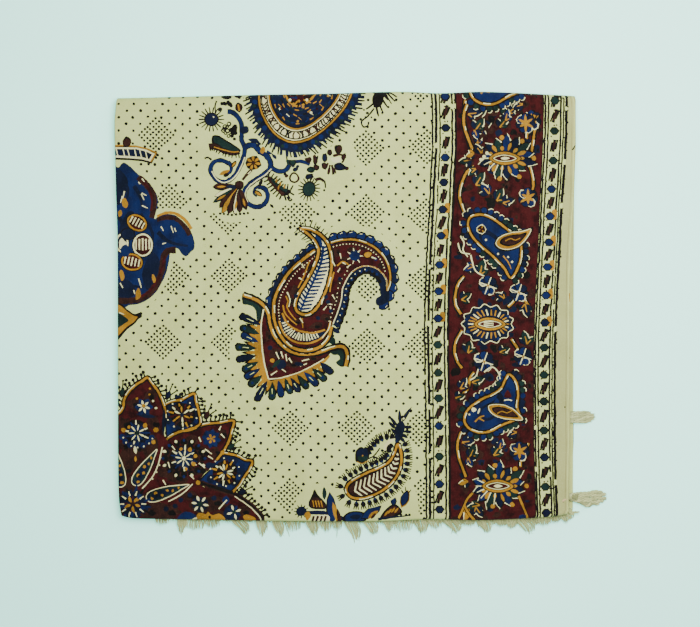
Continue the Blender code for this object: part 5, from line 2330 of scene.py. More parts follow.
@dataclass
class FloweredBorder:
    """The madder border: two guard bands, and paisleys and palmettes on a vine between."""

    # y, the madder's left edge, its right edge and the spacing of the right guard's lines
    edges: Course = Course(
        (
            (-330.0, 455.0, 541.0, 0.98), (40.0, 456.0, 543.2, 1.0), (96.0, 456.4, 543.4, 1.0),
            (145.0, 457.0, 542.2, 1.0), (182.0, 455.0, 540.4, 0.98), (206.0, 454.2, 539.2, 0.95),
            (243.0, 451.8, 537.8, 0.94), (300.0, 449.6, 534.8, 0.93), (345.0, 449.0, 533.4, 0.92),
            (400.0, 450.0, 533.2, 0.91), (450.0, 450.6, 533.6, 0.91), (500.0, 450.8, 535.0, 0.92),
            (530.0, 451.0, 536.4, 0.93)
        )
    )
    top: float = -322.0
    bottom: float = 528.0
    repeat: float = 328.0

    def left_at(self, y: float) -> float:
        """The madder's left edge."""
        return self.edges.at(y, 1)

    def right_at(self, y: float, out: float) -> float:
        """A place in the right guard band."""
        return self.edges.at(y, 2) + out * self.edges.at(y, 3)

    def guard_line(
        self, block: BlockPrint, at: float, right: bool, width: float, rough: float
    ) -> None:
        """Presses one long line, uneven and broken as from a worn block.

        Args:
            block: The print that takes it.
            at: How far right it lies, in squares.
            right: Whether it follows the right edge of the border.
            width: Its width, in squares.
            rough: How far it wanders, in squares.
        """
        line: list[Spot] = []
        y = self.top
        while y < self.bottom:
            x = self.right_at(y, at) if right else self.left_at(y) + at
            line.append((x + block.chance.uniform(-rough, rough), y))
            y += block.chance.uniform(2.6, 5.0)
            if y > 60 and block.chance.random() < 0.03 and len(line) > 2:
                block.ribbon(BLACK, line, width, 1.0)
                line = []
                y += 0.6
            if y > 60 and block.chance.random() < 0.4:
                stray = block.chance.choice((-1.0, 1.0)) * width * 0.5
                block.dot(BLACK, x + stray, y, block.chance.uniform(0.6, 1.1), 5)
        if len(line) > 1:
            block.ribbon(BLACK, line, width, 1.0)

    def ground(self, block: BlockPrint) -> None:
        """Presses the madder field with its black edge, and its darker clouds.

        Args:
            block: The print that takes it.
        """
        steps = [self.top + (self.bottom - self.top) * k / 100 for k in range(101)]
        left = [(self.left_at(y), y) for y in steps]
        right = [(self.edges.at(y, 2), y) for y in reversed(steps)]
        block.shape(BLACK, [(x - 0.9, y) for x, y in left] + [(x + 0.9, y) for x, y in right])
        block.shape(MADDER, left + right)
        for turn in range(430):
            y = block.chance.uniform(self.top, self.bottom)
            x = block.chance.uniform(self.left_at(y) + 4, self.edges.at(y, 2) - 4)
            reach = block.chance.uniform(2.2, 6.0)
            if y < 60 and turn % 3:
                continue
            ink = (BROWN, BROWN, BLACK, NIGHT)[turn % 4]
            block.blot(ink, x, y, reach, reach * block.chance.uniform(0.5, 1.2))
            if turn % 3 == 0:
                block.blot(BLACK, x + 1, y + 1, 0.4 * reach, 0.5 * reach)

    def guards(self, block: BlockPrint) -> None:
        """Presses the two guard bands: lines, lozenges and slanting dashes.

        Args:
            block: The print that takes it.
        """
        self.hem(block)
        for at, width, rough in (
            (-24.4, 1.4, 0.5), (-20.8, 2.2, 0.35), (-17.0, 1.0, 0.4), (-4.6, 1.5, 0.35), (-1.4, 1.5, 0.4)
        ):
            self.guard_line(block, at, False, width, rough)
        for at, width, rough in (
            (2.2, 1.6, 0.4), (5.4, 1.3, 0.35), (17.8, 1.5, 0.35), (20.6, 1.1, 0.3), (23.4, 2.7, 0.35)
        ):
            self.guard_line(block, at, True, width, rough)
        lozenges = (
            96.5, 128, 157.7, 182.5, 209.8, 235.9, 265, 291.3, 318.7, 345, 372.9, 398.3, 426.2, 456.6,
            484.2, 509.7
        )
        inks = (
            INDIGO, NIGHT, INDIGO, NIGHT, NIGHT, INDIGO, INDIGO, INDIGO, INDIGO, GREEN, GREEN, GREEN,
            INDIGO, GREEN, INDIGO, NIGHT
        )
        right = (
            100.8, 131, 160.7, 189.2, 216.5, 242.5, 267.1, 295.5, 322.9, 347.6, 375, 401.6, 430.5, 457.6,
            486.9, 512.9
        )
        right_inks = (
            GREEN, GREEN, GREEN, INDIGO, INDIGO, INDIGO, INDIGO, INDIGO, NIGHT, GREEN, GREEN, GREEN,
            GREEN, NIGHT, GREEN, NIGHT
        )
        for places, colours, side in ((lozenges, inks, False), (right, right_inks, True)):
            spots = [(y - 412.0, ink) for y, ink in zip(places, colours)]
            spots += list(zip(places, colours))
            for index, (y, ink) in enumerate(spots):
                x = self.right_at(y, 11.8) if side else self.left_at(y) - 11.2
                if 200 < y < 325:
                    block.blob(
                        OCHRE, ((x + 2, y - 5.6), (x + 6.4, y - 6.4), (x + 6.8, y + 1.6), (x + 3, y + 3))
                    )
                rim = (
                    (x - 5.2, y), (x - 2.6, y - 3.9), (x + 1.6, y - 4.2), (x + 5.2, y - 0.4),
                    (x + 2.2, y + 3.8), (x - 1.8, y + 4.0)
                )
                block.press(BLACK, rim)
                block.press(ink, scaled(rim, (x, y), 0.78, 0.78))
                if index + 1 == len(spots):
                    continue
                gap = spots[index + 1][0] - y
                if gap > 60:
                    continue
                half = y + gap / 2
                hx = self.right_at(half, 11.8) if side else self.left_at(half) - 11.2
                lean = block.chance.uniform(0.8, 2.0)
                for k in (-1, 1, 0):
                    tall = (6.6 if k == 0 else 4.8) * block.chance.uniform(0.85, 1.1)
                    mx, my = hx + 2.6 * k, half - 1.2 * k
                    ends = ((mx + lean, my - tall), (mx - lean, my + tall))
                    block.stroke(BLACK, ends, 3.4 if k == 0 else 1.7, 0.8)
                    if k == 0:
                        inner = ((mx + 0.7 * lean, my - 0.7 * tall), (mx - 0.7 * lean, my + 0.7 * tall))
                        block.stroke(BROWN, inner, 2.2, 0.8)
                block.dot(BLACK, hx - 3.8 + lean, half - 9.4, 0.9, 5)
                block.dot(BLACK, hx + 3.8 - lean, half + 9.2, 0.9, 5)
                block.dot(MADDER, hx - 0.6, half + 9.4, 1.0, 5)

    def hem(self, block: BlockPrint) -> None:
        """Presses the duller plain margin, with a darker line of painted shade and a lighter line of
        painted highlight along its rolled hem.

        Args:
            block: The print that takes it.
        """
        steps = [self.top + (self.bottom - self.top) * k / 90 for k in range(91)]
        inner = [(self.right_at(y, 24.4), y) for y in steps]
        block.shape(HEM, inner + [(640.0, y) for y in reversed(steps)])
        # Painted shade and highlight: the darker line stands for the shade where the hem steps down, the
        # lighter ground line for the lit ridge of its roll.
        for inset, ink, width in ((4.6, SEAM, 0.7), (2.4, GROUND, 0.9)):
            line = []
            for y in steps:
                held = clamp((y - 80) / 440) * 440 + 80
                edge = PAPER_X + RIGHT_EDGES.at((PAPER_Y - held) * SQUARE, 1 + TOP_LAYER) / SQUARE
                line.append((edge - inset + block.chance.uniform(-0.25, 0.25), y))
            block.ribbon(ink, line, width, 1.0)
        for x, y, radius in ((565, 407, 0.9), (571.0, 351, 0.6), (569.8, 358, 0.6), (563.4, 502, 0.7)):
            block.dot(BLACK, x, y, radius, 5)
        block.stroke(OCHRE, ((569.4, 293), (569.8, 302)), 1.3, 0.4)
        block.stroke(BLACK, ((572.4, 150), (575.6, 145)), 1.2, 0.6)

    def eye_palmette(self, block: BlockPrint, x: float, y: float, rays: bool) -> None:
        """Presses a palmette round an eye-shaped heart.

        Args:
            block: The print that takes it.
            x: How far right its middle lies, in squares.
            y: How far down its middle lies, in squares.
            rays: Whether rays stand round its heart, and not petals.
        """
        if rays:
            rim = [
                (
                    x - 2 + 25 * math.cos(k * math.tau / 26) * (1.06 if k % 2 else 0.94),
                    y + 18.6 * math.sin(k * math.tau / 26) * (1.08 if k % 2 else 0.92),
                )
                for k in range(26)
            ]
            block.press(BLACK, rim)
            block.ring(PALE, rim, 0.9)
            block.press(NIGHT, [(x - 2 + (px - x + 2) * 0.93, y + (py - y) * 0.92) for px, py in rim])
            for k in range(26):
                a = k * math.tau / 26
                start = (x + 14.4 * math.cos(a), y + 8.6 * math.sin(a))
                end = (x - 1 + 20.6 * math.cos(a), y + 14.6 * math.sin(a))
                block.stroke((OCHRE, PALE, OCHRE)[k % 3], (start, end), 1.7, 0.7)
            for k in range(8):
                a = k * math.tau / 8 + 0.3
                block.dot(INDIGO, x - 2 + 22.6 * math.cos(a), y + 16.4 * math.sin(a), 1.8, 6)
        else:
            for k in range(14):
                a = math.radians(-165 + 330 * k / 13)
                reach = 25 + 3 * (k % 2)
                reach *= block.chance.uniform(0.88, 1.1)
                tip = (x + 2 + reach * math.cos(a), y + 0.82 * reach * math.sin(a))
                root = (x + 8 * math.cos(a), y + 4 * math.sin(a))
                far = (tip[0] + 1.4 * math.cos(a), tip[1] + 1.4 * math.sin(a))
                block.petal(BLACK, root, far, 10.0, 0.66)
                cx, cy = root[0] * 0.3 + tip[0] * 0.7, root[1] * 0.3 + tip[1] * 0.7
                side = (cx - 4.2 * math.sin(a), cy + 4.2 * math.cos(a))
                block.stroke(PALE, (side, far), 1.3, 0.5)
                block.petal((INDIGO, NIGHT, GREEN)[k % 3], root, tip, 7.0, 0.66)
            for k in range(13):
                a = math.radians(-152 + 304 * k / 12)
                near, far = (13, 7.4), (19 + 3.6 * (k % 2), 12.6 + 3.6 * (k % 2))
                start = (x + near[0] * math.cos(a), y + near[1] * math.sin(a))
                end = (x + 1 + far[0] * math.cos(a), y + far[1] * math.sin(a))
                block.petal(BLACK, start, end, 4.6, 0.6)
                block.petal(OCHRE, start, end, 3.3 + 0.5 * (k % 3), 0.6)
            for a in (-100, -55, 62, 105, 0):
                a = math.radians(a)
                block.dot(OCHRE, x + 2 + 27 * math.cos(a), y + 21 * math.sin(a), 2.5, 7)
            for k in range(6):
                a = math.radians(100 + 20 * k)
                start = (x + 13 * math.cos(a), y + 7 * math.sin(a))
                end = (x + 22 * math.cos(a), y + 19 * math.sin(a))
                block.stroke(PALE, (start, end), 1.3, 0.6)
        eye = [
            (x - 15.4, y), (x - 8, y - 5.2), (x + 1, y - 6.4), (x + 10, y - 4.0), (x + 16, y + 0.6),
            (x + 8, y + 5.2), (x - 1, y + 6.4), (x - 9, y + 4.6)
        ]
        block.blob(BLACK, scaled(eye, (x, y), 1.07, 1.14))
        block.blob(OCHRE, eye)
        block.blob(BLACK, scaled(eye, (x, y), 0.82, 0.66))
        block.blob(PALE, scaled(eye, (x, y), 0.75, 0.56))
        block.blob(MADDER, scaled(eye, (x, y), 0.66, 0.44))
        if rays:
            for k in (-1.6, 0.2, 2.0):
                block.stroke(PALE, ((x - 6, y + k), (x + 4, y + k - 1)), 1.2, 0.6)
        else:
            block.blob(PALE, [(x - 4, y), (x, y - 1.6), (x + 5, y), (x, y + 1.6)])

    def blossom(self, block: BlockPrint, x: float, y: float, radius: float, cross: bool) -> None:
        """Presses a blue flower with an ochre star or a cream cross.

        Args:
            block: The print that takes it.
            x: How far right its middle lies, in squares.
            y: How far down its middle lies, in squares.
            radius: How far it reaches from its middle, in squares.
            cross: Whether its heart is a cream cross, and not an ochre star.
        """
        for k in range(7):
            a = k * math.tau / 7 + 0.2
            px, py = x + 0.66 * radius * math.cos(a), y + 0.66 * radius * math.sin(a)
            block.dot(PALE if k % 3 == 1 else BLACK, px, py, 0.44 * radius + 0.7, 7)
            block.dot(INDIGO if k % 3 else NIGHT, px, py, 0.42 * radius, 7)
        if cross:
            for a in (20, 110, 200, 290):
                dx, dy = math.cos(math.radians(a)), math.sin(math.radians(a))
                block.stroke(PALE, ((x, y), (x + radius * dx, y + radius * dy)), 1.3, 0.7)
            block.dot(OCHRE, x, y, 1.3, 5)
        else:
            for k in range(6):
                a = k * math.tau / 6 + 0.5
                reach = radius * block.chance.uniform(0.7, 1.05)
                tip = (x + reach * math.cos(a), y + reach * math.sin(a))
                block.petal(OCHRE, (x, y), tip, 2.9, 0.35)
            block.dot(OCHRE, x, y, 2.4, 7)

    def leaflet(
        self,
        block: BlockPrint,
        x: float,
        y: float,
        turn: float,
        ink: Ink,
        size: float = 1.0,
    ) -> None:
        """Presses a three-lobed leaf with ragged cream edges and an ochre rib.

        Args:
            block: The print that takes it.
            x: How far right its middle lies, in squares.
            y: How far down its middle lies, in squares.
            turn: How far it is turned, in degrees.
            ink: Its dye.
            size: Its size, as a share of the full one.
        """
        chance = block.chance
        block.blot(BROWN, x + 1, y + 1, 8.6 * size, 7.4 * size)
        a = math.radians(turn)
        root = (x - 6 * size * math.cos(a), y + 6 * size * math.sin(a))
        for index, (spread, reach, width) in enumerate(((-46, 8.4, 4.8), (42, 8.8, 5.0), (0, 12.8, 6.4))):
            a = math.radians(turn + spread + chance.uniform(-9, 9))
            dx, dy = math.cos(a), -math.sin(a)
            reach *= size * chance.uniform(0.9, 1.1)
            tip = (root[0] + reach * dx, root[1] + reach * dy)
            wide = width * size
            block.petal(BLACK, root, (tip[0] + dx, tip[1] + dy), wide + 1.8, 0.6)
            block.petal((ink, NIGHT, ink)[index], root, tip, wide, 0.6)
            side = 0.5 * wide * (-1 if index == 0 else 1)
            edge = [
                (root[0] + reach * t * dx - side * w * dy, root[1] + reach * t * dy + side * w * dx)
                for t, w in ((0.45, 1.1), (0.72, 1.0), (1.05, 0.2))
            ]
            block.stroke(PALE, edge, 1.2, 0.5)
            if index != 1:
                middle = (root[0] + 0.62 * reach * dx, root[1] + 0.62 * reach * dy)
                block.stroke(OCHRE, (root, middle), 1.7, 0.5)

    def small_paisley(
        self, block: BlockPrint, drop: Sequence[Spot], curl: Sequence[Spot], beads: bool
    ) -> None:
        """Presses a blue paisley with a beaded edge and a madder leaf in its curl.

        Args:
            block: The print that takes it.
            drop: Its outline.
            curl: The outline of the leaf in it.
            beads: Whether short cream strokes stand round it.
        """
        mx = sum(x for x, _ in drop) / len(drop)
        my = sum(y for _, y in drop) / len(drop)
        around = list(drop)
        if sum(a[0] * b[1] - b[0] * a[1] for a, b in zip(around, around[1:] + around[:1])) < 0:
            around.reverse()
        block.beads(BLACK, around, 3.9, 5.6, 4.6, True)
        for (x, y), (tx, ty) in block.paces(around, 5.6, True):
            nx, ny = ty, -tx
            block.dot(block.chance.choice((NIGHT, INDIGO, GREEN)), x + 4.6 * nx, y + 4.6 * ny, 2.9, 7)
            if beads and block.chance.random() < 0.8:
                spots = [
                    (x + out * nx + way * tx, y + out * ny + way * ty)
                    for out, way in ((6.2, -2.6), (8.3, -0.8), (8.0, 1.8))
                ]
                block.stroke(PALE, spots, 1.1, 0.5)
        block.blob(BLACK, scaled(drop, (mx, my), 1.05, 1.05))
        block.blob(INDIGO, drop)
        block.blob(NIGHT, [(mx - 3 + (x - mx) * 0.5, my + 2 + (y - my) * 0.5) for x, y in drop])
        block.blob(INDIGO, [(mx - 4 + (x - mx) * 0.34, my + 3 + (y - my) * 0.34) for x, y in drop])
        block.edge(drop, 4.0, True)
        cx = sum(x for x, _ in curl) / len(curl)
        cy = sum(y for _, y in curl) / len(curl)
        block.blob(BLACK, scaled(curl, (cx, cy), 1.12, 1.2))
        block.blob(OCHRE, curl)
        block.ring(PALE, curl, 0.8)
        block.blob(BLACK, scaled(curl, (cx, cy), 0.78, 0.68))
        block.blob(BROWN, scaled(curl, (cx, cy), 0.66, 0.52))
        block.stroke(
            OCHRE, ((cx - 7, cy + 1.4), (cx - 2, cy - 1), (cx + 3, cy + 0.6), (cx + 8, cy - 1.6)), 1.2,
            0.7
        )

    def unit(self, block: BlockPrint) -> None:
        """Presses one repeat of the vine: two palmettes, two paisleys and what joins them.

        Args:
            block: The print that takes it.
        """
        for vine in (
            ((465.3, 100), (464.4, 110), (464, 121.4), (467, 135), (470, 146), (473, 154)),
            ((473, 165), (466, 173.6), (461.4, 184), (459.4, 196), (462.6, 208), (466, 216)),
            ((536, 113), (534.6, 131), (532.4, 146), (531, 158)),
            ((529.6, 166), (532.4, 176), (533.2, 187), (530, 195)),
            ((464, 276), (458, 284), (455, 297), (456, 306), (461, 314)),
            ((462, 330), (456, 341), (454.6, 352), (457.6, 362), (462, 368)),
            ((508, 307), (514, 301), (519, 292)), ((511, 339), (516, 346), (521.6, 355)),
            ((521, 294), (526, 302), (529, 306)),
            ((461, 432), (457.6, 443), (458.4, 456), (462.6, 468), (466, 477)),
            ((520.6, 467), (521.4, 457), (526, 449), (528.6, 443)),
            ((474, 372), (470, 378), (468, 388), (461, 396))
        ):
            block.edge(vine, 4.2)
        self.eye_palmette(block, 504.7, 158.3, False)
        self.eye_palmette(block, 489.6, 324.0, True)
        for x, y, radius, cross in (
            (531.5, 120, 9.0, False), (528, 197.6, 9.0, False), (518.7, 292.4, 8.6, True),
            (523, 356.6, 8.6, True), (484, 361.6, 9.6, True), (488, 285.6, 9.0, True),
            (519.3, 451.2, 9.2, False)
        ):
            self.blossom(block, x, y, radius, cross)
        for x, y, turn, ink, size in (
            (479.8, 114, 30, GREEN, 1.1), (483.4, 126, 20, NIGHT, 1.2), (478.6, 139, 70, INDIGO, 0.8),
            (506, 113.6, 120, GREEN, 1.1), (513, 110, 30, NIGHT, 0.8), (480, 180, 50, GREEN, 1.1),
            (484.6, 190, 140, INDIGO, 1.0), (500, 195, 60, GREEN, 1.1), (508, 201, 20, NIGHT, 0.9),
            (469.6, 268, 200, INDIGO, 0.8), (481, 268, 80, GREEN, 1.1), (466, 297, 30, GREEN, 0.9),
            (469, 347, 80, GREEN, 1.0), (504, 349.6, 30, GREEN, 0.8), (526, 338, 100, GREEN, 1.0),
            (526, 310, 280, NIGHT, 1.0), (477.6, 380, 20, GREEN, 1.0), (463, 384, 60, NIGHT, 0.9),
            (460, 396, 20, GREEN, 0.8), (468, 441, 10, NIGHT, 1.0), (473, 452, 60, GREEN, 1.1),
            (470.6, 462, 300, INDIGO, 0.8), (496.6, 450, 60, GREEN, 1.0), (501, 444, 70, INDIGO, 0.8),
            (466, 160.6, 190, GREEN, 0.9), (500, 296, 150, NIGHT, 0.8), (512, 434, 200, NIGHT, 0.8),
            (464, 483, 200, OCHRE, 0.7), (479, 149, 120, NIGHT, 0.8), (473, 172, 230, GREEN, 0.7)
        ):
            self.leaflet(block, x, y, turn, ink, size)
        for x, y in ((484, 156.5), (481, 159.6), (487, 153)):
            block.dot(PALE, x, y, 1.9, 6)
        self.small_paisley(
            block,
            (
                (470, 217.6), (478, 214.6), (487, 216), (497, 221.5), (508, 230), (519, 240),
                (521.4, 252), (518.6, 266), (511, 278), (504, 268), (494, 257.4), (482, 246.8),
                (472.6, 237), (468, 226)
            ),
            (
                (496, 243), (500, 237), (510, 233), (522, 231.4), (531, 229.4), (526, 239), (518, 246.4),
                (508, 249.4), (499, 247.6)
            ),
            True
        )
        block.dot(PALE, 481.4, 229.4, 5.0, 9)
        block.dot(BLACK, 481.4, 229.4, 4.0, 9)
        block.rosette(481.4, 229.4, 3.8, (OCHRE, MADDER), 6, MADDER)
        for x, y in ((486, 240), (498, 254), (512, 262), (508, 257)):
            block.dot(PALE, x, y, 1.2, 5)
        block.stroke(OCHRE, ((503, 256), (508, 262), (511, 269)), 1.6, 0.5)
        self.small_paisley(
            block,
            (
                (508.4, 374.6), (504.6, 381), (500.9, 388.3), (493, 394), (482, 399), (471.6, 406),
                (465.6, 413.2), (464.6, 421.9), (469.6, 428.6), (479.2, 432.4), (490, 431.2),
                (500.9, 425.4), (512, 421), (519.4, 417), (517, 406.7), (518, 395.8), (517.2, 385),
                (513, 377.4)
            ),
            (
                (488.4, 406.6), (494.6, 404.4), (505, 405.4), (515, 410.6), (522.6, 419.6), (512, 419.4),
                (501.6, 418), (492, 413.6)
            ),
            True
        )
        block.dot(PALE, 473.8, 409.6, 2.4, 8)
        block.dot(PALE, 469.4, 414.4, 1.0, 5)
        block.stroke(OCHRE, ((475, 422), (479, 417.6), (484, 415.6)), 1.8, 0.7)
        block.stroke(OCHRE, ((479, 418), (484, 421)), 1.8, 0.7)
        block.petal(PALE, (477.6, 414), (480, 408), 1.9)
        block.blob(MADDER, ((504, 397), (507.6, 390), (511.4, 397)))
        block.stroke(PALE, ((504, 400.4), (508, 399.6), (512, 400.6)), 1.2)
        for spots in (
            ((460.4, 236), (464, 243), (463, 250), (468, 257)), ((458, 243), (461, 252), (470, 254)),
            ((470.6, 255), (474, 268), (478, 273), (484, 276)), ((478, 369), (476, 376), (470, 380)),
            ((484, 372), (492, 367), (498, 372), (500, 379))
        ):
            block.stroke(PALE, spots, 1.4, 0.8)

    def draw(self, block: BlockPrint) -> None:
        """Presses the whole border, from the cloth's end to past the bottom fold.

        Args:
            block: The print that takes it.
        """
        self.ground(block)
        for turn in (0, 1, 2, -1):
            down = -self.repeat * turn
            if turn == -1:
                block.at(-3.4, self.repeat)
                self.eye_palmette(block, 501.0, 158.0, False)
                for x, y, turn_by, ink in (
                    (478, 179, 200, GREEN), (470, 186, 240, OCHRE), (482, 184, 300, NIGHT)
                ):
                    self.leaflet(block, x, y, turn_by, ink, 0.9)
                for vine in (
                    ((476, 165), (470, 172), (466, 182), (462, 190)),
                    ((468, 178), (474, 188), (482, 194)), ((522, 168), (528, 182), (534, 196))
                ):
                    block.stroke(BLACK, vine, 3.6)
                    block.stroke(OCHRE, vine, 2.2)
                block.dot(INDIGO, 526, 190, 4.0)
                block.home()
                continue
            shift = self.left_at(400.0 + down) - self.left_at(400.0)
            block.at(shift, down)
            block.finest = 2.6 if turn else 0.0
            self.unit(block)
        block.finest = 0.0
        block.home()
        self.guards(block)


# The cutting


@dataclass
class FlatCut:
    """The flat cloth cut into triangles along lines and the outlines of patches."""

    spots: list[Spot]
    faces: list[tuple[int, ...]]
    covers: list[list[int]]
    # For each piece of a line: its two ends, and the number of the line
    pieces: list[tuple[int, int, int]]

    @classmethod
    def make(
        cls,
        loose: Sequence[Spot],
        lines: Sequence[Sequence[Spot]],
        patches: Sequence[Sequence[Spot]] = (),
    ) -> "FlatCut":
        """Cuts the cloth.

        Args:
            loose: Points that it passes through.
            lines: Lines whose edges it keeps.
            patches: Closed outlines whose edges it keeps.

        Returns:
            The triangles, with the patches that cover each.
        """
        scale = 1000.0
        points: list[Vector] = []
        numbers: dict[tuple[int, int], int] = {}

        def number(spot: Spot) -> int:
            """The number of a point, which is added if it is new."""
            key = (round(spot[0] * 2e6), round(spot[1] * 2e6))
            if key not in numbers:
                numbers[key] = len(points)
                points.append(Vector((spot[0] * scale, spot[1] * scale)))
            return numbers[key]

        for spot in loose:
            number(spot)
        edges, sources = [], []
        for source, line in enumerate(lines):
            ids = [number(spot) for spot in line]
            for one, other in zip(ids, ids[1:]):
                if one != other:
                    edges.append((one, other))
                    sources.append(source)
        faces, owners = [], []
        for owner, patch in enumerate(patches):
            ids = []
            for spot in cls.turned(patch):
                one = number(spot)
                if not ids or one != ids[-1]:
                    ids.append(one)
            if len(ids) > 1 and ids[0] == ids[-1]:
                ids.pop()
            if len(set(ids)) >= 3:
                faces.append(ids)
                owners.append(owner)
        out = geometry.delaunay_2d_cdt(points, edges, faces, 0, 1e-4, True)
        spots = [(p.x / scale, p.y / scale) for p in out[0]]
        covers = [[owners[one] for one in cover] for cover in out[5]]
        pieces = []
        if not patches:
            for (one, other), origins in zip(out[1], out[4]):
                for origin in origins:
                    a, b = points[edges[origin][0]], points[edges[origin][1]]
                    dx, dy = spots[other][0] - spots[one][0], spots[other][1] - spots[one][1]
                    ahead = dx * (b.x - a.x) + dy * (b.y - a.y) > 0
                    ends = (one, other) if ahead else (other, one)
                    pieces.append((*ends, sources[origin]))
        return cls(spots, [tuple(face) for face in out[2]], covers, pieces)

    @staticmethod
    def turned(patch: Sequence[Spot]) -> list[Spot]:
        """Starts an outline at its leftmost point and turns it anticlockwise there.

        Args:
            patch: The outline.

        Returns:
            The same outline, turned.
        """
        count = len(patch)
        first = min(range(count), key=lambda k: patch[k])
        ordered = [patch[(first + k) % count] for k in range(count)]
        x, y = ordered[0]
        (ax, ay), (bx, by) = ordered[1], ordered[-1]
        if (ax - x) * (by - y) - (ay - y) * (bx - x) < 0:
            ordered = ordered[:1] + list(reversed(ordered[1:]))
        return ordered


@dataclass
class InkMap:
    """The print as it is seen, where each place shows the ink that was pressed last."""

    cut: FlatCut
    inks: list[Ink]
    speck: float = 9e-8
    slack: float = 0.00009

    @classmethod
    def press(
        cls,
        patches: Sequence[Sequence[Spot]],
        inks: Sequence[Ink],
        frame_line: Sequence[Spot],
    ) -> "InkMap":
        """Presses the patches one over another.

        Args:
            patches: Their outlines on the flat cloth.
            inks: Their inks.
            frame_line: The cloth's own outline.

        Returns:
            The map, with its smallest specks absorbed.
        """
        kept = []
        for index, patch in enumerate(patches):
            area = round_way = 0.0
            for (x0, y0), (x1, y1) in zip(patch, list(patch[1:]) + [patch[0]]):
                area += x0 * y1 - x1 * y0
                round_way += math.hypot(x1 - x0, y1 - y0)
            if abs(area) > 2e-6 * round_way:
                kept.append(index)
        cut = FlatCut.make([], [frame_line], [patches[index] for index in kept])
        boxes = []
        for index in kept:
            xs, ys = [x for x, _ in patches[index]], [y for _, y in patches[index]]
            boxes.append((min(xs), max(xs), min(ys), max(ys)))
        middles = []
        for a, b, c in cut.faces:
            (ax, ay), (bx, by), (cx, cy) = cut.spots[a], cut.spots[b], cut.spots[c]
            middles.append(((ax + bx + cx) / 3, (ay + by + cy) / 3))

        def boxed(one: int, x: float, y: float) -> bool:
            """Whether a place lies in the box round a patch."""
            left, right, low, high = boxes[one]
            return left - 1e-6 <= x <= right + 1e-6 and low - 1e-6 <= y <= high + 1e-6

        loose_ones = set()
        for (x, y), cover in zip(middles, cut.covers):
            loose_ones.update(one for one in cover if not boxed(one, x, y))
        found = []
        for (x, y), cover in zip(middles, cut.covers):
            ink = Ink.GROUND
            for one in sorted(cover, reverse=True):
                if boxed(one, x, y) and (one not in loose_ones or cls.holds(patches[kept[one]], x, y)):
                    ink = inks[kept[one]]
                    break
            found.append(ink)
        LOG.info("ink map: %d faces, %d patches, %d loose", len(found), len(kept), len(loose_ones))
        made = cls(cut, found)
        made.absorb()
        return made

    @staticmethod
    def holds(patch: Sequence[Spot], x: float, y: float) -> bool:
        """Whether a patch covers a place.

        Args:
            patch: Its outline.
            x: How far along the cloth the place lies.
            y: How far across it.

        Returns:
            Whether it does.
        """
        inside = False
        x0, y0 = patch[-1]
        for x1, y1 in patch:
            if (y0 > y) != (y1 > y) and x < x0 + (x1 - x0) * (y - y0) / (y1 - y0):
                inside = not inside
            x0, y0 = x1, y1
        return inside

    def absorb(self) -> None:
        """Gives each speck that is too small to see the ink that lies round most of it."""
        faces, spots, inks = self.cut.faces, self.cut.spots, self.inks
        count = len(spots)
        self.beside = {
            face[k] * count + face[(k + 1) % 3]: index for index,
            face in enumerate(faces) for k in range(3)
        }
        beside = self.beside
        done = [False] * len(faces)
        for seed in range(len(faces)):
            if done[seed]:
                continue
            ink = inks[seed]
            done[seed] = True
            members, area = [seed], 0.0
            around: dict[Ink, float] = {}
            for index in members:
                face = faces[index]
                (ax, ay), (bx, by), (cx, cy) = (spots[one] for one in face)
                area += ((bx - ax) * (cy - ay) - (by - ay) * (cx - ax)) / 2
                for k in range(3):
                    a, b = face[k], face[(k + 1) % 3]
                    other = beside.get(b * count + a)
                    if other is None:
                        continue
                    if inks[other] is ink:
                        if not done[other]:
                            done[other] = True
                            members.append(other)
                    else:
                        length = math.dist(spots[a], spots[b])
                        around[inks[other]] = around.get(inks[other], 0.0) + length
            if area < self.speck and around:
                most = max(around, key=around.get)
                for index in members:
                    inks[index] = most

    def borders(self) -> list[tuple[list[Spot], Ink, Ink]]:
        """Finds the lines that part two inks.

        Returns:
            Each line's points, thinned, with the ink on its left and on its right.
        """
        spots, inks, beside = self.cut.spots, self.inks, self.beside
        count = len(spots)
        joined: dict[int, list[int]] = {}
        for key, left in beside.items():
            a, b = divmod(key, count)
            right = beside.get(b * count + a)
            if right is not None and a < b and inks[left] is not inks[right]:
                joined.setdefault(a, []).append(b)
                joined.setdefault(b, []).append(a)
        used = set()
        lines = []

        def walk(start: int, after: int) -> None:
            """Follows a border from its first two points to its end."""
            if (start, after) in used:
                return
            chain = [start, after]
            used.update(((start, after), (after, start)))
            while chain[-1] != start and len(joined[chain[-1]]) == 2:
                one, other = joined[chain[-1]]
                onward = other if one == chain[-2] else one
                used.update(((chain[-1], onward), (onward, chain[-1])))
                chain.append(onward)
            left = inks[beside[start * count + after]]
            right = inks[beside[after * count + start]]
            line = self.thinned([spots[one] for one in chain])
            if len(line) > 3 or line[0] != line[-1]:
                lines.append((line, left, right))

        for start in [one for one, near in joined.items() if len(near) != 2]:
            for after in joined[start]:
                walk(start, after)
        for start in joined:
            for after in joined[start]:
                walk(start, after)
        return lines

    def thinned(self, line: list[Spot]) -> list[Spot]:
        """Leaves out the points that a line hardly needs, but never its ends.

        Args:
            line: The line.

        Returns:
            The points that stay.
        """
        if line[0] == line[-1]:
            far = max(range(len(line)), key=lambda k: math.dist(line[k], line[0]))
            return self.reduced(line[: far + 1])[:-1] + self.reduced(line[far:])
        return self.reduced(line)

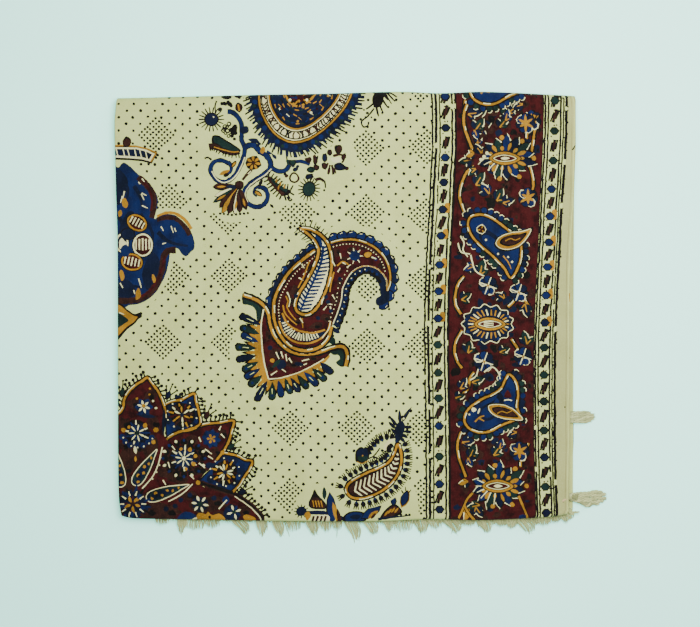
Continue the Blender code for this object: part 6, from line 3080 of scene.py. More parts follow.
    def reduced(self, line: list[Spot]) -> list[Spot]:
        """Keeps the points of a line that lie off the straight way between its ends.

        Args:
            line: The line.

        Returns:
            The points that stay.
        """
        keep = {0, len(line) - 1}
        spans = [(0, len(line) - 1)]
        while spans:
            low, high = spans.pop()
            if high - low < 2:
                continue
            (ax, ay), (bx, by) = line[low], line[high]
            dx, dy = bx - ax, by - ay
            length = math.hypot(dx, dy)
            worst, place = self.slack, -1
            for k in range(low + 1, high):
                px, py = line[k][0] - ax, line[k][1] - ay
                off = abs(px * dy - py * dx) / length if length else math.hypot(px, py)
                if off > worst:
                    worst, place = off, k
            if place > 0:
                keep.add(place)
                spans += [(low, place), (place, high)]
        return [line[k] for k in sorted(keep)]

    @staticmethod
    def spread(cut: FlatCut, first: int, borders: Sequence[tuple[list[Spot], Ink, Ink]]) -> list[Ink]:
        """Inks a new cut of the cloth from the lines between inks.

        Args:
            cut: The new cut.
            first: The number of its line that is the first border.
            borders: The lines with the inks beside them.

        Returns:
            The ink of each triangle.
        """
        spots, count = cut.spots, len(cut.spots)
        sides: dict[int, tuple[Ink, float]] = {}
        for a, b, source in cut.pieces:
            if source >= first:
                _, left, right = borders[source - first]
                length = math.dist(spots[a], spots[b])
                sides[a * count + b] = (left, length)
                sides[b * count + a] = (right, length)
        beside = {
            face[k] * count + face[(k + 1) % 3]: index for index,
            face in enumerate(cut.faces) for k in range(3)
        }
        inks: list[Ink | None] = [None] * len(cut.faces)
        for seed in range(len(cut.faces)):
            if inks[seed] is not None:
                continue
            inks[seed] = Ink.GROUND
            members = [seed]
            votes: dict[Ink, float] = {}
            for index in members:
                face = cut.faces[index]
                for k in range(3):
                    a, b = face[k], face[(k + 1) % 3]
                    side = sides.get(a * count + b)
                    if side:
                        votes[side[0]] = votes.get(side[0], 0.0) + side[1]
                        continue
                    other = beside.get(b * count + a)
                    if other is not None and inks[other] is None:
                        inks[other] = Ink.GROUND
                        members.append(other)
            if votes:
                most = max(votes, key=votes.get)
                for index in members:
                    inks[index] = most
        return inks


# The cloth


@dataclass
class FoldedCloth:
    """The printed cotton, one thin sheet on the folds of its solid."""

    thickness: float = 0.0006
    width: float = 0.4935

    def __post_init__(self) -> None:
        """Works out the way along the cloth."""
        self.radius = DOUBLED / 2 - self.thickness / 2
        self.arc = math.pi * self.radius
        runs = [
            TOP_TURN - CLOTH_END, math.pi * OUTER_RADIUS, TOP_TURN - BOTTOM_TURN, math.pi * INNER_RADIUS,
            TOP_TURN - BOTTOM_TURN, math.pi * INNER_RADIUS, TOP_TURN - CLOTH_END
        ]
        self.marks = [0.0]
        for run in runs:
            self.marks.append(self.marks[-1] + run)
        self.length = self.marks[-1]

    def ends(self, y: float, layer: int) -> Spot:
        """Where the first and the second half of the cloth end in this layer."""
        edge = RIGHT_EDGES.at(y, 1 + layer)
        return edge - TRIMS[layer][0], edge - TRIMS[layer][1]

    def station(self, along: float) -> tuple[float, float, float, Spot]:
        """A line across the doubled cloth.

        Args:
            along: The way along the cloth from its lowest end.

        Returns:
            Its y and z, the way that it faces, and where the cloth's halves end.
        """
        marks = self.marks
        index = 0
        while index < 6 and along > marks[index + 1]:
            index += 1
        done = along - marks[index]
        share = clamp(done / (marks[index + 1] - marks[index]))
        if index in (0, 2, 4, 6):
            layer = (LOWEST, TOP_LAYER, THIRD, SECOND)[index // 2]
            start = (CLOTH_END, TOP_TURN, BOTTOM_TURN, TOP_TURN)[index // 2]
            upwards = layer in (LOWEST, THIRD)
            y = start + done if upwards else start - done
            facing = math.pi / 2 if upwards else -math.pi / 2
            return y, LAYERS[layer], facing, self.ends(y, layer)
        before, after, middle, start, sweep, inwards = (
            (LOWEST, TOP_LAYER, TOP_TURN, -math.pi / 2, math.pi, True),
            (TOP_LAYER, THIRD, BOTTOM_TURN, math.pi / 2, math.pi, True),
            (THIRD, SECOND, TOP_TURN, math.pi / 2, -math.pi, False),
        )[index // 2]
        angle = start + sweep * share
        radius = abs(LAYERS[before] - LAYERS[after]) / 2
        y = middle + radius * math.cos(angle)
        z = (LAYERS[before] + LAYERS[after]) / 2 + radius * math.sin(angle)
        first, second = self.ends(middle, before), self.ends(middle, after)
        ends = tuple(one + share * (other - one) for one, other in zip(first, second))
        return y, z, angle + math.pi if inwards else angle, ends

    def point(self, across: float, along: float, side: int) -> Vector:
        """Where a point of the flat cloth lies.

        Args:
            across: The way from the left fold, negative beyond it on the second half.
            along: The way along the cloth from its lowest end.
            side: 1 on its printed face and -1 on its plain face.

        Returns:
            The point in space.
        """
        y, z, facing, ends = self.station(along)
        place = self.lay(across, (y, z), facing, ends, side * self.thickness / 2)
        if z > LAYERS[TOP_LAYER] - PLY:
            place.z += self.relief(place.x, place.y)
        return place

    def lay(
        self, across: float, middle: Spot, facing: float, ends: Spot, off: float
    ) -> Vector:
        """Lays a point of a line across the doubled cloth.

        Args:
            across: The way from the left fold, negative beyond it on the second half.
            middle: The line's y and z.
            facing: The way that it faces.
            ends: Where its two halves end.
            off: How far off the sheet's middle, outwards, the point is.

        Returns:
            The point in space.
        """
        if across >= 0:
            angle, share, end = -math.pi / 2, across / self.width, ends[0]
        elif across > -self.arc:
            angle, share, end = -math.pi / 2 - math.pi * across / self.arc, 0.0, ends[0]
        else:
            angle, share, end = math.pi / 2, (-across - self.arc) / self.width, ends[1]
        radius = self.radius + off
        out = radius * math.sin(angle)
        y = middle[0] + out * math.cos(facing)
        z = middle[1] + out * math.sin(facing)
        fold = LEFT_FOLD.at(y) + DOUBLED / 2
        x = fold - radius * math.cos(angle) + share * (end - fold)
        return settled(x, y, z)

    def relief(self, x: float, y: float) -> float:
        """Soft creases and puckers of the top layer.

        Args:
            x: The place across the laid cloth.
            y: The place along it.

        Returns:
            How far the cloth rises there, or sinks.
        """
        height = 0.00022 * noise.noise(Vector((x * 28, y * 19, 2.0)))
        height += 0.00016 * noise.noise(Vector((x * 75, y * 60, 9.0)))
        for (ax, ay), (bx, by), width, tall in CREASES:
            dx, dy = bx - ax, by - ay
            share = clamp(((x - ax) * dx + (y - ay) * dy) / (dx * dx + dy * dy))
            away = math.dist((x, y), (ax + share * dx, ay + share * dy))
            height += tall * math.exp(-((away / width) ** 2))
        return height

    def on_cloth(self, spot: Spot) -> Spot:
        """Takes a place on the squared paper, laid on the top layer, to the flat cloth.

        Args:
            spot: The place, in squares.

        Returns:
            The place on the flat cloth, in metres.
        """
        x = (spot[0] - PAPER_X) * SQUARE
        seen = (PAPER_Y - spot[1]) * SQUARE
        y = seen
        for _ in range(2):
            up = clamp((y - BOTTOM) / (TOP - BOTTOM))
            wander = up * (TOP_FOLD.at(x) - TOP) + (1 - up) * (BOTTOM_FOLD.at(x) - BOTTOM)
            y = seen - wander
        along = self.marks[2] + TOP_TURN - y
        held = min(max(y, BOTTOM_TURN), TOP_TURN)
        fold = LEFT_FOLD.at(held) + DOUBLED / 2
        if x < fold:
            return x - fold, along
        end = self.ends(held, TOP_LAYER)[0]
        return (x - fold) / (end - fold) * self.width, along

    def fold_lines(self, spacing: float) -> list[list[Spot]]:
        """Lines that the mesh keeps, along and beside the folds.

        Args:
            spacing: How far apart the points on them are.

        Returns:
            Each line's points on the flat cloth.
        """
        left, right = -self.arc - self.width, self.width
        lines = []
        levels = [self.marks[2], self.marks[6]]
        for index, cuts in ((1, 10), (3, 6), (5, 6)):
            start, end = self.marks[index], self.marks[index + 1]
            levels += [start + (end - start) * cut / cuts for cut in range(cuts + 1)]
        count = round((right - left) / spacing)
        for level in sorted(set(round(level, 7) for level in levels)):
            steps = [left + (right - left) * step / count for step in range(count + 1)]
            lines.append([(step, level) for step in steps])
        count = round(self.length / spacing)
        for cut in range(7):
            across = -self.arc * cut / 6
            steps = [self.length * step / count for step in range(count + 1)]
            lines.append([(across, step) for step in steps])
        return lines

    def lattice(self, taken: Iterable[Spot], fine: bool) -> list[Spot]:
        """Loose points that keep the faces small where nothing is drawn.

        Args:
            taken: The points that are there already.
            fine: Whether they are for the printed face.

        Returns:
            The new points on the flat cloth.
        """
        cell = 0.004
        full = {(int(x // cell), int(y // cell)) for x, y in taken}
        marks = self.marks
        areas = (
            (0.0, self.width, marks[2], marks[3], 0.009 if fine else 0.020),
            (0.0, self.width, marks[0], marks[1], 0.014 if fine else 0.022),
            (0.0, self.width, marks[4], marks[7], 0.034),
            (-self.arc - self.width, -self.arc, 0.0, self.length, 0.034)
        )
        points = []
        for left, right, low, high, pitch in areas:
            across = max(2, round((right - left) / pitch))
            along = max(2, round((high - low) / pitch))
            for i in range(across):
                for j in range(along):
                    x = left + (i + 0.5 + 0.25 * math.sin(3.1 * j)) * (right - left) / across
                    y = low + (j + 0.5 + 0.25 * math.sin(2.3 * i)) * (high - low) / along
                    ci, cj = int(x // cell), int(y // cell)
                    near = [(ci + a, cj + b) for a in (-1, 0, 1) for b in (-1, 0, 1)]
                    if not any(key in full for key in near):
                        points.append((x, y))
        return points

    def rim(self, spots: Sequence[Spot]) -> list[int]:
        """Numbers of the points round the edge, in order, anticlockwise.

        Args:
            spots: The points of the cut cloth.

        Returns:
            The numbers.
        """
        low, high = -self.arc - self.width, self.width
        tiny = 2e-7
        bottom = sorted((s[0], i) for i, s in enumerate(spots) if s[1] < tiny)
        right = sorted((s[1], i) for i, s in enumerate(spots) if s[0] > high - tiny)
        top = sorted((-s[0], i) for i, s in enumerate(spots) if s[1] > self.length - tiny)
        left = sorted((-s[1], i) for i, s in enumerate(spots) if s[0] < low + tiny)
        loop: list[int] = []
        for side in (bottom, right, top, left):
            loop += [i for _, i in side][:-1]
        return loop

    def build(self, block: BlockPrint) -> bpy.types.Object:
        """Makes the cloth's mesh and dresses it.

        Args:
            block: The print.

        Returns:
            The finished piece.
        """
        left, right = -self.arc - self.width, self.width
        lines = self.fold_lines(0.024)
        frame_line = [(left, 0.0), (right, 0.0), (right, self.length), (left, self.length)]
        frame_line.append(frame_line[0])
        lines.append(frame_line)
        patches = []
        inks = []
        for ink, outline in block.patches:
            spots = [self.on_cloth(spot) for spot in outline]
            spots = [
                (min(max(x, left + 1e-4), right - 1e-4), min(max(y, 1e-4), self.length - 1e-4))
                for x, y in spots
            ]
            if all(y > self.marks[4] + 0.004 or y < 0.002 for _, y in spots):
                continue
            if all(x < -self.arc - 0.006 for x, _ in spots):
                continue
            patches.append(spots)
            inks.append(ink)
        borders = InkMap.press(patches, inks, frame_line).borders()
        taken = [spot for line, _, _ in borders for spot in line]
        taken += [spot for line in lines for spot in line]
        loose = self.lattice(taken, True)
        cut = FlatCut.make(loose, lines + [line for line, _, _ in borders])
        seen = InkMap.spread(cut, len(lines), borders)
        spots = cut.spots
        loop = self.rim(spots)
        verts = [self.point(x, y, 1) for x, y in spots]
        polygons = [tuple(reversed(face)) for face in cut.faces]
        colours = [ink.value for ink in seen]
        flats = list(spots)
        printed = len(polygons)
        # The plain face shares only the outline
        around = [spots[i] for i in loop]
        plain_lines = self.fold_lines(0.034) + [around + around[:1]]
        loose = self.lattice([s for line in plain_lines for s in line], False)
        plain = FlatCut.make(loose, plain_lines)
        back = plain.spots
        start = len(verts)
        verts += [self.point(x, y, -1) for x, y in back]
        flats += back
        polygons += [tuple(start + i for i in face) for face in plain.faces]
        back_loop = [start + i for i in self.rim(back)]
        if len(back_loop) != len(loop):
            raise ValueError(f"The rims differ: {len(loop)} and {len(back_loop)}")
        count = len(loop)
        for k in range(count):
            a, b = loop[k], loop[(k + 1) % count]
            c, d = back_loop[(k + 1) % count], back_loop[k]
            polygons.append((a, b, c, d))
        colours += [Ink.BACK.value] * (len(polygons) - printed)
        mesh = bpy.data.meshes.new("printed_cloth")
        mesh.from_pydata(verts, [], polygons)
        mesh.polygons.foreach_set("material_index", colours)
        for ink in Ink:
            mesh.materials.append(DYES[ink].make())
        flat_map = mesh.uv_layers.new(name="flat_cloth")
        corners = [0] * len(mesh.loops)
        mesh.loops.foreach_get("vertex_index", corners)
        values = [value for corner in corners for value in flats[corner]]
        flat_map.data.foreach_set("uv", values)
        self.bake_map(mesh, flats, printed, len(polygons) - count)
        mesh.shade_smooth()
        mesh.set_sharp_from_angle(angle=math.radians(60))
        piece = bpy.data.objects.new("printed_cloth", mesh)
        bpy.context.scene.collection.objects.link(piece)
        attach(piece, "root")
        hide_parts("folded_panel")
        LOG.info("printed_cloth: %d faces, %d of them printed", len(polygons), printed)
        return piece

    def bake_map(
        self, mesh: bpy.types.Mesh, flats: Sequence[Spot], printed: int, rim: int
    ) -> None:
        """Lays the faces out flat, the top of the stack largest.

        Args:
            mesh: The cloth's mesh.
            flats: Each vertex's place on the flat cloth.
            printed: How many of its faces are printed; they come first.
            rim: The number of the first face of its rim.
        """
        marks, left = self.marks, -self.arc - self.width
        # Area on the flat cloth: left, right, low, high; then the same on the map
        top = ((-self.arc, self.width, marks[1], marks[4]), (0.004, 0.696, 0.004, 0.680))
        below = ((-self.arc, self.width, 0.0, marks[1]), (0.004, 0.696, 0.692, 0.996))
        inner = ((-self.arc, self.width, marks[4], self.length), (0.712, 0.970, 0.004, 0.300))
        second = ((left, -self.arc, 0.0, self.length), (0.712, 0.970, 0.312, 0.640))
        plain = ((left, self.width, 0.0, self.length), (0.712, 0.970, 0.652, 0.996))
        count = len(mesh.polygons) - rim
        values: list[float] = []
        for index, face in enumerate(mesh.polygons):
            if index >= rim:
                low, high = (index - rim) / count, (index - rim + 1) / count
                values += [0.982, low, 0.982, high, 0.992, high, 0.992, low]
                continue
            spots = [flats[vertex] for vertex in face.vertices]
            x = sum(spot[0] for spot in spots) / len(spots)
            y = sum(spot[1] for spot in spots) / len(spots)
            if index >= printed:
                area, goal = plain
            elif x < -self.arc:
                area, goal = second
            else:
                area, goal = below if y < marks[1] else top if y < marks[4] else inner
            for px, py in spots:
                across = (px - area[0]) / (area[1] - area[0])
                along = (py - area[2]) / (area[3] - area[2])
                values.append(goal[0] + (goal[1] - goal[0]) * across)
                values.append(goal[2] + (goal[3] - goal[2]) * along)
        mesh.uv_layers.new(name="OFBake").data.foreach_set("uv", values)


# The yarn


@dataclass(frozen=True)
class SpunCotton:
    """Undyed cotton yarn: soft, dry and pale, with fibres that wind round it.

    The eye gets fine slanting grooves darkened with painted shade where the yarns touch, and a tone that
    differs at random from yarn to yarn.
    """

    name: str
    colour: str
    deep: str
    pale: str
    lay_length: float
    plies: int = 2

    def make(self) -> bpy.types.Material:
        """Builds the material.

        Returns:
            The new material. Its pattern follows each yarn's own map, in metres along it and
            turns round it.
        """
        material = bpy.data.materials.new(self.name)
        material.use_nodes = True
        tree = material.node_tree
        shader = tree.nodes["Principled BSDF"]
        way = add_node(tree, "ShaderNodeUVMap", {"uv_map": "along_yarn"}).outputs[0]
        shade = add_node(tree, "ShaderNodeAttribute", {"attribute_name": "yarn_shade"})
        scale = (math.tau / 10 / self.lay_length, math.tau * self.plies / 10, 0.0)
        wound = add_node(tree, "ShaderNodeMapping", {"Scale": scale}, {"Vector": way})
        twist = add_node(
            tree,
            "ShaderNodeTexWave",
            {"bands_direction": "DIAGONAL", "Scale": 1.0, "Distortion": 0.6, "Detail": 1.0},
            {"Vector": wound.outputs[0]},
        ).outputs["Fac"]
        stretched = add_node(
            tree, "ShaderNodeMapping", {"Scale": (900.0, 7.0, 1.0)}, {"Vector": way}
        ).outputs[0]
        fibres = add_node(
            tree,
            "ShaderNodeTexNoise",
            {"noise_dimensions": "2D", "Scale": 1.0, "Detail": 4.0},
            {"Vector": stretched},
        ).outputs[0]
        place = add_node(tree, "ShaderNodeTexCoord").outputs["Object"]
        soil = add_node(
            tree, "ShaderNodeTexNoise", {"Scale": 55.0, "Detail": 3.0}, {"Vector": place}
        ).outputs[0]
        colour = blend_colours(tree, shade.outputs["Fac"], self.deep, self.pale)
        clouded = remap(tree, soil, (0.35, 0.7), (0.0, 0.45))
        colour = blend_colours(tree, clouded, colour, self.colour)
        # Painted shade: the grooves of the twist are darkened towards the deep colour.
        groove_shade = remap(tree, twist, (0.0, 0.5), (0.5, 0.0))
        colour = blend_colours(tree, groove_shade, colour, self.deep)
        tree.links.new(colour, shader.inputs["Base Color"])
        tree.links.new(remap(tree, fibres, (0.3, 0.7), (0.85, 0.97)), shader.inputs["Roughness"])
        shader.inputs["Specular IOR Level"].default_value = 0.18
        shader.inputs["Sheen Weight"].default_value = 0.15
        shader.inputs["Sheen Roughness"].default_value = 0.6
        height = add_node(tree, "ShaderNodeMath", {"operation": "ADD"}, {0: twist, 1: fibres}).outputs[0]
        bump = add_node(tree, "ShaderNodeBump", {"Strength": 0.7, "Distance": 0.0002}, {"Height": height})
        tree.links.new(bump.outputs[0], shader.inputs["Normal"])
        return material


@dataclass
class YarnWork:
    """Yarns, knots and strips gathered into one mesh."""

    name: str
    verts: list[Vector] = field(default_factory=list)
    faces: list[tuple[int, ...]] = field(default_factory=list)
    maps: list[Spot] = field(default_factory=list)
    shades: list[float] = field(default_factory=list)

    def spin(
        self,
        path: Sequence[Vector],
        radii: Sequence[float],
        sides: int,
        shade: float,
        flat: float = 1.0,
    ) -> None:
        """Adds a yarn, a tube that is closed at both ends.

        Args:
            path: The points of its middle.
            radii: Its radius at each.
            sides: How many sides it has.
            shade: How pale it is, from 0 to 1.
            flat: Its height as a share of its width.
        """
        start, last = len(self.verts), len(path) - 1
        done = 0.0
        up = Vector((0.0, 0.0, 1.0))
        for index, point in enumerate(path):
            ahead = (path[min(index + 1, last)] - path[max(index - 1, 0)]).normalized()
            if index:
                done += (point - path[index - 1]).length
            across = ahead.cross(up)
            if across.length < 1e-4:
                across = Vector((1.0, 0.0, 0.0))
            across.normalize()
            over = across.cross(ahead)
            for side in range(sides):
                angle = math.tau * side / sides
                reach = radii[index]
                self.verts.append(
                    point + across * (math.cos(angle) * reach) + over * (math.sin(angle) * reach * flat)
                )
                self.shades.append(shade)
        lengths = [0.0]
        for a, b in zip(path, path[1:]):
            lengths.append(lengths[-1] + (b - a).length)
        for ring in range(last):
            for side in range(sides):
                after = (side + 1) % sides
                a, b = start + ring * sides + side, start + ring * sides + after
                self.faces.append((a, a + sides, b + sides, b))
                low, high = side / sides, (side + 1) / sides
                near, far = lengths[ring], lengths[ring + 1]
                self.maps += [(near, low), (far, low), (far, high), (near, high)]
        first = tuple(range(start, start + sides))
        final = tuple(reversed(range(start + last * sides, start + (last + 1) * sides)))
        for cap, way in ((first, 0.0), (final, lengths[-1])):
            self.faces.append(cap)
            self.maps += [(way, 0.5)] * sides

    def twist(
        self,
        path: Sequence[Vector],
        radius: float,
        plies: int,
        pitch: float,
        shades: Sequence[float],
        sides: int = 6,
        end: float = 0.75,
        flat: float = 1.0,
    ) -> None:
        """Adds a strand of several yarns wound round each other.

        Args:
            path: The points of the strand's middle, close together.
            radius: The strand's own radius.
            plies: How many yarns it has.
            pitch: How far along it a yarn goes in one turn.
            shades: The yarns' shades, taken in turn.
            sides: How many sides each yarn has.
            end: The radius at the tip as a share of the full one.
            flat: Its height as a share of its width.
        """
        yarn = radius * 0.54
        last = len(path) - 1
        for ply in range(plies):
            line, radii = [], []
            done = 0.0
            for index, point in enumerate(path):
                ahead = (path[min(index + 1, last)] - path[max(index - 1, 0)]).normalized()
                if index:
                    done += (point - path[index - 1]).length
                across = ahead.cross(Vector((0.0, 0.0, 1.0))).normalized()
                over = across.cross(ahead)
                angle = math.tau * (ply / plies + done / pitch)
                share = 1 + (end - 1) * ease((index / last - 0.6) / 0.4)
                reach = (radius - yarn) * share
                line.append(
                    point + across * (reach * math.cos(angle)) + over * (reach * math.sin(angle) * flat)
                )
                radii.append(yarn * share * 1.12)
            radii[0] *= 0.6
            radii[-1] *= 0.45
            self.spin(line, radii, sides, shades[ply % len(shades)], flat)

    def knot(self, middle: Vector, size: Vector, shade: float, turns: int = 7) -> None:
        """Adds a small tight knot, a squat ball of rings.

        Args:
            middle: Where it lies.
            size: Its half sizes.
            shade: How dark its yarn is.
            turns: How many rings it has.
        """
        path, radii = [], []
        for ring in range(turns):
            share = -1 + 2 * ring / (turns - 1)
            path.append(middle + Vector((0.0, share * size.y, 0.0)))
            radii.append(size.x * max(0.15, math.sqrt(max(0.0, 1 - share * share))))
        self.spin(path, radii, 6, shade, size.z / size.x)

    def finish(self, material: bpy.types.Material) -> bpy.types.Object:
        """Makes the mesh an object.

        Args:
            material: Its finish.

        Returns:
            The piece.
        """
        mesh = bpy.data.meshes.new(self.name)
        mesh.from_pydata(self.verts, [], self.faces)
        way = mesh.uv_layers.new(name="along_yarn")
        way.data.foreach_set("uv", [value for spot in self.maps for value in spot])
        shade = mesh.attributes.new("yarn_shade", "FLOAT", "POINT")
        shade.data.foreach_set("value", self.shades)
        mesh.materials.append(material)
        mesh.shade_smooth()
        mesh.set_sharp_from_angle(angle=math.radians(70))
        piece = bpy.data.objects.new(self.name, mesh)
        bpy.context.scene.collection.objects.link(piece)
        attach(piece, "root")
        triangles = sum(len(face) - 2 for face in self.faces)
        LOG.info("%s: %d triangles", self.name, triangles)
        return piece


# The bundles below the bottom fold: x, reach past it, width, lean, and the tip's share of it
SHOWN_BUNDLES = (
    (-0.2179, 0.0062, 0.0153, 0.0000, 0.90), (-0.1955, 0.0171, 0.0098, -0.0016, 0.30),
    (-0.1803, 0.0127, 0.0207, -0.0011, 0.95), (-0.1639, 0.0095, 0.0163, 0.0011, 1.00),
    (-0.1400, 0.0171, 0.0153, 0.0131, 0.30), (-0.1100, 0.0182, 0.0131, 0.0016, 0.45),
    (-0.0942, 0.0182, 0.0120, 0.0054, 0.30), (-0.0768, 0.0117, 0.0174, 0.0022, 0.90),
    (-0.0561, 0.0171, 0.0142, 0.0044, 0.35), (-0.0403, 0.0117, 0.0120, 0.0016, 0.70),
    (-0.0267, 0.0095, 0.0120, 0.0000, 0.80), (-0.0147, 0.0247, 0.0153, 0.0087, 0.35),
    (0.0049, 0.0160, 0.0153, 0.0087, 0.30), (0.0267, 0.0117, 0.0109, 0.0038, 0.40),
    (0.0441, 0.0133, 0.0229, 0.0011, 0.80), (0.0626, 0.0176, 0.0153, 0.0044, 0.35),
    (0.0779, 0.0117, 0.0142, 0.0033, 0.80), (0.0931, 0.0171, 0.0163, 0.0109, 0.45),
    (0.1138, 0.0062, 0.0109, 0.0000, 0.90), (0.1291, 0.0155, 0.0142, 0.0082, 0.40),
    (0.1498, 0.0073, 0.0131, 0.0022, 0.70), (0.1618, 0.0117, 0.0109, 0.0022, 0.60),
    (0.1727, 0.0182, 0.0174, 0.0109, 0.50), (0.1977, 0.0095, 0.0185, 0.0011, 1.00),
    (0.2108, 0.0073, 0.0098, 0.0011, 0.80), (0.2211, 0.0084, 0.0109, 0.0027, 0.50),
    (0.2304, -0.0014, 0.0098, 0.0044, 0.60)
)
# The rows under them: start, end, pitch, short and long reach, offset
UNDER_SHOWN = (-0.1960, 0.2040, 0.0121, 0.0028, 0.0088, 0.0)
UPPER_OF_LOWEST = (-0.2150, 0.2260, 0.0119, 0.0030, 0.0080, 1.7)
LOWER_OF_LOWEST = (-0.2080, 0.2200, 0.0143, 0.0020, 0.0042, 3.1)
# Stray threads: x, reach, width, lean
STRAYS = (
    (-0.0815, 0.0185, 0.0012, 0.0015), (-0.0285, 0.0190, 0.0012, 0.0022),
    (0.0285, 0.0135, 0.0010, 0.0018), (-0.1750, 0.0120, 0.0012, 0.0015), (0.0990, 0.0170, 0.0012, -0.0012)
)


@dataclass
class KnottedFringe:
    """The fringe of one end of the cloth: a woven heading, knots, and bundles of yarn."""

    name: str
    layer: int
    upper: Sequence[tuple[float, ...]]
    lower: Sequence[tuple[float, ...]]
    upper_yarns: int
    lower_yarns: int
    seed: int
    strip: float = 0.006
    strip_thickness: float = 0.0006
    overhang: float = 0.0020
    droop: float = 14.0
    yarn_radius: float = 0.00054
    strays: Sequence[tuple[float, ...]] = ()

    @staticmethod
    def row(
        start: float, end: float, pitch: float, short: float, long: float, offset: float
    ) -> list[tuple[float, ...]]:
        """A plain row of bundles, short at the sparse left end and longer to the right.

        Args:
            start: Where the row starts.
            end: Where it ends.
            pitch: The way from one bundle to the next.
            short: The shortest reach.
            long: The longest reach.
            offset: Where the wave of their lengths starts.

        Returns:
            Each bundle's place, reach, width, lean and the share of its tip.
        """
        count = round((end - start) / pitch)
        bundles = []
        for index in range(count + 1):
            x = start + (end - start) * index / count
            dense = clamp(x / 0.1)
            uneven = 0.85 + 0.15 * math.sin(2.4 * index + offset)
            reach = (short + (long - short) * dense) * uneven
            lean = 0.001 * math.sin(1.7 * index + offset)
            bundles.append((x, reach, 1.05 * pitch, lean, 0.7 + 0.2 * math.sin(3.3 * index)))
        return bundles

    def heading(self, work: YarnWork, cloth: FoldedCloth) -> None:
        """Adds the woven strip that the bundles are knotted to.

        Args:
            work: The yarn work that takes it.
            cloth: The cloth that it is sewn to.
        """
        start = CLOTH_END - 0.0003
        facing = math.pi / 2 if self.layer == LOWEST else -math.pi / 2
        stops = [cloth.width * k / 40 for k in range(41)]
        ways = list(reversed(stops)) + [-cloth.arc * k / 6 for k in range(1, 6)]
        ways += [-cloth.arc - stop for stop in stops]
        section = ((start, 1), (start - self.strip, 1), (start - self.strip, -1), (start, -1))
        base = len(work.verts)
        for way in ways:
            for y, side in section:
                middle = (y, LAYERS[self.layer])
                off = side * self.strip_thickness / 2
                ends = cloth.ends(y, self.layer)
                place = cloth.lay(way, middle, facing, ends, off - 0.0002)
                work.verts.append(place)
                work.shades.append(0.45)
        for ring in range(len(ways) - 1):
            for k in range(4):
                a, b = base + 4 * ring + k, base + 4 * ring + (k + 1) % 4
                face = (a, b, b + 4, a + 4) if self.layer == LOWEST else (a, a + 4, b + 4, b)
                work.faces.append(face)
                near, far = abs(ways[ring] - ways[0]), abs(ways[ring + 1] - ways[0])
                low, high = k / 4, (k + 1) / 4
                if self.layer == LOWEST:
                    work.maps += [(near, low), (near, high), (far, high), (far, low)]
                else:
                    work.maps += [(near, low), (far, low), (far, high), (near, high)]
        last = base + 4 * (len(ways) - 1)
        caps = [tuple(base + k for k in range(4)), tuple(last + k for k in range(4))]
        if self.layer == LOWEST:
            caps[0] = tuple(reversed(caps[0]))
        else:
            caps[1] = tuple(reversed(caps[1]))
        for cap in caps:
            work.faces.append(cap)
            work.maps += [(0.0, 0.5)] * 4

    def bundle(
        self,
        work: YarnWork,
        chance: random.Random,
        spec: tuple[float, ...],
        height: float,
        yarns: int,
    ) -> None:
        """Adds one knot and the yarns that hang from it.

        Args:
            work: What takes them.
            chance: The draws that make them uneven.
            spec: The bundle's x, reach, width, lean, and the tip's share of the width.
            height: How high its half of the cloth lies.
            yarns: How many there are.
        """
        x, reach, width, lean, open_tip = spec
        fold_y = BOTTOM_FOLD.at(x)
        root_y = CLOTH_END - self.strip + 0.0012
        work.knot(
            lifted(x, root_y - 0.0012, height), Vector((0.26 * width, 0.0014, 0.00065)),
            0.5 + 0.2 * chance.random()
        )
        for yarn in range(yarns):
            side = (yarn + 0.5) / yarns * 2 - 1
            side += chance.uniform(-0.5, 0.5) / yarns
            reach_now = reach * (1 - 0.3 * side * side) * chance.uniform(0.84, 1.05)
            raise_by = (0.45 if yarn % 2 else -0.35) * self.yarn_radius * 1.6
            wave, phase = chance.uniform(0.2, 0.9) * 0.001, chance.uniform(0, math.tau)
            tip_share = (0.38 + 0.6 * open_tip) * chance.uniform(0.8, 1.2)
            end_y = fold_y - reach_now
            stops = 8 if reach > 0.008 else 6
            path, radii = [], []
            for stop in range(stops + 1):
                t = stop / stops
                y = root_y + (end_y - root_y) * t
                spread = 0.8 + 0.2 * ease(t / 0.45)
                spread += (tip_share - 1) * ease((t - 0.6) / 0.4)
                px = x + side * width / 2 * spread + lean * ease(t)
                px += wave * math.sin(phase + 5 * t) * t
                past = max(fold_y - y + self.overhang, 0.0)
                z = height - self.droop * past * past + raise_by
                z = max(z, self.yarn_radius * (1.1 if yarn % 2 else 1.02))
                path.append(lifted(px, y, z))
                radii.append(self.yarn_radius * (1 - 0.35 * ease((t - 0.75) / 0.25)))
            radii[-1] *= 0.5
            work.spin(path, radii, 5, chance.random())
            if yarn % 2 == 0:
                self.fibre(work, chance, path[-1 - chance.randint(0, 2)], lean)

    @staticmethod
    def fibre(work: YarnWork, chance: random.Random, start: Vector, lean: float) -> None:
        """Adds one fine loose fibre that curls away from a yarn.

        Args:
            work: The yarn work that takes it.
            chance: The draws that make it uneven.
            start: Where it leaves the yarn.
            lean: The yarn's lean.
        """
        angle = -math.pi / 2 + 60 * lean + chance.uniform(-0.8, 0.8)
        bend = chance.uniform(-0.9, 0.9)
        place, path = start.copy(), []
        for _ in range(4):
            path.append(place.copy())
            place.x += 0.0009 * math.cos(angle)
            place.y += 0.0009 * math.sin(angle)
            place.z = max(place.z + chance.uniform(-0.0003, 0.0002), 0.0002)
            angle += bend / 3
        work.spin(path, (0.00019, 0.00016, 0.00012, 0.00007), 3, 0.8)

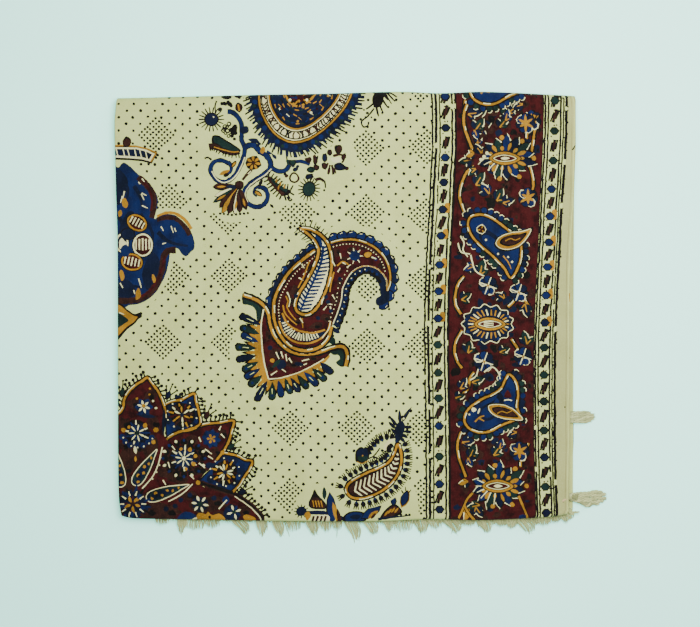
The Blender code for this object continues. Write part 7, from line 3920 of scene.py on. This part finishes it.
    def stray(self, work: YarnWork, chance: random.Random, spec: tuple[float, ...]) -> None:
        """Adds a single yarn that lies apart from the bundles.

        Args:
            work: The yarn work that takes it.
            chance: The draws that make it uneven.
            spec: Its place, reach, sway and lean.
        """
        x, reach, width, lean = spec
        fold_y, height = BOTTOM_FOLD.at(x), LAYERS[self.layer]
        path = []
        for stop in range(9):
            t = stop / 8
            y = fold_y + 0.002 - (reach + 0.002) * t
            px = x + lean * t * t + width * math.sin(5 * t + 40 * x)
            past = max(fold_y - y + self.overhang, 0.0)
            path.append(lifted(px, y, max(height - self.droop * past * past, 0.0005)))
        work.spin(path, [0.00034] * 8 + [0.00012], 5, chance.uniform(0.1, 0.5))

    def build(self, cloth: FoldedCloth, material: bpy.types.Material) -> bpy.types.Object:
        """Makes the fringe and dresses it.

        Args:
            cloth: The cloth that it hangs from.
            material: Its finish.

        Returns:
            The finished piece.
        """
        work = YarnWork(self.name)
        chance = random.Random(self.seed)
        self.heading(work, cloth)
        middle = LAYERS[self.layer]
        step = (PLY + PLY_GAP) / 2
        rows = ((self.upper, middle + step, self.upper_yarns),)
        rows += ((self.lower, middle - step, self.lower_yarns),)
        for bundles, height, yarns in rows:
            for spec in bundles:
                self.bundle(work, chance, spec, height, yarns)
        for spec in self.strays:
            self.stray(work, chance, spec)
        piece = work.finish(material)
        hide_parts(self.name.replace("yarn_", ""))
        return piece


@dataclass
class SideTassel:
    """A tassel at the right edge: strands of soft twisted yarn out of a hidden flat head."""

    name: str
    middle_y: float
    head_width: float
    strands: Sequence[tuple[float, float, float]]
    strand_radius: float
    pitch: float
    sway: float
    knotted: bool
    seed: int
    root_x: float = 0.2165
    head_x: float = 0.2310
    shoulder_x: float = 0.2400
    root_z: float = 0.0043

    def build(self, material: bpy.types.Material) -> bpy.types.Object:
        """Makes the tassel and dresses it.

        Args:
            material: Its finish.

        Returns:
            The finished piece.
        """
        work = YarnWork(self.name)
        chance = random.Random(self.seed)
        count = len(self.strands)
        lying = self.strand_radius * 0.86
        for index, (middle_y, tip_y, tip_x) in enumerate(self.strands):
            side = (index + 0.5) / count - 0.5
            head_y = self.middle_y + side * self.head_width
            narrow_y = self.middle_y + side * self.head_width * (0.5 if self.knotted else 0.9)
            bend = self.sway * (1 if index % 2 else -1) * chance.uniform(0.7, 1.1)
            reach = tip_x - self.shoulder_x
            spots = [
                (self.root_x, narrow_y, self.root_z),
                (self.head_x - 0.006, narrow_y, self.root_z + 0.0001),
                (self.head_x, head_y, self.root_z + 0.0002),
                (self.shoulder_x, (head_y + middle_y) / 2, self.root_z - 0.0010),
                (self.shoulder_x + 0.38 * reach, middle_y + bend, lying + 0.0003),
                (self.shoulder_x + 0.66 * reach, (middle_y + tip_y) / 2 - bend, lying),
                (self.shoulder_x + 0.88 * reach, tip_y + 0.4 * bend, lying), (tip_x, tip_y, lying * 0.9)
            ]
            path = self.curve([Vector(spot) for spot in spots], 5)
            shades = [0.2 + 0.7 * chance.random() for _ in range(3)]
            work.twist(path, self.strand_radius, 3, self.pitch, shades, 6, 0.8, 0.9)
            self.fuzz(work, chance, path[-1], 7)
        if self.knotted:
            # The wrap and the ball take the darkest yarn tones, painted shade for the knot's dark crevices.
            self.wrap(work, chance)
            ball = Vector((0.2322, self.middle_y + 0.0002, self.root_z + 0.0008))
            work.knot(ball, Vector((0.0034, 0.0032, 0.0027)), 0.1, 9)
        piece = work.finish(material)
        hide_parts(self.name.replace("yarn_", ""))
        return piece

    @staticmethod
    def curve(points: Sequence[Vector], cuts: int) -> list[Vector]:
        """A smooth path through points.

        Args:
            points: The points.
            cuts: How many steps there are between two of them.

        Returns:
            The points along the path.
        """
        path = []
        last = len(points) - 1
        for index in range(last):
            p = [points[min(max(index + k, 0), last)] for k in (-1, 0, 1, 2)]
            for cut in range(cuts):
                t = cut / cuts
                path.append(
                    p[0] * (-0.5 * t**3 + t**2 - 0.5 * t)
                    + p[1] * (1.5 * t**3 - 2.5 * t**2 + 1)
                    + p[2] * (-1.5 * t**3 + 2 * t**2 + 0.5 * t)
                    + p[3] * (0.5 * t**3 - 0.5 * t**2)
                )
        path.append(points[-1])
        return path

    def fuzz(self, work: YarnWork, chance: random.Random, tip: Vector, count: int) -> None:
        """Adds loose fibres at a strand's cut end.

        Args:
            work: The yarn work that takes it.
            chance: The draws that make it uneven.
            tip: The strand's end.
            count: How many there are.
        """
        for _ in range(count):
            angle = chance.uniform(-0.9, 0.9)
            length = chance.uniform(0.0012, 0.0030)
            start = tip + Vector((-0.0008, chance.uniform(-0.0009, 0.0009), 0.0))
            path = []
            for stop in range(4):
                t = stop / 3
                step = Vector((math.cos(angle), math.sin(angle), 0.0)) * (length * t)
                lift = Vector((0.0, 0.0, (0.3 - t) * 0.0006))
                place = start + step + lift
                place.z = max(place.z, 0.00012)
                path.append(place)
            work.spin(path, [0.00016, 0.00013, 0.0001, 0.00005], 3, 0.9)

    def wrap(self, work: YarnWork, chance: random.Random) -> None:
        """Adds the knot: yarn wound round the head twice and over itself, in a dark tone that is painted
        shade for the crevices between its turns.

        Args:
            work: The yarn work that takes it.
            chance: The draws that make it uneven.
        """
        middle = Vector((0.2348, self.middle_y, self.root_z - 0.0002))
        for turn, slant in enumerate((-0.0011, 0.0004, 0.0014)):
            path = []
            for stop in range(17):
                angle = math.tau * stop / 16
                path.append(
                    middle + Vector(
                        (
                            slant + 0.0009 * math.sin(angle + turn), 0.0036 * math.cos(angle),
                            0.0026 * math.sin(angle)
                        )
                    )
                )
            # Painted shade: a dark yarn tone for the crevices of the knot.
            work.spin(path, [0.00085] * 17, 6, 0.25 * chance.random())


# The studio


@dataclass
class Studio:
    """A pale floor under soft light, seen from straight above."""

    floor_half: float = 1.6
    lens: float = 85.0
    frame_squares: Spot = (700.0, 627.0)

    def build(self) -> None:
        """Adds the floor, the lights and the camera."""
        bpy.ops.object.select_all(action="DESELECT")
        bpy.ops.mesh.primitive_plane_add(size=2 * self.floor_half, location=(0, 0, -0.0001))
        floor = bpy.context.object
        floor.name = "studio_floor"
        material = bpy.data.materials.new("painted_board")
        material.use_nodes = True
        shader = material.node_tree.nodes["Principled BSDF"]
        shader.inputs["Base Color"].default_value = linear("#c6fbee")
        shader.inputs["Roughness"].default_value = 0.7
        shader.inputs["Specular IOR Level"].default_value = 0.2
        shader.inputs["Emission Color"].default_value = linear("#7cf2d4")
        shader.inputs["Emission Strength"].default_value = 0.72
        floor.data.materials.append(material)
        world = bpy.context.scene.world or bpy.data.worlds.new("studio")
        bpy.context.scene.world = world
        world.use_nodes = True
        background = world.node_tree.nodes["Background"]
        background.inputs[0].default_value = linear("#eaf4f4")
        background.inputs[1].default_value = 0.75
        for name, place, turn, size, power in (
            ("overhead_softbox", (0.18, 0.24, 1.00), (0.0, 0.0, 0.0), 0.75, 22.5),
            ("side_softbox", (1.1, 0.9, 0.9), (math.radians(-42), math.radians(40), 0.0), 0.7, 8.0)
        ):
            light = bpy.data.lights.new(name, "AREA")
            light.size = size
            light.energy = power
            lamp = bpy.data.objects.new(name, light)
            lamp.location = place
            lamp.rotation_euler = turn
            bpy.context.scene.collection.objects.link(lamp)
        data = bpy.data.cameras.new("overhead_camera")
        data.lens = self.lens
        camera = bpy.data.objects.new("overhead_camera", data)
        wide = self.frame_squares[0] * SQUARE
        away = self.lens / data.sensor_width * wide
        camera.location = (
            (self.frame_squares[0] / 2 - PAPER_X) * SQUARE,
            (PAPER_Y - self.frame_squares[1] / 2) * SQUARE, HEIGHT + away
        )
        bpy.context.scene.collection.objects.link(camera)
        bpy.context.scene.camera = camera


def main() -> None:
    """Builds the pieces in order."""
    logging.basicConfig(level=logging.INFO, format="%(name)s: %(message)s")
    Studio().build()
    block = BlockPrint()
    DottedGround().draw(block, 112, 434, -322, 526)
    for motif in (ScrollSpray(), HatchedDisc(), LobedVase(), HookedPaisley()):
        motif.draw(block)
    for motif in (FoldFlowers(), CombPaisley(), StarMedallion(), FloweredBorder()):
        motif.draw(block)
    cloth = FoldedCloth()
    piece = cloth.build(block)
    yarn = SpunCotton("undyed_cotton_fringe_yarn", "#a8ae70", "#82884e", "#c1c78c", 0.0016)
    yarn = yarn.make()
    inner = KnottedFringe(
        "yarn_fringe_inner_end",
        SECOND,
        SHOWN_BUNDLES,
        KnottedFringe.row(*UNDER_SHOWN),
        16,
        17,
        11,
        strays=STRAYS,
    ).build(cloth, yarn)
    lower = KnottedFringe(
        "yarn_fringe_lower_end",
        LOWEST,
        KnottedFringe.row(*UPPER_OF_LOWEST),
        KnottedFringe.row(*LOWER_OF_LOWEST),
        8,
        7,
        12,
    ).build(cloth, yarn)
    soft = SpunCotton("soft_undyed_tassel_yarn", "#a9ae72", "#6c7041", "#c6ca90", 0.0030, 3)
    soft = soft.make()
    SideTassel(
        "yarn_side_tassel_upper",
        -0.1100,
        0.0120,
        (
            (-0.1154, -0.1143, 0.2515),
            (-0.1128, -0.1122, 0.2545),
            (-0.1101, -0.1098, 0.2554),
            (-0.1074, -0.1075, 0.2545),
            (-0.1048, -0.1056, 0.2510),
        ),
        0.00172,
        0.018,
        0.0001,
        False,
        21,
    ).build(soft)
    SideTassel(
        "yarn_side_tassel_lower",
        -0.1975,
        0.0062,
        (
            (-0.2058, -0.2046, 0.2600),
            (-0.2030, -0.2022, 0.2650),
            (-0.1996, -0.1990, 0.2680),
            (-0.1962, -0.1950, 0.2675),
            (-0.1930, -0.1924, 0.2640),
        ),
        0.00235,
        0.013,
        0.0009,
        True,
        22,
    ).build(soft)


if __name__ == "__main__":
    main()
